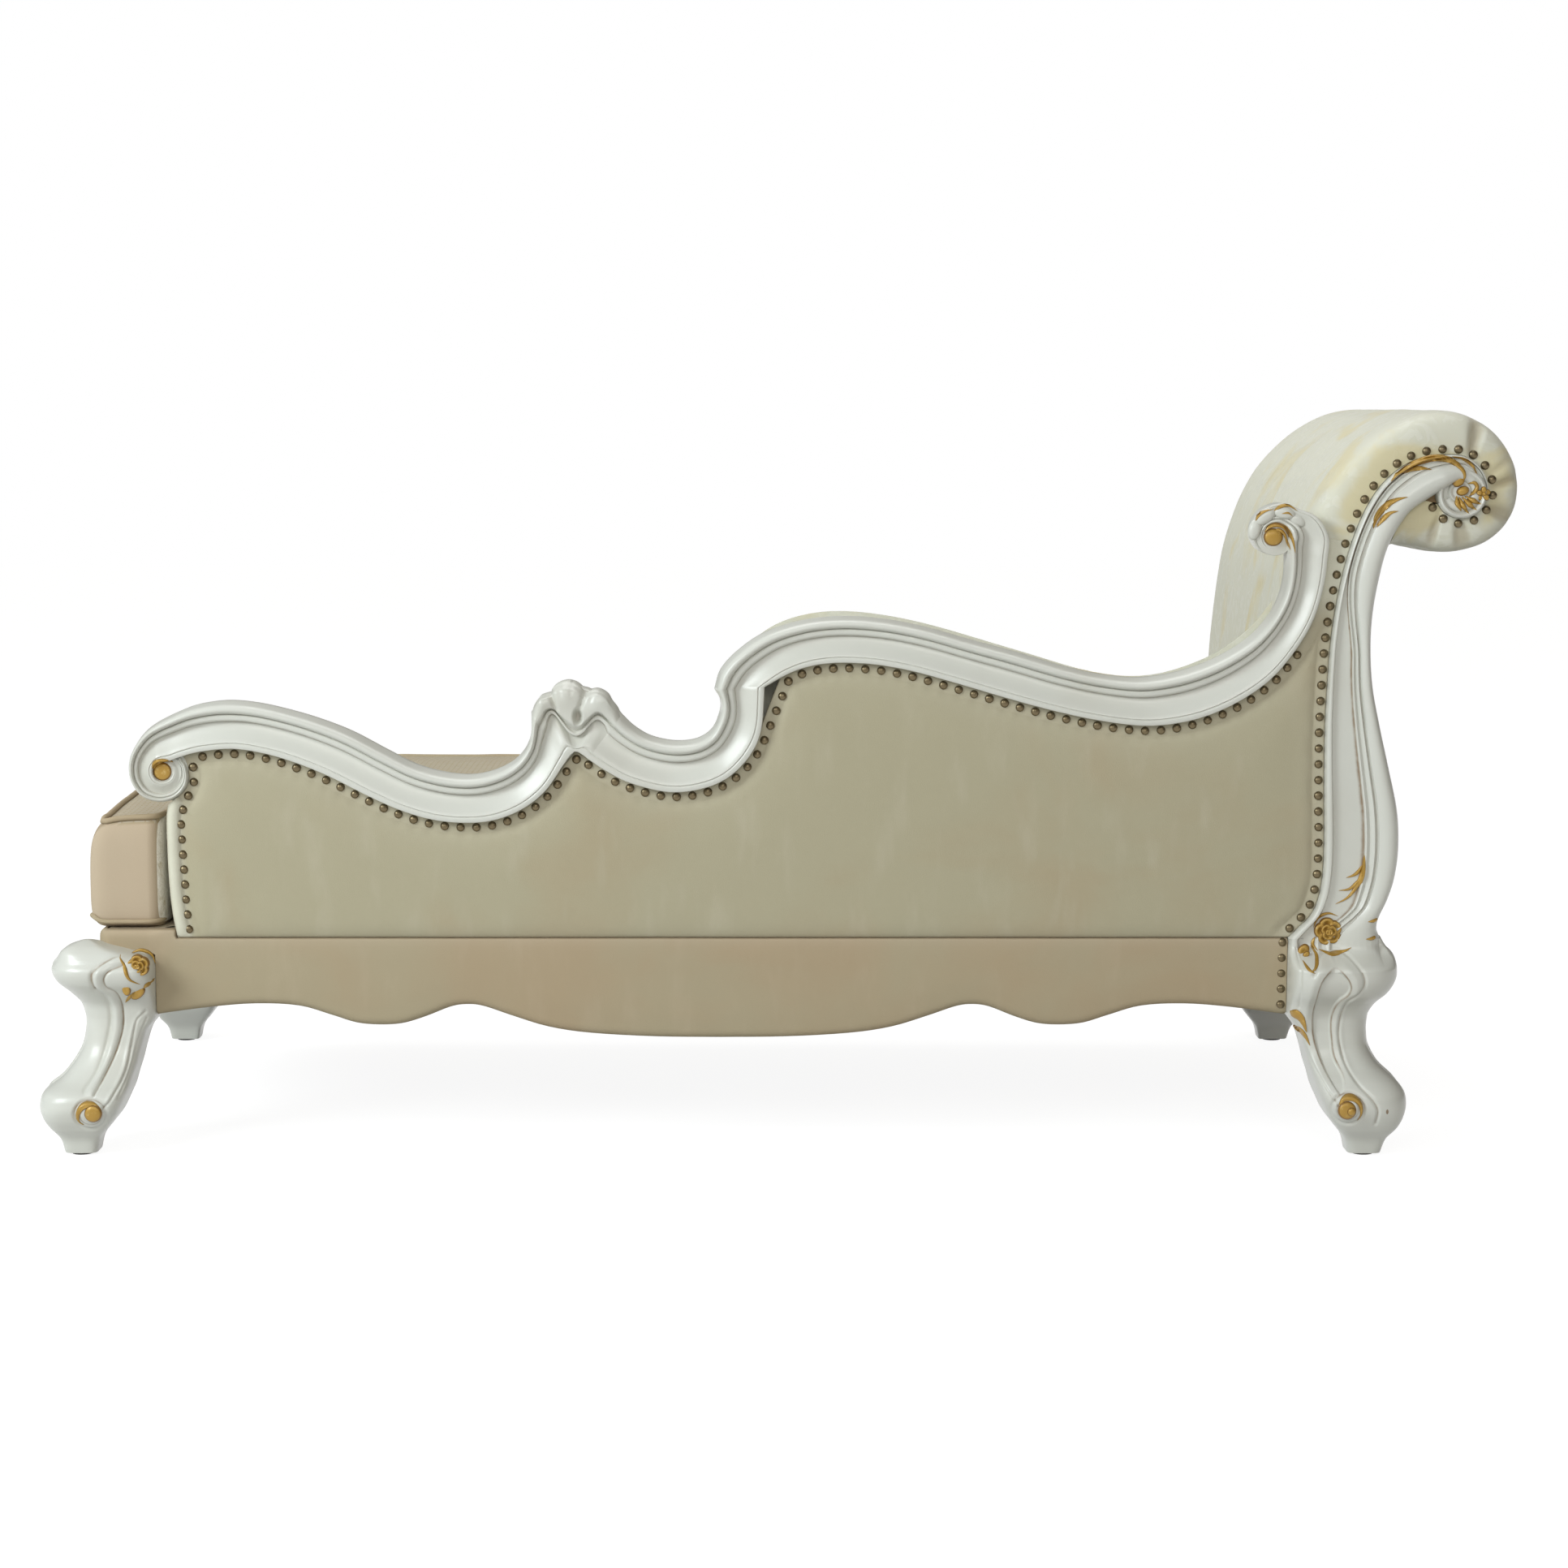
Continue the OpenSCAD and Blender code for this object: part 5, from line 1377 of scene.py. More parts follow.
@dataclass
class HeadPost:
    """A carved post of the head, with its volute and gilt leaves."""

    steps: int = 8
    pieces: tuple = (("post", 0, 92), ("neck", 92, 124), ("scroll", 124, None))
    disc: tuple = ((34, 2), (33.5, 9), (32, 12.5), (30, 13.5), (28, 12.5), (26.5, 9), (25, 5.5), (20, 4.5),
                   (16, 5.5), (15, 8), (13.5, 9.8), (12, 9), (10, 7.2), (6, 8.2), (2, 9.2), (0.3, 9.4))
    inner_bead: tuple = ((0.018, 0.42), (0.03, 0.5), (0.04, 0.62), (0.055, 0.66), (0.075, 0.6), (0.1, 0.52))
    outer_bead: tuple = ((-0.02, 0.6), (0, 0.72), (0.012, 0.74), (0.026, 0.66), (0.04, 0.56))
    roll: tuple = ((0.2, 0.62), (0.2, 0.76), (0.34, 0.9), (0.48, 0.98), (0.6, 1), (0.72, 0.97), (0.82, 0.88),
                   (0.9, 0.74), (0.96, 0.52))
    scroll_leaves: tuple = (
        ([(838, 934), (848, 945), (862, 954), (880, 962), (898, 966), (916, 964), (929, 957), (937, 948),
          (939, 939), (936, 931)], 10, 4.4),
        ([(854, 945), (869, 951), (881, 952), (894, 950)], 7, 3.4),
        ([(921, 968), (936, 965), (948, 958), (954, 950), (957, 943)], 4.6, 3),
        ([(816, 870), (820, 885), (832, 901), (845, 909), (860, 913)], 9, 4.2),
        ([(819, 871), (828, 883), (837, 891), (848, 894)], 6.6, 3.6),
        ((932, 934), (9.5, 7), 35, 5), ((938, 921), (9, 6.5), 20, 6),
        ([(945, 931), (953, 932), (957, 926), (952, 918), (946, 914)], 6, 4.5, 0.3, 0.4),
        ([(933, 913), (938, 902), (947, 890)], 7.6, 5, 0.5, 0.45),
        ([(937, 913), (947, 903), (957, 895)], 7.6, 5, 0.5, 0.45),
        ([(941, 914), (952, 908), (963, 903)], 7.6, 5, 0.5, 0.45),
        ([(930, 914), (931, 904), (937, 893)], 7.6, 5, 0.5, 0.45))
    foot_leaves: tuple = (
        ([(814, 418), (813, 398), (809, 383), (801, 368), (791, 357), (776, 349)], 7, 3.4, 0.3, 0.6),
        ([(812, 404), (806, 394), (799, 389), (790, 386)], 5.2, 3.4, 0.3, 0.6),
        ([(811, 388), (804, 378), (794, 370), (780, 368)], 5.6, 3.4, 0.3, 0.6),
        ([(834, 329), (827, 327), (819, 326)], 5.2, 3.4, 0.12, 0.5),
        ([(832, 304), (825, 302), (817, 301.5)], 5.2, 3.4, 0.12, 0.5))
    timber: dict[str, Shape] = field(default_factory=dict)
    whole: Shape = field(default_factory=Shape)
    gilt: Shape = field(default_factory=Shape)

    def section(self, k: float) -> tuple[Array, Array]:
        """Draws the post's moulding.

        Args:
            k: how full the flat field is.

        Returns:
            Its rows, and the antiquing on them.
        """
        f = 0.10 + 0.40 * k
        r = 0.28 + 0.37 * k
        w = 1 - r
        rows = [(0, 0.2), (0.008, 0.5), (0.03, 0.68), (0.065, 0.72), (0.085, 0.7), (0.1, 0.56), (0.112, 0.42),
                (0.125, 0.4)]
        rows += [(0.13 + s * (f - 0.1), rise) for s, rise in ((0.25, 0.4), (0.55, 0.41), (0.8, 0.42))]
        rows += [(f + s, rise) for s, rise in self.inner_bead]
        rows += [(r + s, rise) for s, rise in self.outer_bead]
        rows += [(r + s * w, rise) for s, rise in self.roll] + [(1, 0.2)]
        rows = np.array(rows)
        rows[:, 0] = np.maximum.accumulate(rows[:, 0] + np.arange(len(rows)) * 1e-5)
        t = rows[:, 0]
        brown = 0.95 * hump(t - f - 0.022, 0.012) + 0.5 * hump(t - r - 0.04, 0.014)
        return rows, brown + 0.3 * hump(t - 0.118, 0.01)

    def make_post(self) -> None:
        """Carves the post from the leg up into its volute."""
        run = LINES.head_run(self.steps)[:, 2:]
        rings, marks = [], []
        for i, s in enumerate(run):
            a, b = s[:2], s[2:]
            wide = np.linalg.norm(b - a)
            k = 1 - float(ramp(690, 815, np.array((a[1] + b[1]) / 2))) if i < 16 * self.steps else 0.0
            k *= float(ramp(300, 350, np.array(a[1]))) * 0.6 + 0.4 if a[1] < 400 else 1.0
            rows, brown = self.section(k)
            relief = LINES.relief * min(1, wide / 48)
            face = a + (b - a) * rows[:, :1]
            front = np.column_stack([face[:, 0], -LINES.face_y - relief * rows[:, 1], face[:, 1]])
            back = [(b + (b - a) * 0.02, LINES.face_y - 4), (b + (b - a) * 0.01, LINES.board_y + 3),
                    (b, LINES.board_y + 0.3), (a, LINES.board_y + 0.3)]
            back = [(p[0], -y, p[1]) for p, y in back]
            rings.append(np.vstack([front, back]))
            marks.append(np.concatenate([brown, np.zeros(len(back))]))
        for piece, first, last in self.pieces:
            end = last + 1 if last else None
            shape = self.timber[piece] = Shape()
            shape.loft(np.array(rings[first:end]), brown=np.array(marks[first:end]))
        x, z = LINES.post_eye
        rows = [(34, LINES.board_y + 1)] + [(r, LINES.face_y + h) for r, h in self.disc]
        self.timber["scroll"].turned([(x + 3 * (r > 16), z - 3 * (r > 16)) for r, _ in rows], rows, 45)
        for shape in self.timber.values():
            self.whole.add(shape.all_points(), shape.faces)

    def make_leaves(self) -> None:
        """Lays the gilt leaves, barbs, sprig and flower on the post."""
        g = Ground(self.whole)
        flower = (966, 917)
        lay(self.gilt, g, self.scroll_leaves)
        for k in range(5):
            a = 72 * k + 20
            petal(self.gilt, g, polar(flower, 5.6, a), (5.0, 4), a, 4.2, 0.8)
        petal(self.gilt, g, flower, (3.2, 3.2), 0, 6.2)
        lay(self.gilt, g, self.foot_leaves)

    def build(self) -> None:
        """Makes the posts of both sides."""
        self.make_post()
        self.make_leaves()
        for piece, shape in self.timber.items():
            for side, made in (("rear", shape), ("front", shape.mirrored())):
                hand_in(made, f"carved_{piece}_{side}", Finishes.PAINT, nodes=[f"head_{piece}_{side}"],
                        hollows=0.5)
        hand_in(self.gilt, "gilt_post_leaves_rear", Finishes.GILT, hollows=1.0)
        hand_in(self.gilt.mirrored(), "gilt_post_leaves_front", Finishes.GILT, hollows=1.0)


@dataclass(frozen=True)
class LegForm:
    """What differs between the legs of the two ends."""

    name: str
    line: float
    way: int
    nodes: tuple
    levels: tuple
    grooves: tuple
    ridges: tuple
    eye: tuple
    rose: tuple
    before_rose: tuple
    after_rose: tuple


FOOT_LEG = LegForm(
    "foot", -948, -1, (),
    levels=(
        (4, 45, 1), (24, 50.5, 6), (40, 63, 18), (56, 73, 30), (73, 78, 38), (90, 73, 45), (106, 52, 49),
        (124, 37, 54), (146, 25, 59), (168, 21, 66), (182, 21, 76), (194, 23, 80), (210, 28, 80),
        (226, 41, 80), (243, 57, 80), (260, 63, 80), (272, 56.5, 76), (279, 52, 66), (286, 46, 40),
        (292, 37, 16), (296.5, 26, 3), (299.3, 17.5, -5.5), (300.3, 12.2, -10.8)),
    grooves=(
        ([(-901, 286), (-921, 278), (-941, 264), (-945, 252), (-943, 236)], 3.4, 3, 0.75),
        ([(-901, 272), (-920, 264), (-928, 252), (-926, 240), (-914, 229), (-910, 204), (-912, 174),
          (-924, 135), (-943, 92)], 3, 2, 0.85),
        ([(-941, 235), (-931, 222), (-927, 195), (-932, 163), (-944, 119), (-957, 98)], 2.8, 3.4, 0.3),
        ([(-879, 200), (-892, 186), (-899, 156), (-905, 119), (-919, 87), (-933, 70)], 2.2, 2, 0.45),
        ([(-878, 190), (-884, 176), (-892, 154), (-900, 119), (-911, 86)], 1.4, 1.7, 0.45),
        ([(-893, 286), (-866, 287), (-861, 280), (-859, 261), (-859, 200)], 1.2, 1.8, 0.2)),
    ridges=(
        ([(-906, 280), (-926, 271), (-937, 258), (-935, 241), (-921, 226), (-918, 200), (-921, 170),
          (-933, 130), (-948, 98)], 3.4, 6),
        ([(-886, 196), (-896, 178), (-903, 152), (-909, 119), (-924, 84)], 1.4, 3.4)),
    eye=(-948, 65),
    rose=((-882, 269), 16),
    before_rose=(
        ((-943, 68), (12.5, 12.5), 0, 5),
        ([(-934, 76), (-945, 81), (-957, 78), (-964, 68), (-965, 56), (-958, 50)], 9.5, 4.4, 0.3, 0.6)),
    after_rose=(
        ([(-908, 284), (-899, 268), (-893, 252), (-880, 243)], 5.4, 3.6, 0.4, 0.5),
        ([(-896, 283), (-882, 287), (-868, 281), (-863, 268)], 5, 3.2),
        ((-885, 229), (12, 7), 40, 5.5, 1.6), ((-899, 236), (6, 9), 10, 4.4, 1.2),
        ([(-905, 214), (-896, 224), (-887, 232)], 5, 3.4), ([(-877, 236), (-866, 246)], 6, 3.4)))
HEAD_LEG = LegForm(
    "head", 795, 1, ("leg_rosettes", "foot_scrolls"),
    levels=(
        (4, 46, 1), (24, 53, 6), (40, 66, 18), (56, 75, 30), (73, 80, 38), (90, 78, 45), (106, 66, 49),
        (124, 46, 54), (146, 33, 59), (168, 30, 66), (182, 31, 76), (194, 33, 83), (210, 42, 83),
        (226, 57, 83), (243, 66, 83), (260, 68, 83), (272, 66, 83), (281, 61, 83), (290, 54, 83),
        (300.5, 48, 83)),
    grooves=(
        ([(722, 288), (722, 250), (724, 208)], 1.6, 1.8, 0.2),
        ([(737, 152), (745, 130), (756, 106), (769, 84), (780, 70)], 1.8, 1.8, 0.35)),
    ridges=(([(730, 250), (734, 200), (736, 165), (746, 130), (760, 100)], 1.6, 8),),
    eye=(787, 74),
    rose=((766, 311), 20),
    before_rose=(
        ((785, 73), (13, 13), 0, 4.6),
        ([(774, 80), (781, 89), (793, 90), (803, 81), (805, 67), (801, 57)], 9, 4.6, 0.3, 0.6),
        ((790, 72), (6, 6), 0, 4, 0, 4.2)),
    after_rose=(
        ([(752, 287), (768, 282), (786, 285), (797, 290)], 5, 3.2, 0.4, 0.5),
        ([(746, 316), (752, 330), (766, 336), (780, 332)], 4.6, 3),
        ([(748, 303), (745, 293), (751, 285)], 5, 3),
        ((731, 284), (11, 8), 60, 5.5, 2), ((734, 281), (5.5, 4), 40, 4, 1, 3.4),
        ([(742, 292), (748, 280), (742, 268), (734, 263)], 5, 3.6),
        ([(727, 275), (732, 266), (740, 261)], 4.6, 3.4),
        ([(714, 200), (721, 197), (729, 189), (736, 172)], 13, 5, 0.2, 0.6),
        ([(721, 177), (728, 173), (735, 165), (741, 153)], 7.5, 4, 0.2, 0.6)))


class Corner(Enum):
    """Which end of the couch a leg stands at."""

    FOOT = FOOT_LEG
    HEAD = HEAD_LEG


@dataclass
class Leg:
    """A cabriole leg with scrolled foot, carved panel, rose and gilt scroll."""

    corner: Corner
    post: Shape
    around: int = 330
    steps: int = 12
    finer: int = 1440
    block: float = 80.0
    top_reach: float = 22.0
    shoulder: float = 262.0
    post_foot: float = 712.0
    post_width: float = 126.0
    kidney: tuple = (
        (767, 268), (783, 256), (790, 242), (787, 229), (777, 219), (771, 203), (769, 185), (771, 161),
        (774, 139), (783, 118), (784, 103), (775, 94), (764, 110), (754, 135), (746, 163), (743, 189),
        (744, 216), (749, 248))
    band: tuple = (
        (738, 258), (749, 276), (767, 286), (785, 284), (798, 273), (807, 257), (808, 243), (801, 231),
        (789, 221), (784, 208), (781, 190), (780, 171), (783, 150), (790, 126), (803, 106), (818, 90),
        (828, 72), (826, 52))
    petals: tuple = ((5, 0.54, 0.46, 0.56, 0.34, 0), (3, 0.27, 0.34, 0.44, 0.30, 0.16),
                     (2, 0.08, 0.20, 0.26, 0.18, 0.34))
    timber: Shape = field(default_factory=Shape)
    gilt: Shape = field(default_factory=Shape)

    def make_leg(self) -> None:
        """Carves the leg as rings from the floor up."""
        form, head = self.corner.value, self.corner is Corner.HEAD
        run = smooth(form.levels, self.steps)
        meeting = HeadPost().section(0.4)[0]
        a = (np.arange(self.finer) + 0.5) * 2 * math.pi / self.finer - 0.75 * math.pi
        c, s = np.cos(a), np.sin(a)
        rings = np.empty((len(run), self.around, 3))
        for k, (z, out, inn) in enumerate(run):
            inn_y = min(inn, self.block)
            y_out = out - (out - self.top_reach) * float(ramp(self.shoulder, 299, z)) * head
            soft = 4.0 - 1.3 * float(ramp(40, 80, z) * (1 - ramp(self.shoulder, 296, z)))
            power = np.where((c > 0) & (s > 0), soft, np.where((c < 0) & (s < 0), 9, 4.6))
            u = np.sign(c) * np.abs(c) ** (2 / power)
            v = np.sign(s) * np.abs(s) ** (2 / power)
            x = form.line + form.way * ((out - inn) / 2 + (out + inn) / 2 * u)
            y = -LINES.face_y - ((y_out - inn_y) / 2 + (y_out + inn_y) / 2 * v)
            if head and z > self.shoulder:
                across = np.clip((x - self.post_foot) / self.post_width, 0, 1)
                meet = -LINES.face_y - LINES.relief * np.interp(across, *meeting.T)
                y += (meet - y) * float(ramp(self.shoulder, 298, z)) * ramp(0.4, 0.9, v)
            loop = np.column_stack([x, y, np.full(len(a), z)])
            denser = np.where(v + np.roll(v, -1) > 1.2, 3, 1)
            step = np.linalg.norm(np.roll(loop, -1, 0) - loop, axis=1) * denser
            walked = np.concatenate([[0], np.cumsum(step)])
            at = np.linspace(0, walked[-1], self.around + 1)[:-1]
            rings[k] = np.column_stack([np.interp(at, walked, np.append(p, p[0])) for p in loop.T])
        ahead = np.roll(rings, -1, 1) - np.roll(rings, 1, 1)
        normal = unit(np.cross(ahead, np.gradient(rings, axis=0)))
        if ((rings - rings.mean(1, keepdims=True)) * normal).sum() < 0:
            normal = -normal
        flat, n = rings.reshape(-1, 3), normal.reshape(-1, 3)
        depth, brown = np.zeros(len(flat)), np.zeros(len(flat))
        twin = form.line + form.way * (-LINES.face_y - flat[:, 1])
        for x, facing in ((flat[:, 0], -n[:, 1]), (twin, form.way * n[:, 0])):
            weight = np.clip(facing, 0, 1) ** 0.7
            d, b = self.carve(np.column_stack([x, flat[:, 2]]))
            depth += d * weight
            brown += b * weight
        carved = (flat + n * depth[:, None]).reshape(rings.shape)
        self.timber.loft(carved, brown=brown.reshape(rings.shape[:2]))

    def carve(self, places: Array) -> tuple[Array, Array]:
        """Works out the carving of a face of the leg.

        Args:
            places: x and height of points on the face.

        Returns:
            How far each point is raised, and its antiquing.
        """
        form = self.corner.value
        depth, brown = np.zeros(len(places)), np.zeros(len(places))
        if self.corner is Corner.HEAD:
            loop = smooth(self.kidney, 4, True)
            far = near(places, np.vstack([loop, loop[:1]]))[0]
            low = ramp(92, 130, places[:, 1])
            depth += np.where(inside(places, loop), -4.0 * ramp(0, 3, far), 2.6 * hump(far - 8.5, 6.5) * low)
            brown += 0.85 * hump(far, 1.5) * (0.4 + 0.6 * low)
            far = near(places, smooth(self.band, 5))[0]
            depth -= 2.6 * hump(far, 2.6)
            spot = np.linalg.norm((places - (841, 70)) / (2.2, 4), axis=1)
            brown += 0.6 * hump(far, 1.6) + 1.5 * (1 - ramp(0.5, 1.1, spot))
        for line, high, wide in form.ridges:
            depth += high * hump(near(places, smooth(line, 6))[0], wide)
        for line, deep, wide, tint in form.grooves:
            far = near(places, smooth(line, 6))[0]
            depth -= deep * hump(far, wide)
            brown += tint * hump(far, wide * 0.75)
        ring, groove = 22, 14.5
        r = np.linalg.norm(places - form.eye, axis=1)
        depth += 3.0 * (1 - ramp(10, 24, r)) - 2.6 * hump(r - ring, 2.4) - 1.6 * hump(r - groove, 1.8)
        angle = np.degrees(np.arctan2(places[:, 1] - form.eye[1], (places[:, 0] - form.eye[0]) * form.way))
        shown = 0.35 + 0.65 * ramp(-60, 40, angle) * (1 - ramp(120, 175, angle))
        return depth, brown + 0.8 * hump(r - ring, 1.6) * shown + 0.6 * hump(r - groove, 1.4)

    def make_gilding(self) -> None:
        """Lays the gilt scroll, rose, bud and leaves on the leg's outer face."""
        form, both = self.corner.value, Shape()
        for shape in (self.timber, self.post):
            both.add(shape.all_points(), shape.faces)
        g = Ground(both)
        lay(self.gilt, g, form.before_rose)
        centre, size = form.rose
        face = g.depth(*centre, -LINES.face_y - 20)
        for count, far, wide, long, cup, lift in self.petals:
            for k in range(count):
                a = 360 / count * k + 54 * far
                petal(self.gilt, g, polar(centre, size * far, a), (size * wide, size * long), a, size * 0.34,
                      size * cup, size * lift, 6 + size * lift, face)
        lay(self.gilt, g, form.after_rose)

    def build(self) -> None:
        """Makes this leg and its twin on the open side."""
        self.make_leg()
        self.make_gilding()
        form = self.corner.value
        for shape, gilt, side, nodes in ((self.timber, self.gilt, "rear", form.nodes),
                                         (self.timber.mirrored(), self.gilt.mirrored(), "front", ())):
            name = f"leg_{form.name}_{side}"
            hand_in(shape, "carved_" + name, Finishes.PAINT, nodes=[name], hollows=0.6)
            hand_in(gilt, "gilt_" + name, Finishes.GILT, nodes=nodes, hollows=1.5)


@dataclass
class Nails:
    """Domed nail heads, set where the CAD model has them."""

    radius: float = 6.1
    height: float = 4.4
    around: int = 18
    curve: Array = field(default_factory=lambda: math.pi / 2 * np.arange(7) / 6.1)

    def centres(self, node: str) -> Array:
        """Finds the nails of a CAD node.

        Args:
            node: the node.

        Returns:
            The middle of each nail's foot, in millimetres.
        """
        work = bmesh.new()
        work.from_mesh(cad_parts[node].data)
        bmesh.ops.remove_doubles(work, verts=work.verts, dist=1e-5)
        left, found = set(work.verts), []
        while left:
            grown, group = [left.pop()], []
            while grown:
                v = grown.pop()
                group.append(v.co / MM)
                for e in v.link_edges:
                    o = e.other_vert(v)
                    if o in left:
                        left.remove(o)
                        grown.append(o)
            p = np.array(group)
            low, high = p.min(0), p.max(0)
            foot = high[1] if high[1] < 0 else low[1]
            found.append(((low[0] + high[0]) / 2, foot, (low[2] + high[2]) / 2))
        work.free()
        return np.array(sorted(found))

    def build(self) -> None:
        """Makes the nails of every node."""
        dice = np.random.default_rng(11)
        turn = np.arange(self.around) * 2 * math.pi / self.around
        for node in ("nails_side", "nails_side_foot", "nails_post_rear", "nails_post_front"):
            shape = Shape()
            for x, y, z in self.centres(node):
                side = 1 if y > 0 else -1
                lean = dice.normal(0, 0.05, 2)
                size = dice.uniform(0.96, 1.03)
                r = self.radius * size * np.concatenate([[1], np.cos(self.curve)])
                px, pz = r[:, None] * np.cos(turn), r[:, None] * np.sin(turn)
                lift = np.concatenate([[-0.8], self.height * np.sin(self.curve)])[:, None]
                shape.loft(np.stack([x + px, y + side * (lift + lean[0] * px + lean[1] * pz), z + pz], -1),
                           edge=np.clip(1 - np.arange(len(r)) / 2.5, 0, 1)[:, None])
            hand_in(shape, node + "_domed", Finishes.BRASS, nodes=[node])


# Covers


@dataclass
class SideCovers:
    """The covers of the carved side: outside, inside and the lining between."""

    pitch: float = 21.6
    band: float = 16.8
    swell: float = 7.5
    foot_roll: float = 19.0
    pad_top: tuple = (
        (-846, 588), (-820, 604), (-760, 618), (-681, 606), (-592, 576), (-501, 530), (-428, 515),
        (-372, 530), (-336, 580), (-305, 622), (-262, 628), (-226, 600), (-180, 572), (-143, 563),
        (-106, 568), (-80, 592), (-58, 660), (-30, 700), (20, 726), (92, 735), (192, 722), (327, 686),
        (439, 656), (520, 652), (600, 676), (655, 712), (687, 748))

    def make_outer(self) -> None:
        """Makes the velvet panel with its nail band and its rolled foot edge."""
        foot, rail, post = LINES.side_edges(LINES.base_top + 0.4, 0.4)
        panel = Panel(np.vstack([foot, rail, post]), spacing=10, edge_step=4.2)
        base = np.array([foot[0], post[-1]])
        head = LINES.head_run(4)[:57]

        def far(p: Array) -> tuple[Array, Array, Array, Array]:
            """Gives distances from timber, foot edge and base, and the place along the rail."""
            rim, along = near(p, rail)
            return np.minimum(rim, near(p, post[1:-1])[0]), near(p, foot)[0], near(p, base)[0], along

        def height(p: Array) -> Array:
            """Gives the swell of the face.

            Args:
                p: points of its plane.

            Returns:
                How far each stands off the plane.
            """
            rim, side, low, along = far(p)
            free = np.minimum(rim, side + 8)
            h = self.swell * (1 - np.exp(-np.maximum(free - self.band, 0) / 24))
            h += 1.4 * hump(free - 27, 8) + 0.5 * np.cos(2 * math.pi * along / self.pitch) * hump(rim - 19, 5)
            h -= 0.5 * hump(rim - self.band, 3) * (side > 30) + 0.8 * np.clip(1 - rim / 2, 0, 1)
            roll = np.sin(np.clip(side / self.foot_roll, 0, 1) * math.pi)
            rolled = (6.0 + 0.7 * lumps(p, 45, 12)) * roll ** 0.8 - 1.2 * (side < 2)
            h = np.where(side < self.foot_roll, rolled, h * ramp(17, 46, side))
            h -= 1.0 * hump(side - 19.5, 2) + 0.5 * hump(side - 31, 2)
            h *= 1 - np.exp(-(low + 0.3) / 9)
            h -= 1.2 * np.clip(1 - low / 2.5, 0, 1)
            h += 0.45 * lumps(p, 130, 5) * ramp(20, 60, np.minimum(rim, side))
            contour, edge = near(p, head[:, :2])[0], near(p, head[:, 2:4])[0]
            round_off = np.interp(contour / (contour + edge + 1e-6), *HeadCovers.section_rows()[::-1].T)
            k = ramp(745, 805, p[:, 1])
            return h * (1 - k) - round_off * k

        def light(p: Array) -> Array:
            """Gives the painted highlight on the panel: lighter next to the rail and the base."""
            rim, _, low, _ = far(p)
            bright = 0.6 * np.exp(-rim / 14) + 0.3 * np.exp(-np.maximum(rim - 17, 0) / 22)
            return np.clip(bright + 0.2 * np.exp(-low / 12), 0, 1)

        def seam(p: Array) -> Array:
            """Gives the painted shade in the panel's creases, along the foot roll and along the base."""
            rim, side, low, _ = far(p)
            return np.clip(0.10 * hump(rim - self.band, 1.8) * (side > 30) + 0.4 * hump(side - 19.5, 1.6)
                           + 0.15 * hump(side - 31, 1.4) + 0.6 * hump(low, 1.2) + 0.5 * hump(side, 1.5), 0, 1)

        def cream(p: Array) -> Array:
            """Gives where the cloth is cream: a painted highlight on the foot roll, and cream cloth high
            beside the post.
            """
            return np.maximum(ramp(735, 790, p[:, 1]), 0.9 - 0.9 * ramp(17, 24, far(p)[1]))

        shape = Shape()
        face = LINES.face_y
        # The panel carries a painted highlight, painted shade in its creases, and cream.
        panel.skin(shape, height, lambda p, h: np.column_stack([p[:, 0], -face - h, p[:, 1]]),
                   lambda p: 12 + 24 * (near(p, foot)[0] < 1), light=light, seam=seam, cream=cream)
        hand_in(shape, "side_velvet_panel", Finishes.VELVET, nodes=["side_outer_cover"],
                flat_over=None)

    def make_inner(self) -> None:
        """Makes the padded damask inside the carved side."""
        run = smooth(self.pad_top, 5)
        back, front, low = -LINES.lining_y + 0.3, -LINES.pad_y, LINES.deck_top + 0.4
        rings = []
        for x, z in run:
            f = front - 14 * float(ramp(-826, -846, np.array(x)))
            ring = smooth([(back, low), (back, z - 12), (back + 3, z - 3), (back + 12, z), (back + 24, z - 4),
                           (f - 6, z - 24), (f - 1, z - 62), (f, (z + low) / 2), (f - 2, low + 30),
                           (f - 10, low)], 4)
            rings.append(np.column_stack([np.full(len(ring), x), ring]))
        rings = np.array(rings)
        rings[:, 12:-4, 1] += 1.6 * lumps(rings.reshape(-1, 3), 150, 8).reshape(rings.shape[:2])[:, 12:-4]
        shape = Shape()
        shape.loft(rings)
        hand_in(shape, "side_damask_inside", Finishes.DAMASK, nodes=["side_inner_cover"])

    def make_lining(self) -> None:
        """Makes the hessian lining on the uprights."""
        foot, rail, post = LINES.side_edges(LINES.deck_top + 0.4, 0.9)
        edge = np.vstack([foot + (12.5, 0), rail, post])
        panel = Panel(edge, spacing=24, edge_step=12, rows=(10,))
        y = -(LINES.frame_y + LINES.lining_y) / 2
        shape = Shape()
        panel.skin(shape, lambda p: 0.35 * lumps(p, 90, 4), lambda p, h: np.column_stack(
            [p[:, 0], y + h, p[:, 1]]), None)
        lining = hand_in(shape, "side_hessian_lining", Finishes.HESSIAN, nodes=["side_lining"])

    def build(self) -> None:
        """Makes the three covers."""
        self.make_outer()
        self.make_inner()
        self.make_lining()


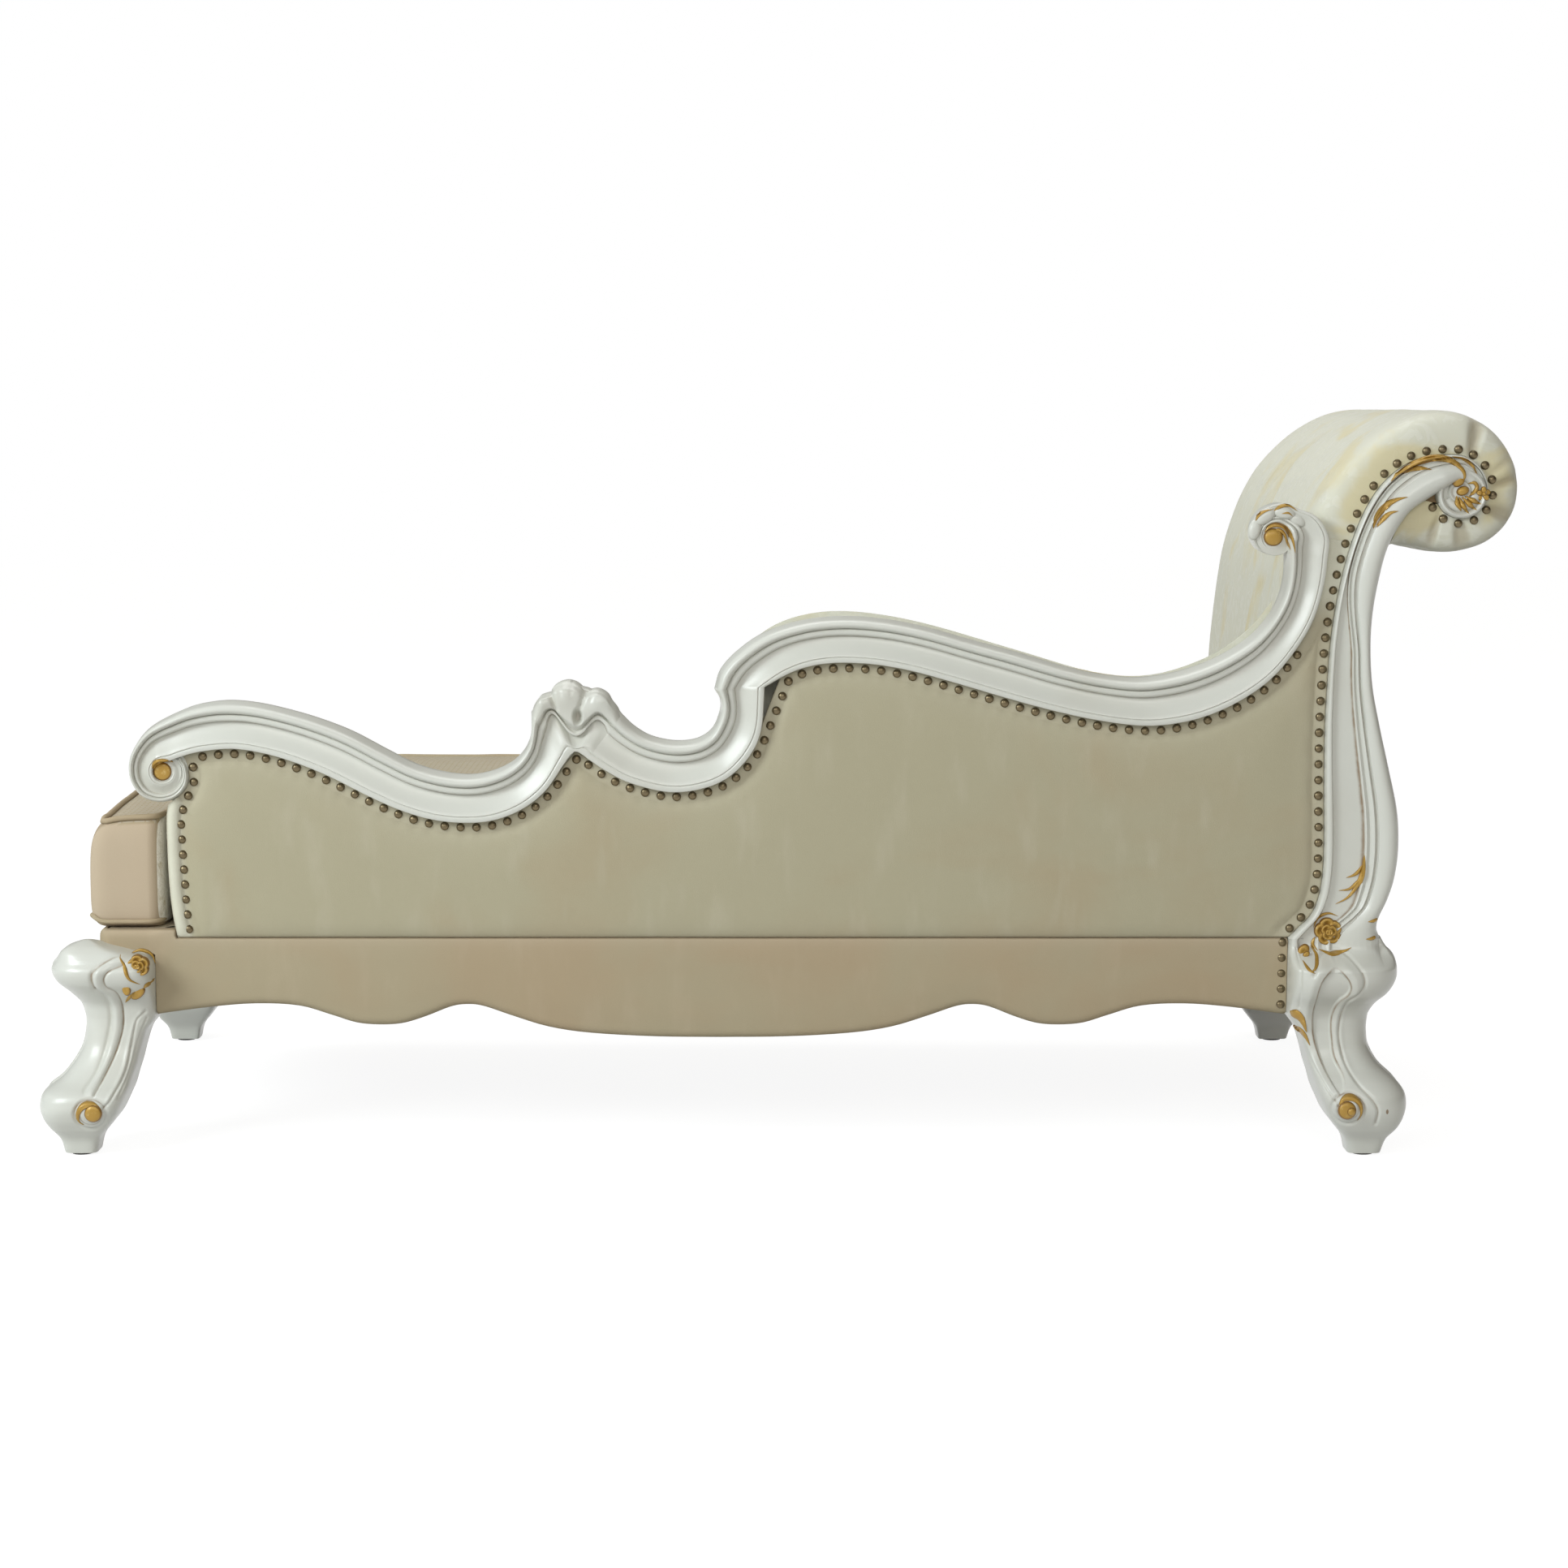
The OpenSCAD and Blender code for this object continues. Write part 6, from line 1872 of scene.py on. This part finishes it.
@dataclass
class HeadCovers:
    """The padded inner back with its roll, the outer back and the webbing."""

    steps: int = 7
    across: int = 24
    end_face: float = 105.0
    folds: tuple = ((1.0, 7, 20), (0.8, 11, 75), (0.5, 17, 10))

    @staticmethod
    def section_rows() -> Array:
        """Gives the roll's end face: share across, and how far it rounds off."""
        return smooth([(0.995, 0), (0.82, -0.6), (0.62, 0), (0.40, 2.2), (0.22, 7.5), (0.10, 17), (0.035, 34),
                       (0.008, 62), (0, 105)], 4)

    def make_inner_back(self) -> None:
        """Makes the damask that runs from the deck over the back into the roll."""
        n = self.steps
        head = LINES.head_run(n)
        beside = LINES.beside * n
        tuck = smooth(np.vstack([head[-1, :4], LINES.tuck]), 4)[1:]
        run = np.vstack([head[n:, :4], tuck])
        run = np.insert(run, beside - n, run[beside - n], 0)
        run[0, 1] = run[0, 3] = LINES.deck_top + 0.5
        edge = run[:, 2:] + 0.5 * unit(run[:, :2] - run[:, 2:])
        share, inset = self.section_rows().T
        k = len(share)
        flat_part = np.zeros(self.across)
        # Painted warm light along the roll's rounded edges; the shade below is painted shade in the tucked
        # folds.
        glow = np.exp(-((share - 0.75) / 0.35) ** 2)
        warm = np.concatenate([glow, flat_part, glow[::-1]])
        rings, seam = [], []
        for i, (c, e) in enumerate(zip(run[:, :2], edge)):
            whole = i > beside - n
            at = i + n - whole
            front = LINES.face_y
            rear = front if whole else LINES.lining_y - 0.3
            middle = (c + e) / 2 - LINES.post_eye
            a = math.degrees(math.atan2(middle[1], middle[0]))
            turned = float(ramp(17.5 * n, 19 * n, at) * (1 - ramp(26.5 * n, 28 * n, at)))
            wave = sum(k * math.cos(math.radians(a * f + s)) for k, f, s in self.folds)
            tucked = max(0.0, -wave - 0.2) * turned
            drop = inset + tucked * 5.0 * np.exp(-((share - 0.45) / 0.42) ** 2)
            level = np.linspace(self.end_face - rear, front - self.end_face, self.across + 2)[1:-1]
            y = np.concatenate([drop - rear, level, (front - drop)[::-1]])
            p = c + (e - c) * np.concatenate([share, flat_part, share[::-1]])[:, None]
            rings.append(np.column_stack([p[:, 0], y, p[:, 1]]))
            shade = np.minimum(0.55, tucked * 0.8 * np.exp(-((share - 0.5) / 0.35) ** 2))
            seam.append(np.concatenate([shade, flat_part, shade[::-1]]))
        rings = np.array(rings)
        soft = 1.5 * lumps(rings.reshape(-1, 3), 170, 21).reshape(rings.shape[:2])[:, k:-k, None]
        rings[:, k:-k, ::2] += soft * unit(run[:, 2:] - run[:, :2])[:, None]
        shape = Shape()
        shape.loft(rings, seam=seam, warm=warm)
        hand_in(shape, "back_damask_and_roll", Finishes.DAMASK, nodes=["inner_back_cover"],
                flat_over=70)

    def make_outer_back(self) -> None:
        """Makes the outer back between the posts."""
        head = LINES.head_run(self.steps)[:LINES.beside * self.steps]
        far, way = head[:, 4:], unit(head[:, 2:4] - head[:, 4:])
        out, back = far + way * 1.0, far + way * 9.6
        out[0, 1] = back[0, 1] = LINES.base_top + 0.4
        y = np.linspace(-LINES.board_y + 0.4, LINES.board_y - 0.4, 46)
        rim = np.minimum(y - y[0], y[-1] - y)
        rise = 1.6 * ramp(0, 30, rim) - 1.6
        shape = Shape()
        shape.loft(np.array([[(*(o - w * r), v) for v, r in zip(y, rise)] + [(*b, v) for v in y[::-1]]
                             for o, w, b in zip(out, way, back)])[..., [0, 2, 1]])
        hand_in(shape, "back_damask_outside", Finishes.DAMASK, nodes=["outer_back_cover"])

    def make_webbing(self) -> None:
        """Makes the jute straps behind the padding."""
        run = LINES.head_run(2)[4:33]
        way = unit(run[:, 4:] - run[:, 2:4])
        shape = Shape()
        for mid in np.linspace(-300.7, 300.7, 6):
            y = mid + np.linspace(-25, 25, 7)
            shape.loft(np.array([[(*(p + w * 0.4), v) for v in y] + [(*(p + w * 1.7), v) for v in y[::-1]]
                                 for p, w in zip(run[:, 2:4], way)])[..., [0, 2, 1]])
        hand_in(shape, "back_jute_webbing", Finishes.HESSIAN, nodes=["back_webbing"])

    def build(self) -> None:
        """Makes the covers of the head."""
        self.make_inner_back()
        self.make_outer_back()
        self.make_webbing()


@dataclass
class BaseCovers:
    """The velvet covers of the seat's base, with scalloped lower edges."""

    edge_round: float = 11.0
    corner_round: float = 20.0
    corner_cut: float = 5.86
    top_round: float = 11.0
    tight_round: float = 3.5
    over_leg: float = 278.0
    rows: tuple = (1.2, 2.5, 4, 6, 9, 13, 20)

    @staticmethod
    def rounding(far: Array, radius: float) -> Array:
        """Gives how far a rounded edge draws back.

        Args:
            far: the distance from the edge.
            radius: the radius of the rounding.

        Returns:
            The draw-back at each point.
        """
        d = np.clip(radius - far, 0, radius)
        return radius - np.sqrt(np.maximum(radius ** 2 - d ** 2, 0))

    def long_side(self, name: str, side: int, joined: bool) -> None:
        """Makes the cover of one long side.

        Args:
            name: its CAD node.
            side: -1 for the carved side, 1 for the open one.
            joined: whether the side panel stands on it.
        """
        x0 = LINES.foot_x + self.corner_cut
        deck = LINES.deck_top
        top = [(x0, self.over_leg), (x0, deck - 3), (x0 + 3, deck - 0.5), (x0 + 9, deck)]
        top += [(-838.5, deck), (-838.5, LINES.base_top)] * joined
        top += [(LINES.head_leg_x, LINES.base_top if joined else deck)]
        low = LINES.long_scallop()
        loop = np.vstack([top, [(LINES.head_leg_x, 200)], low[::-1], [(LINES.foot_leg_x, self.over_leg)]])
        upper = np.array(top[3:], float)
        corner = np.array([(x0, self.over_leg), (x0, deck)], float)

        def height(p: Array) -> Array:
            """Gives the swell of the face.

            Args:
                p: points of its plane.

            Returns:
                How far each stands off the plane.
            """
            h = 1.8 * ramp(0, 40, near(p, low)[0]) - 1.8
            h -= self.rounding(near(p, low)[0], self.edge_round)
            free = 1 - ramp(-880, -850, p[:, 0]) if joined else 1
            rim = near(p, upper)[0]
            h -= self.rounding(rim, self.top_round) * free + self.rounding(rim, self.tight_round) * (1 - free)
            h -= self.rounding(near(p, corner)[0] + self.corner_cut, self.corner_round)
            return h + 0.5 * lumps(p, 140, 15 + side) + 1.4

        shape = Shape()
        panel = Panel(loop, spacing=10, edge_step=4.5, rows=self.rows)
        # Painted shade along the top edge where the cover meets what sits on it, and a painted highlight on
        # the rounded top edge.
        panel.skin(shape, height, lambda p, h: np.column_stack([p[:, 0], side * (LINES.face_y + h), p[:, 1]]),
                   12, seam=lambda p: 0.75 * hump(near(p, upper)[0], 1.6),
                   light=lambda p: 0.3 * np.exp(-np.maximum(near(p, upper)[0] - 2, 0) / 9))
        hand_in(shape, name + "_velvet", Finishes.SEAT, nodes=[name], flat_over=None)

    def end(self, name: str, x: float, way: int, wide: float, top: float, shelf: float) -> None:
        """Makes the cover of one end.

        Args:
            name: its CAD node.
            x: the plane of its face.
            way: the way it faces along X.
            wide: half its width above the legs.
            top: the height of its upper edge.
            shelf: its height over the legs.
        """
        low = LINES.end_scallop()
        loop = np.vstack([low, [(LINES.leg_y - 0.2, shelf), (wide, shelf), (wide, top), (-wide, top),
                                (-wide, shelf), (-LINES.leg_y + 0.2, shelf)]])
        upper = np.array([(-wide, top), (wide, top)], float)
        sides = [np.array([(s * wide, shelf), (s * wide, top)], float) for s in (-1, 1)]
        at_foot = shelf < LINES.base_top - 15

        def height(p: Array) -> Array:
            """Gives the swell of the face.

            Args:
                p: points of its plane.

            Returns:
                How far each stands off the plane.
            """
            h = -self.rounding(near(p, low)[0], self.edge_round)
            h -= self.rounding(near(p, upper)[0], self.top_round if at_foot else self.tight_round)
            for s in sides * at_foot:
                h -= self.rounding(near(p, s)[0] + self.corner_cut, self.corner_round)
            return h + 0.5 * lumps(p, 120, 31)

        shape = Shape()
        panel = Panel(loop, spacing=12, edge_step=5, rows=self.rows)
        # Painted shade along the top edge.
        panel.skin(shape, height, lambda p, h: np.column_stack([x + way * h, p[:, 0], p[:, 1]]), 11.5,
                   seam=lambda p: 0.6 * hump(near(p, upper)[0], 1.6))
        hand_in(shape, name + "_velvet", Finishes.SEAT, nodes=[name], flat_over=None)

    def build(self) -> None:
        """Makes the four covers of the base."""
        self.long_side("base_cover_rear", -1, True)
        self.long_side("base_cover_front", 1, False)
        self.end("base_cover_foot", LINES.foot_x, -1, LINES.face_y - self.corner_cut, LINES.deck_top,
                 self.over_leg)
        self.end("base_cover_head", LINES.head_x, 1, LINES.leg_y, LINES.base_top, 290)


@dataclass
class Deck:
    """The layers under the cushion, and the dust cloth below."""

    x_ends: tuple = (-934, 704)
    half_deep: float = 367.0
    side_foot: float = -851.0
    beside_side: float = -342.5
    leg_in: float = 299.0
    sheet_size: tuple = (1.638, 0.734)
    strip: tuple = (1.555, 0.0245)

    def layer(self, name: str, node: str, finish: Finishes, low: float, high: float,
              sag: float) -> bpy.types.Object:
        """Makes one layer of the deck.

        Args:
            name: its name.
            node: its CAD node.
            finish: its finish.
            low: the height of its underside.
            high: the height of its top.
            sag: how uneven its top is.

        Returns:
            The object.
        """
        grid = lattice(np.linspace(*self.x_ends, 110), np.linspace(-self.half_deep, self.half_deep, 50))
        x, y = grid[..., 0], grid[..., 1]
        y[(x > self.side_foot) & (y < self.beside_side)] = self.beside_side
        flat = grid.reshape(-1, 2)
        top = high - sag * (0.6 + 0.4 * lumps(flat, 260, 6)).clip(0, 1)
        shape = Shape()
        upper = np.column_stack([flat, top]).reshape(*grid.shape[:2], 3)
        if high - low < 3:
            shape.loft(upper, round_ring=False, caps=False, level=1.0)
        else:
            under = np.column_stack([flat, np.full(len(flat), low)]).reshape(*grid.shape[:2], 3)
            shape.loft(np.concatenate([upper, under[:, ::-1]], 1), level=1.0)
        return hand_in(shape, name, finish, nodes=[node])

    def build(self) -> None:
        """Makes hessian, pad, deck cloth and dust cloth."""
        hessian = self.layer("deck_jute_hessian", "deck_hessian", Finishes.HESSIAN, 298.6, 299.4, 0.4)
        pad = self.layer("deck_cotton_pad", "deck_pad", Finishes.WADDING, 299.9, 309.8, 1)
        cloth = self.layer("deck_velvet", "deck_cloth", Finishes.SEAT, 311.2, 311.9, 0.4)
        low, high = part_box("dust_cloth")
        grid = lattice(np.linspace(low.x / MM + 1, high.x / MM - 1, 70),
                       np.linspace(low.y / MM + 1, high.y / MM - 1, 34))
        x, y = grid[..., 0], grid[..., 1]
        legs = (np.abs(y) > self.leg_in) & ((x < -867) | (x > 711))
        y[legs] = np.sign(y[legs]) * self.leg_in
        flat = grid.reshape(-1, 2)
        shape = Shape()
        z = (low.z / MM + high.z / MM) / 2 + 0.5 * lumps(flat, 210, 9)
        shape.loft(np.column_stack([flat, z]).reshape(*grid.shape[:2], 3), round_ring=False, caps=False)
        dust = hand_in(shape, "black_dust_cloth", Finishes.CAMBRIC, nodes=["dust_cloth"])


@dataclass
class Cushion:
    """The loose seat cushion: boxed cover, two lines of piping and filling."""

    base_z: float = 312.3
    thick: float = 162.0
    crown: float = 10.0
    rear: float = -298.6
    ear_rear: float = -371.0
    front: float = 376.0
    corner: int = 24
    below: int = 24
    cloth: float = 4.6
    filling_share: float = 0.9944
    stations: tuple = (
        (-963, 30, 76, 26, 1), (-959, 12, 44, 10, 1), (-951, 3, 24, 3, 1), (-938, 0, 13, 0, 1),
        (-915, 0, 8, 0, 1), (-885, 0, 6, 0, 1), (-875, 0, 5.6, 0, 0.99), (-868, 0, 5.3, 0, 0.93),
        (-864.5, 0, 5.2, 0, 0.84), (-862.5, 0, 5.1, 0, 0.72), (-861.5, 0, 5.1, 0, 0.5), (-861, 0, 5, 0, 0),
        (-835, 0, 4, 1, 0), (-800, 0, 2.8, 2, 0),
        (-650, 0, 0, 4, 0), (-450, 0, 0, 6, 0), (-200, 0, 0, 7, 0), (100, 0, 0, 6, 0), (350, 0, 0, 4, 0),
        (560, 0, 2, 1, 0), (640, 0, 6, 0, 0), (667, 0, 14, 3, 0), (677, 6, 28, 10, 0), (681, 20, 60, 24, 0))

    def ring(self, s: Array, draw: float, across: int = 40) -> tuple[Array, list[int]]:
        """Draws one section of the cushion.

        Args:
            s: its x, lift, drop, draw-in and share of the ear.
            draw: how far it is drawn in.
            across: how many points lie across its top.

        Returns:
            The ring, and its upper corners' numbers.
        """
        low, high = self.base_z + s[1] + draw, self.base_z + self.thick - s[2] - draw
        rear = self.rear + (self.ear_rear - self.rear) * s[4] + s[3] + draw
        front = self.front - s[3] - draw
        rise = self.crown * max(0.0, 1 - s[2] / 60)
        tall = high - low
        side = smooth([(16, low), (5, low + 7), (0.5, low + min(26, tall * 0.2)), (0, low + 0.42 * tall),
                       (0.5, high - min(34, tall * 0.3)), (4, high - 12), (10, high - 4), (24, high + 0.5),
                       (50, high + 1.5)], 4)
        y = np.linspace(rear + 50, front - 50, across)[1:-1]
        t = np.abs(2 * (y - (rear + front) / 2) / (front - rear - 100))
        top = np.column_stack([y, high + 1.5 + rise * (1 - t ** 2.4)])
        left = np.column_stack([rear + side[:, 0], side[:, 1]])
        right = np.column_stack([front - side[:, 0], side[:, 1]])[::-1]
        under = np.linspace(front - 16, rear + 16, self.below + 2)[1:-1]
        under = np.column_stack([under, np.full(len(under), low)])
        ring = np.vstack([left, top, right, under])
        corners = [self.corner, len(ring) - self.below - 1 - self.corner]
        return np.column_stack([np.full(len(ring), s[0]), ring]), corners

    def skin(self, draw: float) -> tuple[Array, list[int]]:
        """Draws all sections of the cushion.

        Args:
            draw: how far it is drawn in.

        Returns:
            The rings, and the corners' numbers.
        """
        runs = [smooth(self.stations[:12], 5), smooth(self.stations[12:], 7)]
        rings = [self.ring(s, draw) for s in np.vstack(runs)]
        return np.array([r[0] for r in rings]), rings[0][1]

    def build(self) -> None:
        """Makes the cushion's cover, piping and filling."""
        rings, corners = self.skin(0.0)
        flat = rings.reshape(-1, 3)
        up = np.clip((flat[:, 2] - self.base_z) / 40, 0, 1)
        soft = (lumps(flat, 190, 2) * 1.8 + lumps(flat, 60, 7) * 0.6) * up
        rings[:, :, 2] += (soft * (flat[:, 2] > self.base_z + 120)).reshape(rings.shape[:2])
        level = (rings[:, :, 2] > self.base_z + self.thick - 14).astype(float)
        # Painted shade along the upper corners, under the piping.
        seam = np.zeros(rings.shape[:2])
        # Painted highlight on the sides of the cushion's foot end.
        light = 0.55 * (rings[:, :, 2] < self.base_z + self.thick - 16) * (rings[:, :, 0] < -850)
        for c in corners:
            for k in range(-3, 4):
                seam[:, c + k] = max(0, 0.5 - abs(k) * 0.18)
        cover = Shape()
        cover.loft(rings, level=level, seam=seam, light=light)
        hand_in(cover, "seat_cushion", Finishes.SEAT, "cushion", ["cushion_cover"], flat_over=60)
        core, _ = self.skin(self.cloth)
        middle = (self.stations[0][0] + self.stations[-1][0]) / 2
        core[:, :, 0] = middle + (core[:, :, 0] - middle) * self.filling_share
        filling = Shape()
        filling.loft(core[::2])
        hand_in(filling, "seat_cushion_filling", Finishes.WADDING, "cushion", ["cushion_core"])
        self.make_piping(rings, corners)

    def make_piping(self, rings: Array, corners: list[int]) -> None:
        """Makes the two lines of piping.

        Args:
            rings: the cushion's sections.
            corners: the numbers of their upper corners.
        """
        full, out = len(rings[0]) - self.below, 2.6
        for name, node, rim, (c, d), lift, radius in (
                ("cushion_piping_top", "cushion_top_piping", 16, corners, out, 4),
                ("cushion_piping_under", "cushion_bottom_piping", 8, (5, full - 6), -1.5, 3.4)):
            first, last = rim, len(rings) - rim + 1
            ends = [rings[k, c:d + 1] if lift > 0 else rings[k, [c, d]] for k in (last, first - 1)]
            path = np.vstack([rings[first:last, c] + (0, -out, lift), ends[0] + (out, 0, lift),
                              rings[first:last, d][::-1] + (0, out, lift), ends[1][::-1] + (-out, 0, lift)])
            cord = Shape()
            cord.tube(evenly(path, 9, closed=True), radius, 10, closed=True)
            hand_in(cord, name, Finishes.SEAT, "cushion", [node])


# Hidden timber and steel


@dataclass
class Joinery:
    """Finishes of the CAD nodes that are kept."""

    finishes: tuple = (
        (Finishes.TIMBER, ("seat_rail_rear", "seat_rail_front", "seat_rail_foot", "seat_rail_head",
                           "cross_stretchers", "corner_blocks", "side_uprights", "head_cheek_rear",
                           "head_cheek_front", "head_cross_rails")),
        (Finishes.SPRING, ("seat_springs", "spring_clips")),
        (Finishes.BOLT, ("leg_bolts",)),
        (Finishes.BOARD, ("roll_core",)),
        (Finishes.GLIDE, ("floor_glides",)))

    def build(self) -> None:
        """Gives each kept node its finish."""
        for finish, nodes in self.finishes:
            for node in nodes:
                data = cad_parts[node].data
                data.materials.clear()
                data.materials.append(finish.value.material())
                LOG.info("%s: finished as %s", node, finish.value.name)


# Studio


@dataclass
class Studio:
    """Floor, light and camera."""

    camera_at: tuple = (-0.0165, -4.760, 1.0366)
    pitch: float = 6.779
    lens: float = 73.04
    shift: float = 0.0119
    floor_ends: tuple = (-14, -9, 14, 16)
    floor_dark: Colour = (0.56, 0.56, 0.55, 1)
    floor_light: Colour = (0.60, 0.60, 0.59, 1)
    floor_glow: float = 1.52
    sky_warm: Colour = (1.0, 0.86, 0.70, 1)
    sky_cool: Colour = (0.95, 0.98, 1.0, 1)
    sky_least: float = 0.06
    sky_span: float = 0.47
    white: Colour = (1, 1, 1, 1)

    def make_floor(self) -> None:
        """Lays a floor that keeps the shadow and shows white."""
        mesh = bpy.data.meshes.new("studio_floor")
        x0, y0, x1, y1 = self.floor_ends
        mesh.from_pydata([(x0, y0, 0), (x1, y0, 0), (x1, y1, 0), (x0, y1, 0)], [], [(0, 1, 2, 3)])
        floor = placed("studio_floor", mesh)
        g = Graph("studio_floor")
        speck = g.noise(40, 2)
        g.dress(g.mix(self.floor_dark, self.floor_light, speck), 0.8)
        white = g.node("ShaderNodeEmission", {}, {"Color": self.white, "Strength": self.floor_glow})
        path = g.node("ShaderNodeLightPath")
        camera, glossy, through = (Value(g, path.outputs[f"Is {kind} Ray"])
                                   for kind in ("Camera", "Glossy", "Transmission"))
        seen = camera.math("MAXIMUM", glossy).math("MAXIMUM", through)
        both = g.node("ShaderNodeMixShader", {}, {0: seen * 0.6, 1: g.shader.outputs[0], 2: white.outputs[0]})
        g.tree.links.new(both.outputs[0], g.out.inputs[0])
        mesh.materials.append(g.made)

    def make_world(self) -> None:
        """Sets a soft sky that shows white to the camera."""
        world = bpy.data.worlds.new("studio_sky")
        bpy.context.scene.world = world
        world.use_nodes = True
        g = Graph(world.name, world.node_tree)
        way = g.node("ShaderNodeVectorMath", {"operation": "DOT_PRODUCT"},
                     {0: g.node("ShaderNodeTexCoord").outputs["Generated"], 1: (-0.75, -0.5, 0.45)})
        side = Value(g, way.outputs["Value"]).between(-0.9, 0.9)
        soft = g.node("ShaderNodeBackground", {}, {
            0: g.mix(self.sky_warm, self.sky_cool, side), 1: side * self.sky_span + self.sky_least})
        white = g.node("ShaderNodeBackground", {}, {0: self.white, 1: 1.0})
        path = g.node("ShaderNodeLightPath")
        both = g.node("ShaderNodeMixShader", {}, {0: path.outputs["Is Camera Ray"], 1: soft.outputs[0],
                                                  2: white.outputs[0]})
        g.node("ShaderNodeOutputWorld", {}, {"Surface": both.outputs[0]})

    @staticmethod
    def lamp(name: str, at: Sequence, aim: Sequence, size: Sequence, power: float, colour: Sequence) -> None:
        """Hangs a soft lamp.

        Args:
            name: its name.
            at: where it hangs.
            aim: what it points at.
            size: its width and height.
            power: its power in watts.
            colour: its colour.
        """
        light = bpy.data.lights.new(name, "AREA")
        light.shape, light.size, light.size_y = "RECTANGLE", size[0], size[1]
        light.energy, light.color = power, colour
        turn = (Vector(aim) - Vector(at)).to_track_quat("-Z", "Y")
        placed(name, light, at).rotation_euler = turn.to_euler()

    def make_camera(self) -> None:
        """Sets the camera at the photograph's place."""
        data = bpy.data.cameras.new("camera")
        data.lens, data.sensor_width = self.lens, 36.0
        data.shift_x = self.shift
        obj = placed("camera", data, self.camera_at)
        obj.rotation_euler = (math.radians(90 - self.pitch), 0, 0)
        bpy.context.scene.camera = obj

    def build(self) -> None:
        """Sets up the studio."""
        self.make_floor()
        self.make_world()
        self.lamp("key", (-3.6, -3, 2.6), (-0.1, 0, 0.45), (2.0, 1.8), 140, (0.91, 0.975, 1))
        self.lamp("fill", (3.2, -3.4, 1.4), (0.1, 0, 0.5), (2.4, 2), 3, (1, 0.94, 0.84))
        self.lamp("front", (0.2, -4.6, 2.6), (0, 0, 0.5), (3.4, 1.2), 50, (1, 0.97, 0.92))
        self.lamp("top", (0.2, 0.6, 3.4), (0, 0, 0.4), (3.0, 1.6), 36, (1, 1, 1))
        self.make_camera()
        scene = bpy.context.scene
        scene.view_settings.view_transform = "Standard"


def main() -> None:
    """Builds every piece in order and notes the sizes."""
    logging.basicConfig(level=logging.INFO, format="%(message)s")
    Studio().build()
    Joinery().build()
    CarvedRail().build()
    post = HeadPost()
    post.build()
    for corner in Corner:
        Leg(corner, post.whole).build()
    Nails().build()
    SideCovers().build()
    HeadCovers().build()
    BaseCovers().build()
    Deck().build()
    Cushion().build()
    LOG.info("all pieces are in place")


if __name__ == "__main__":
    main()
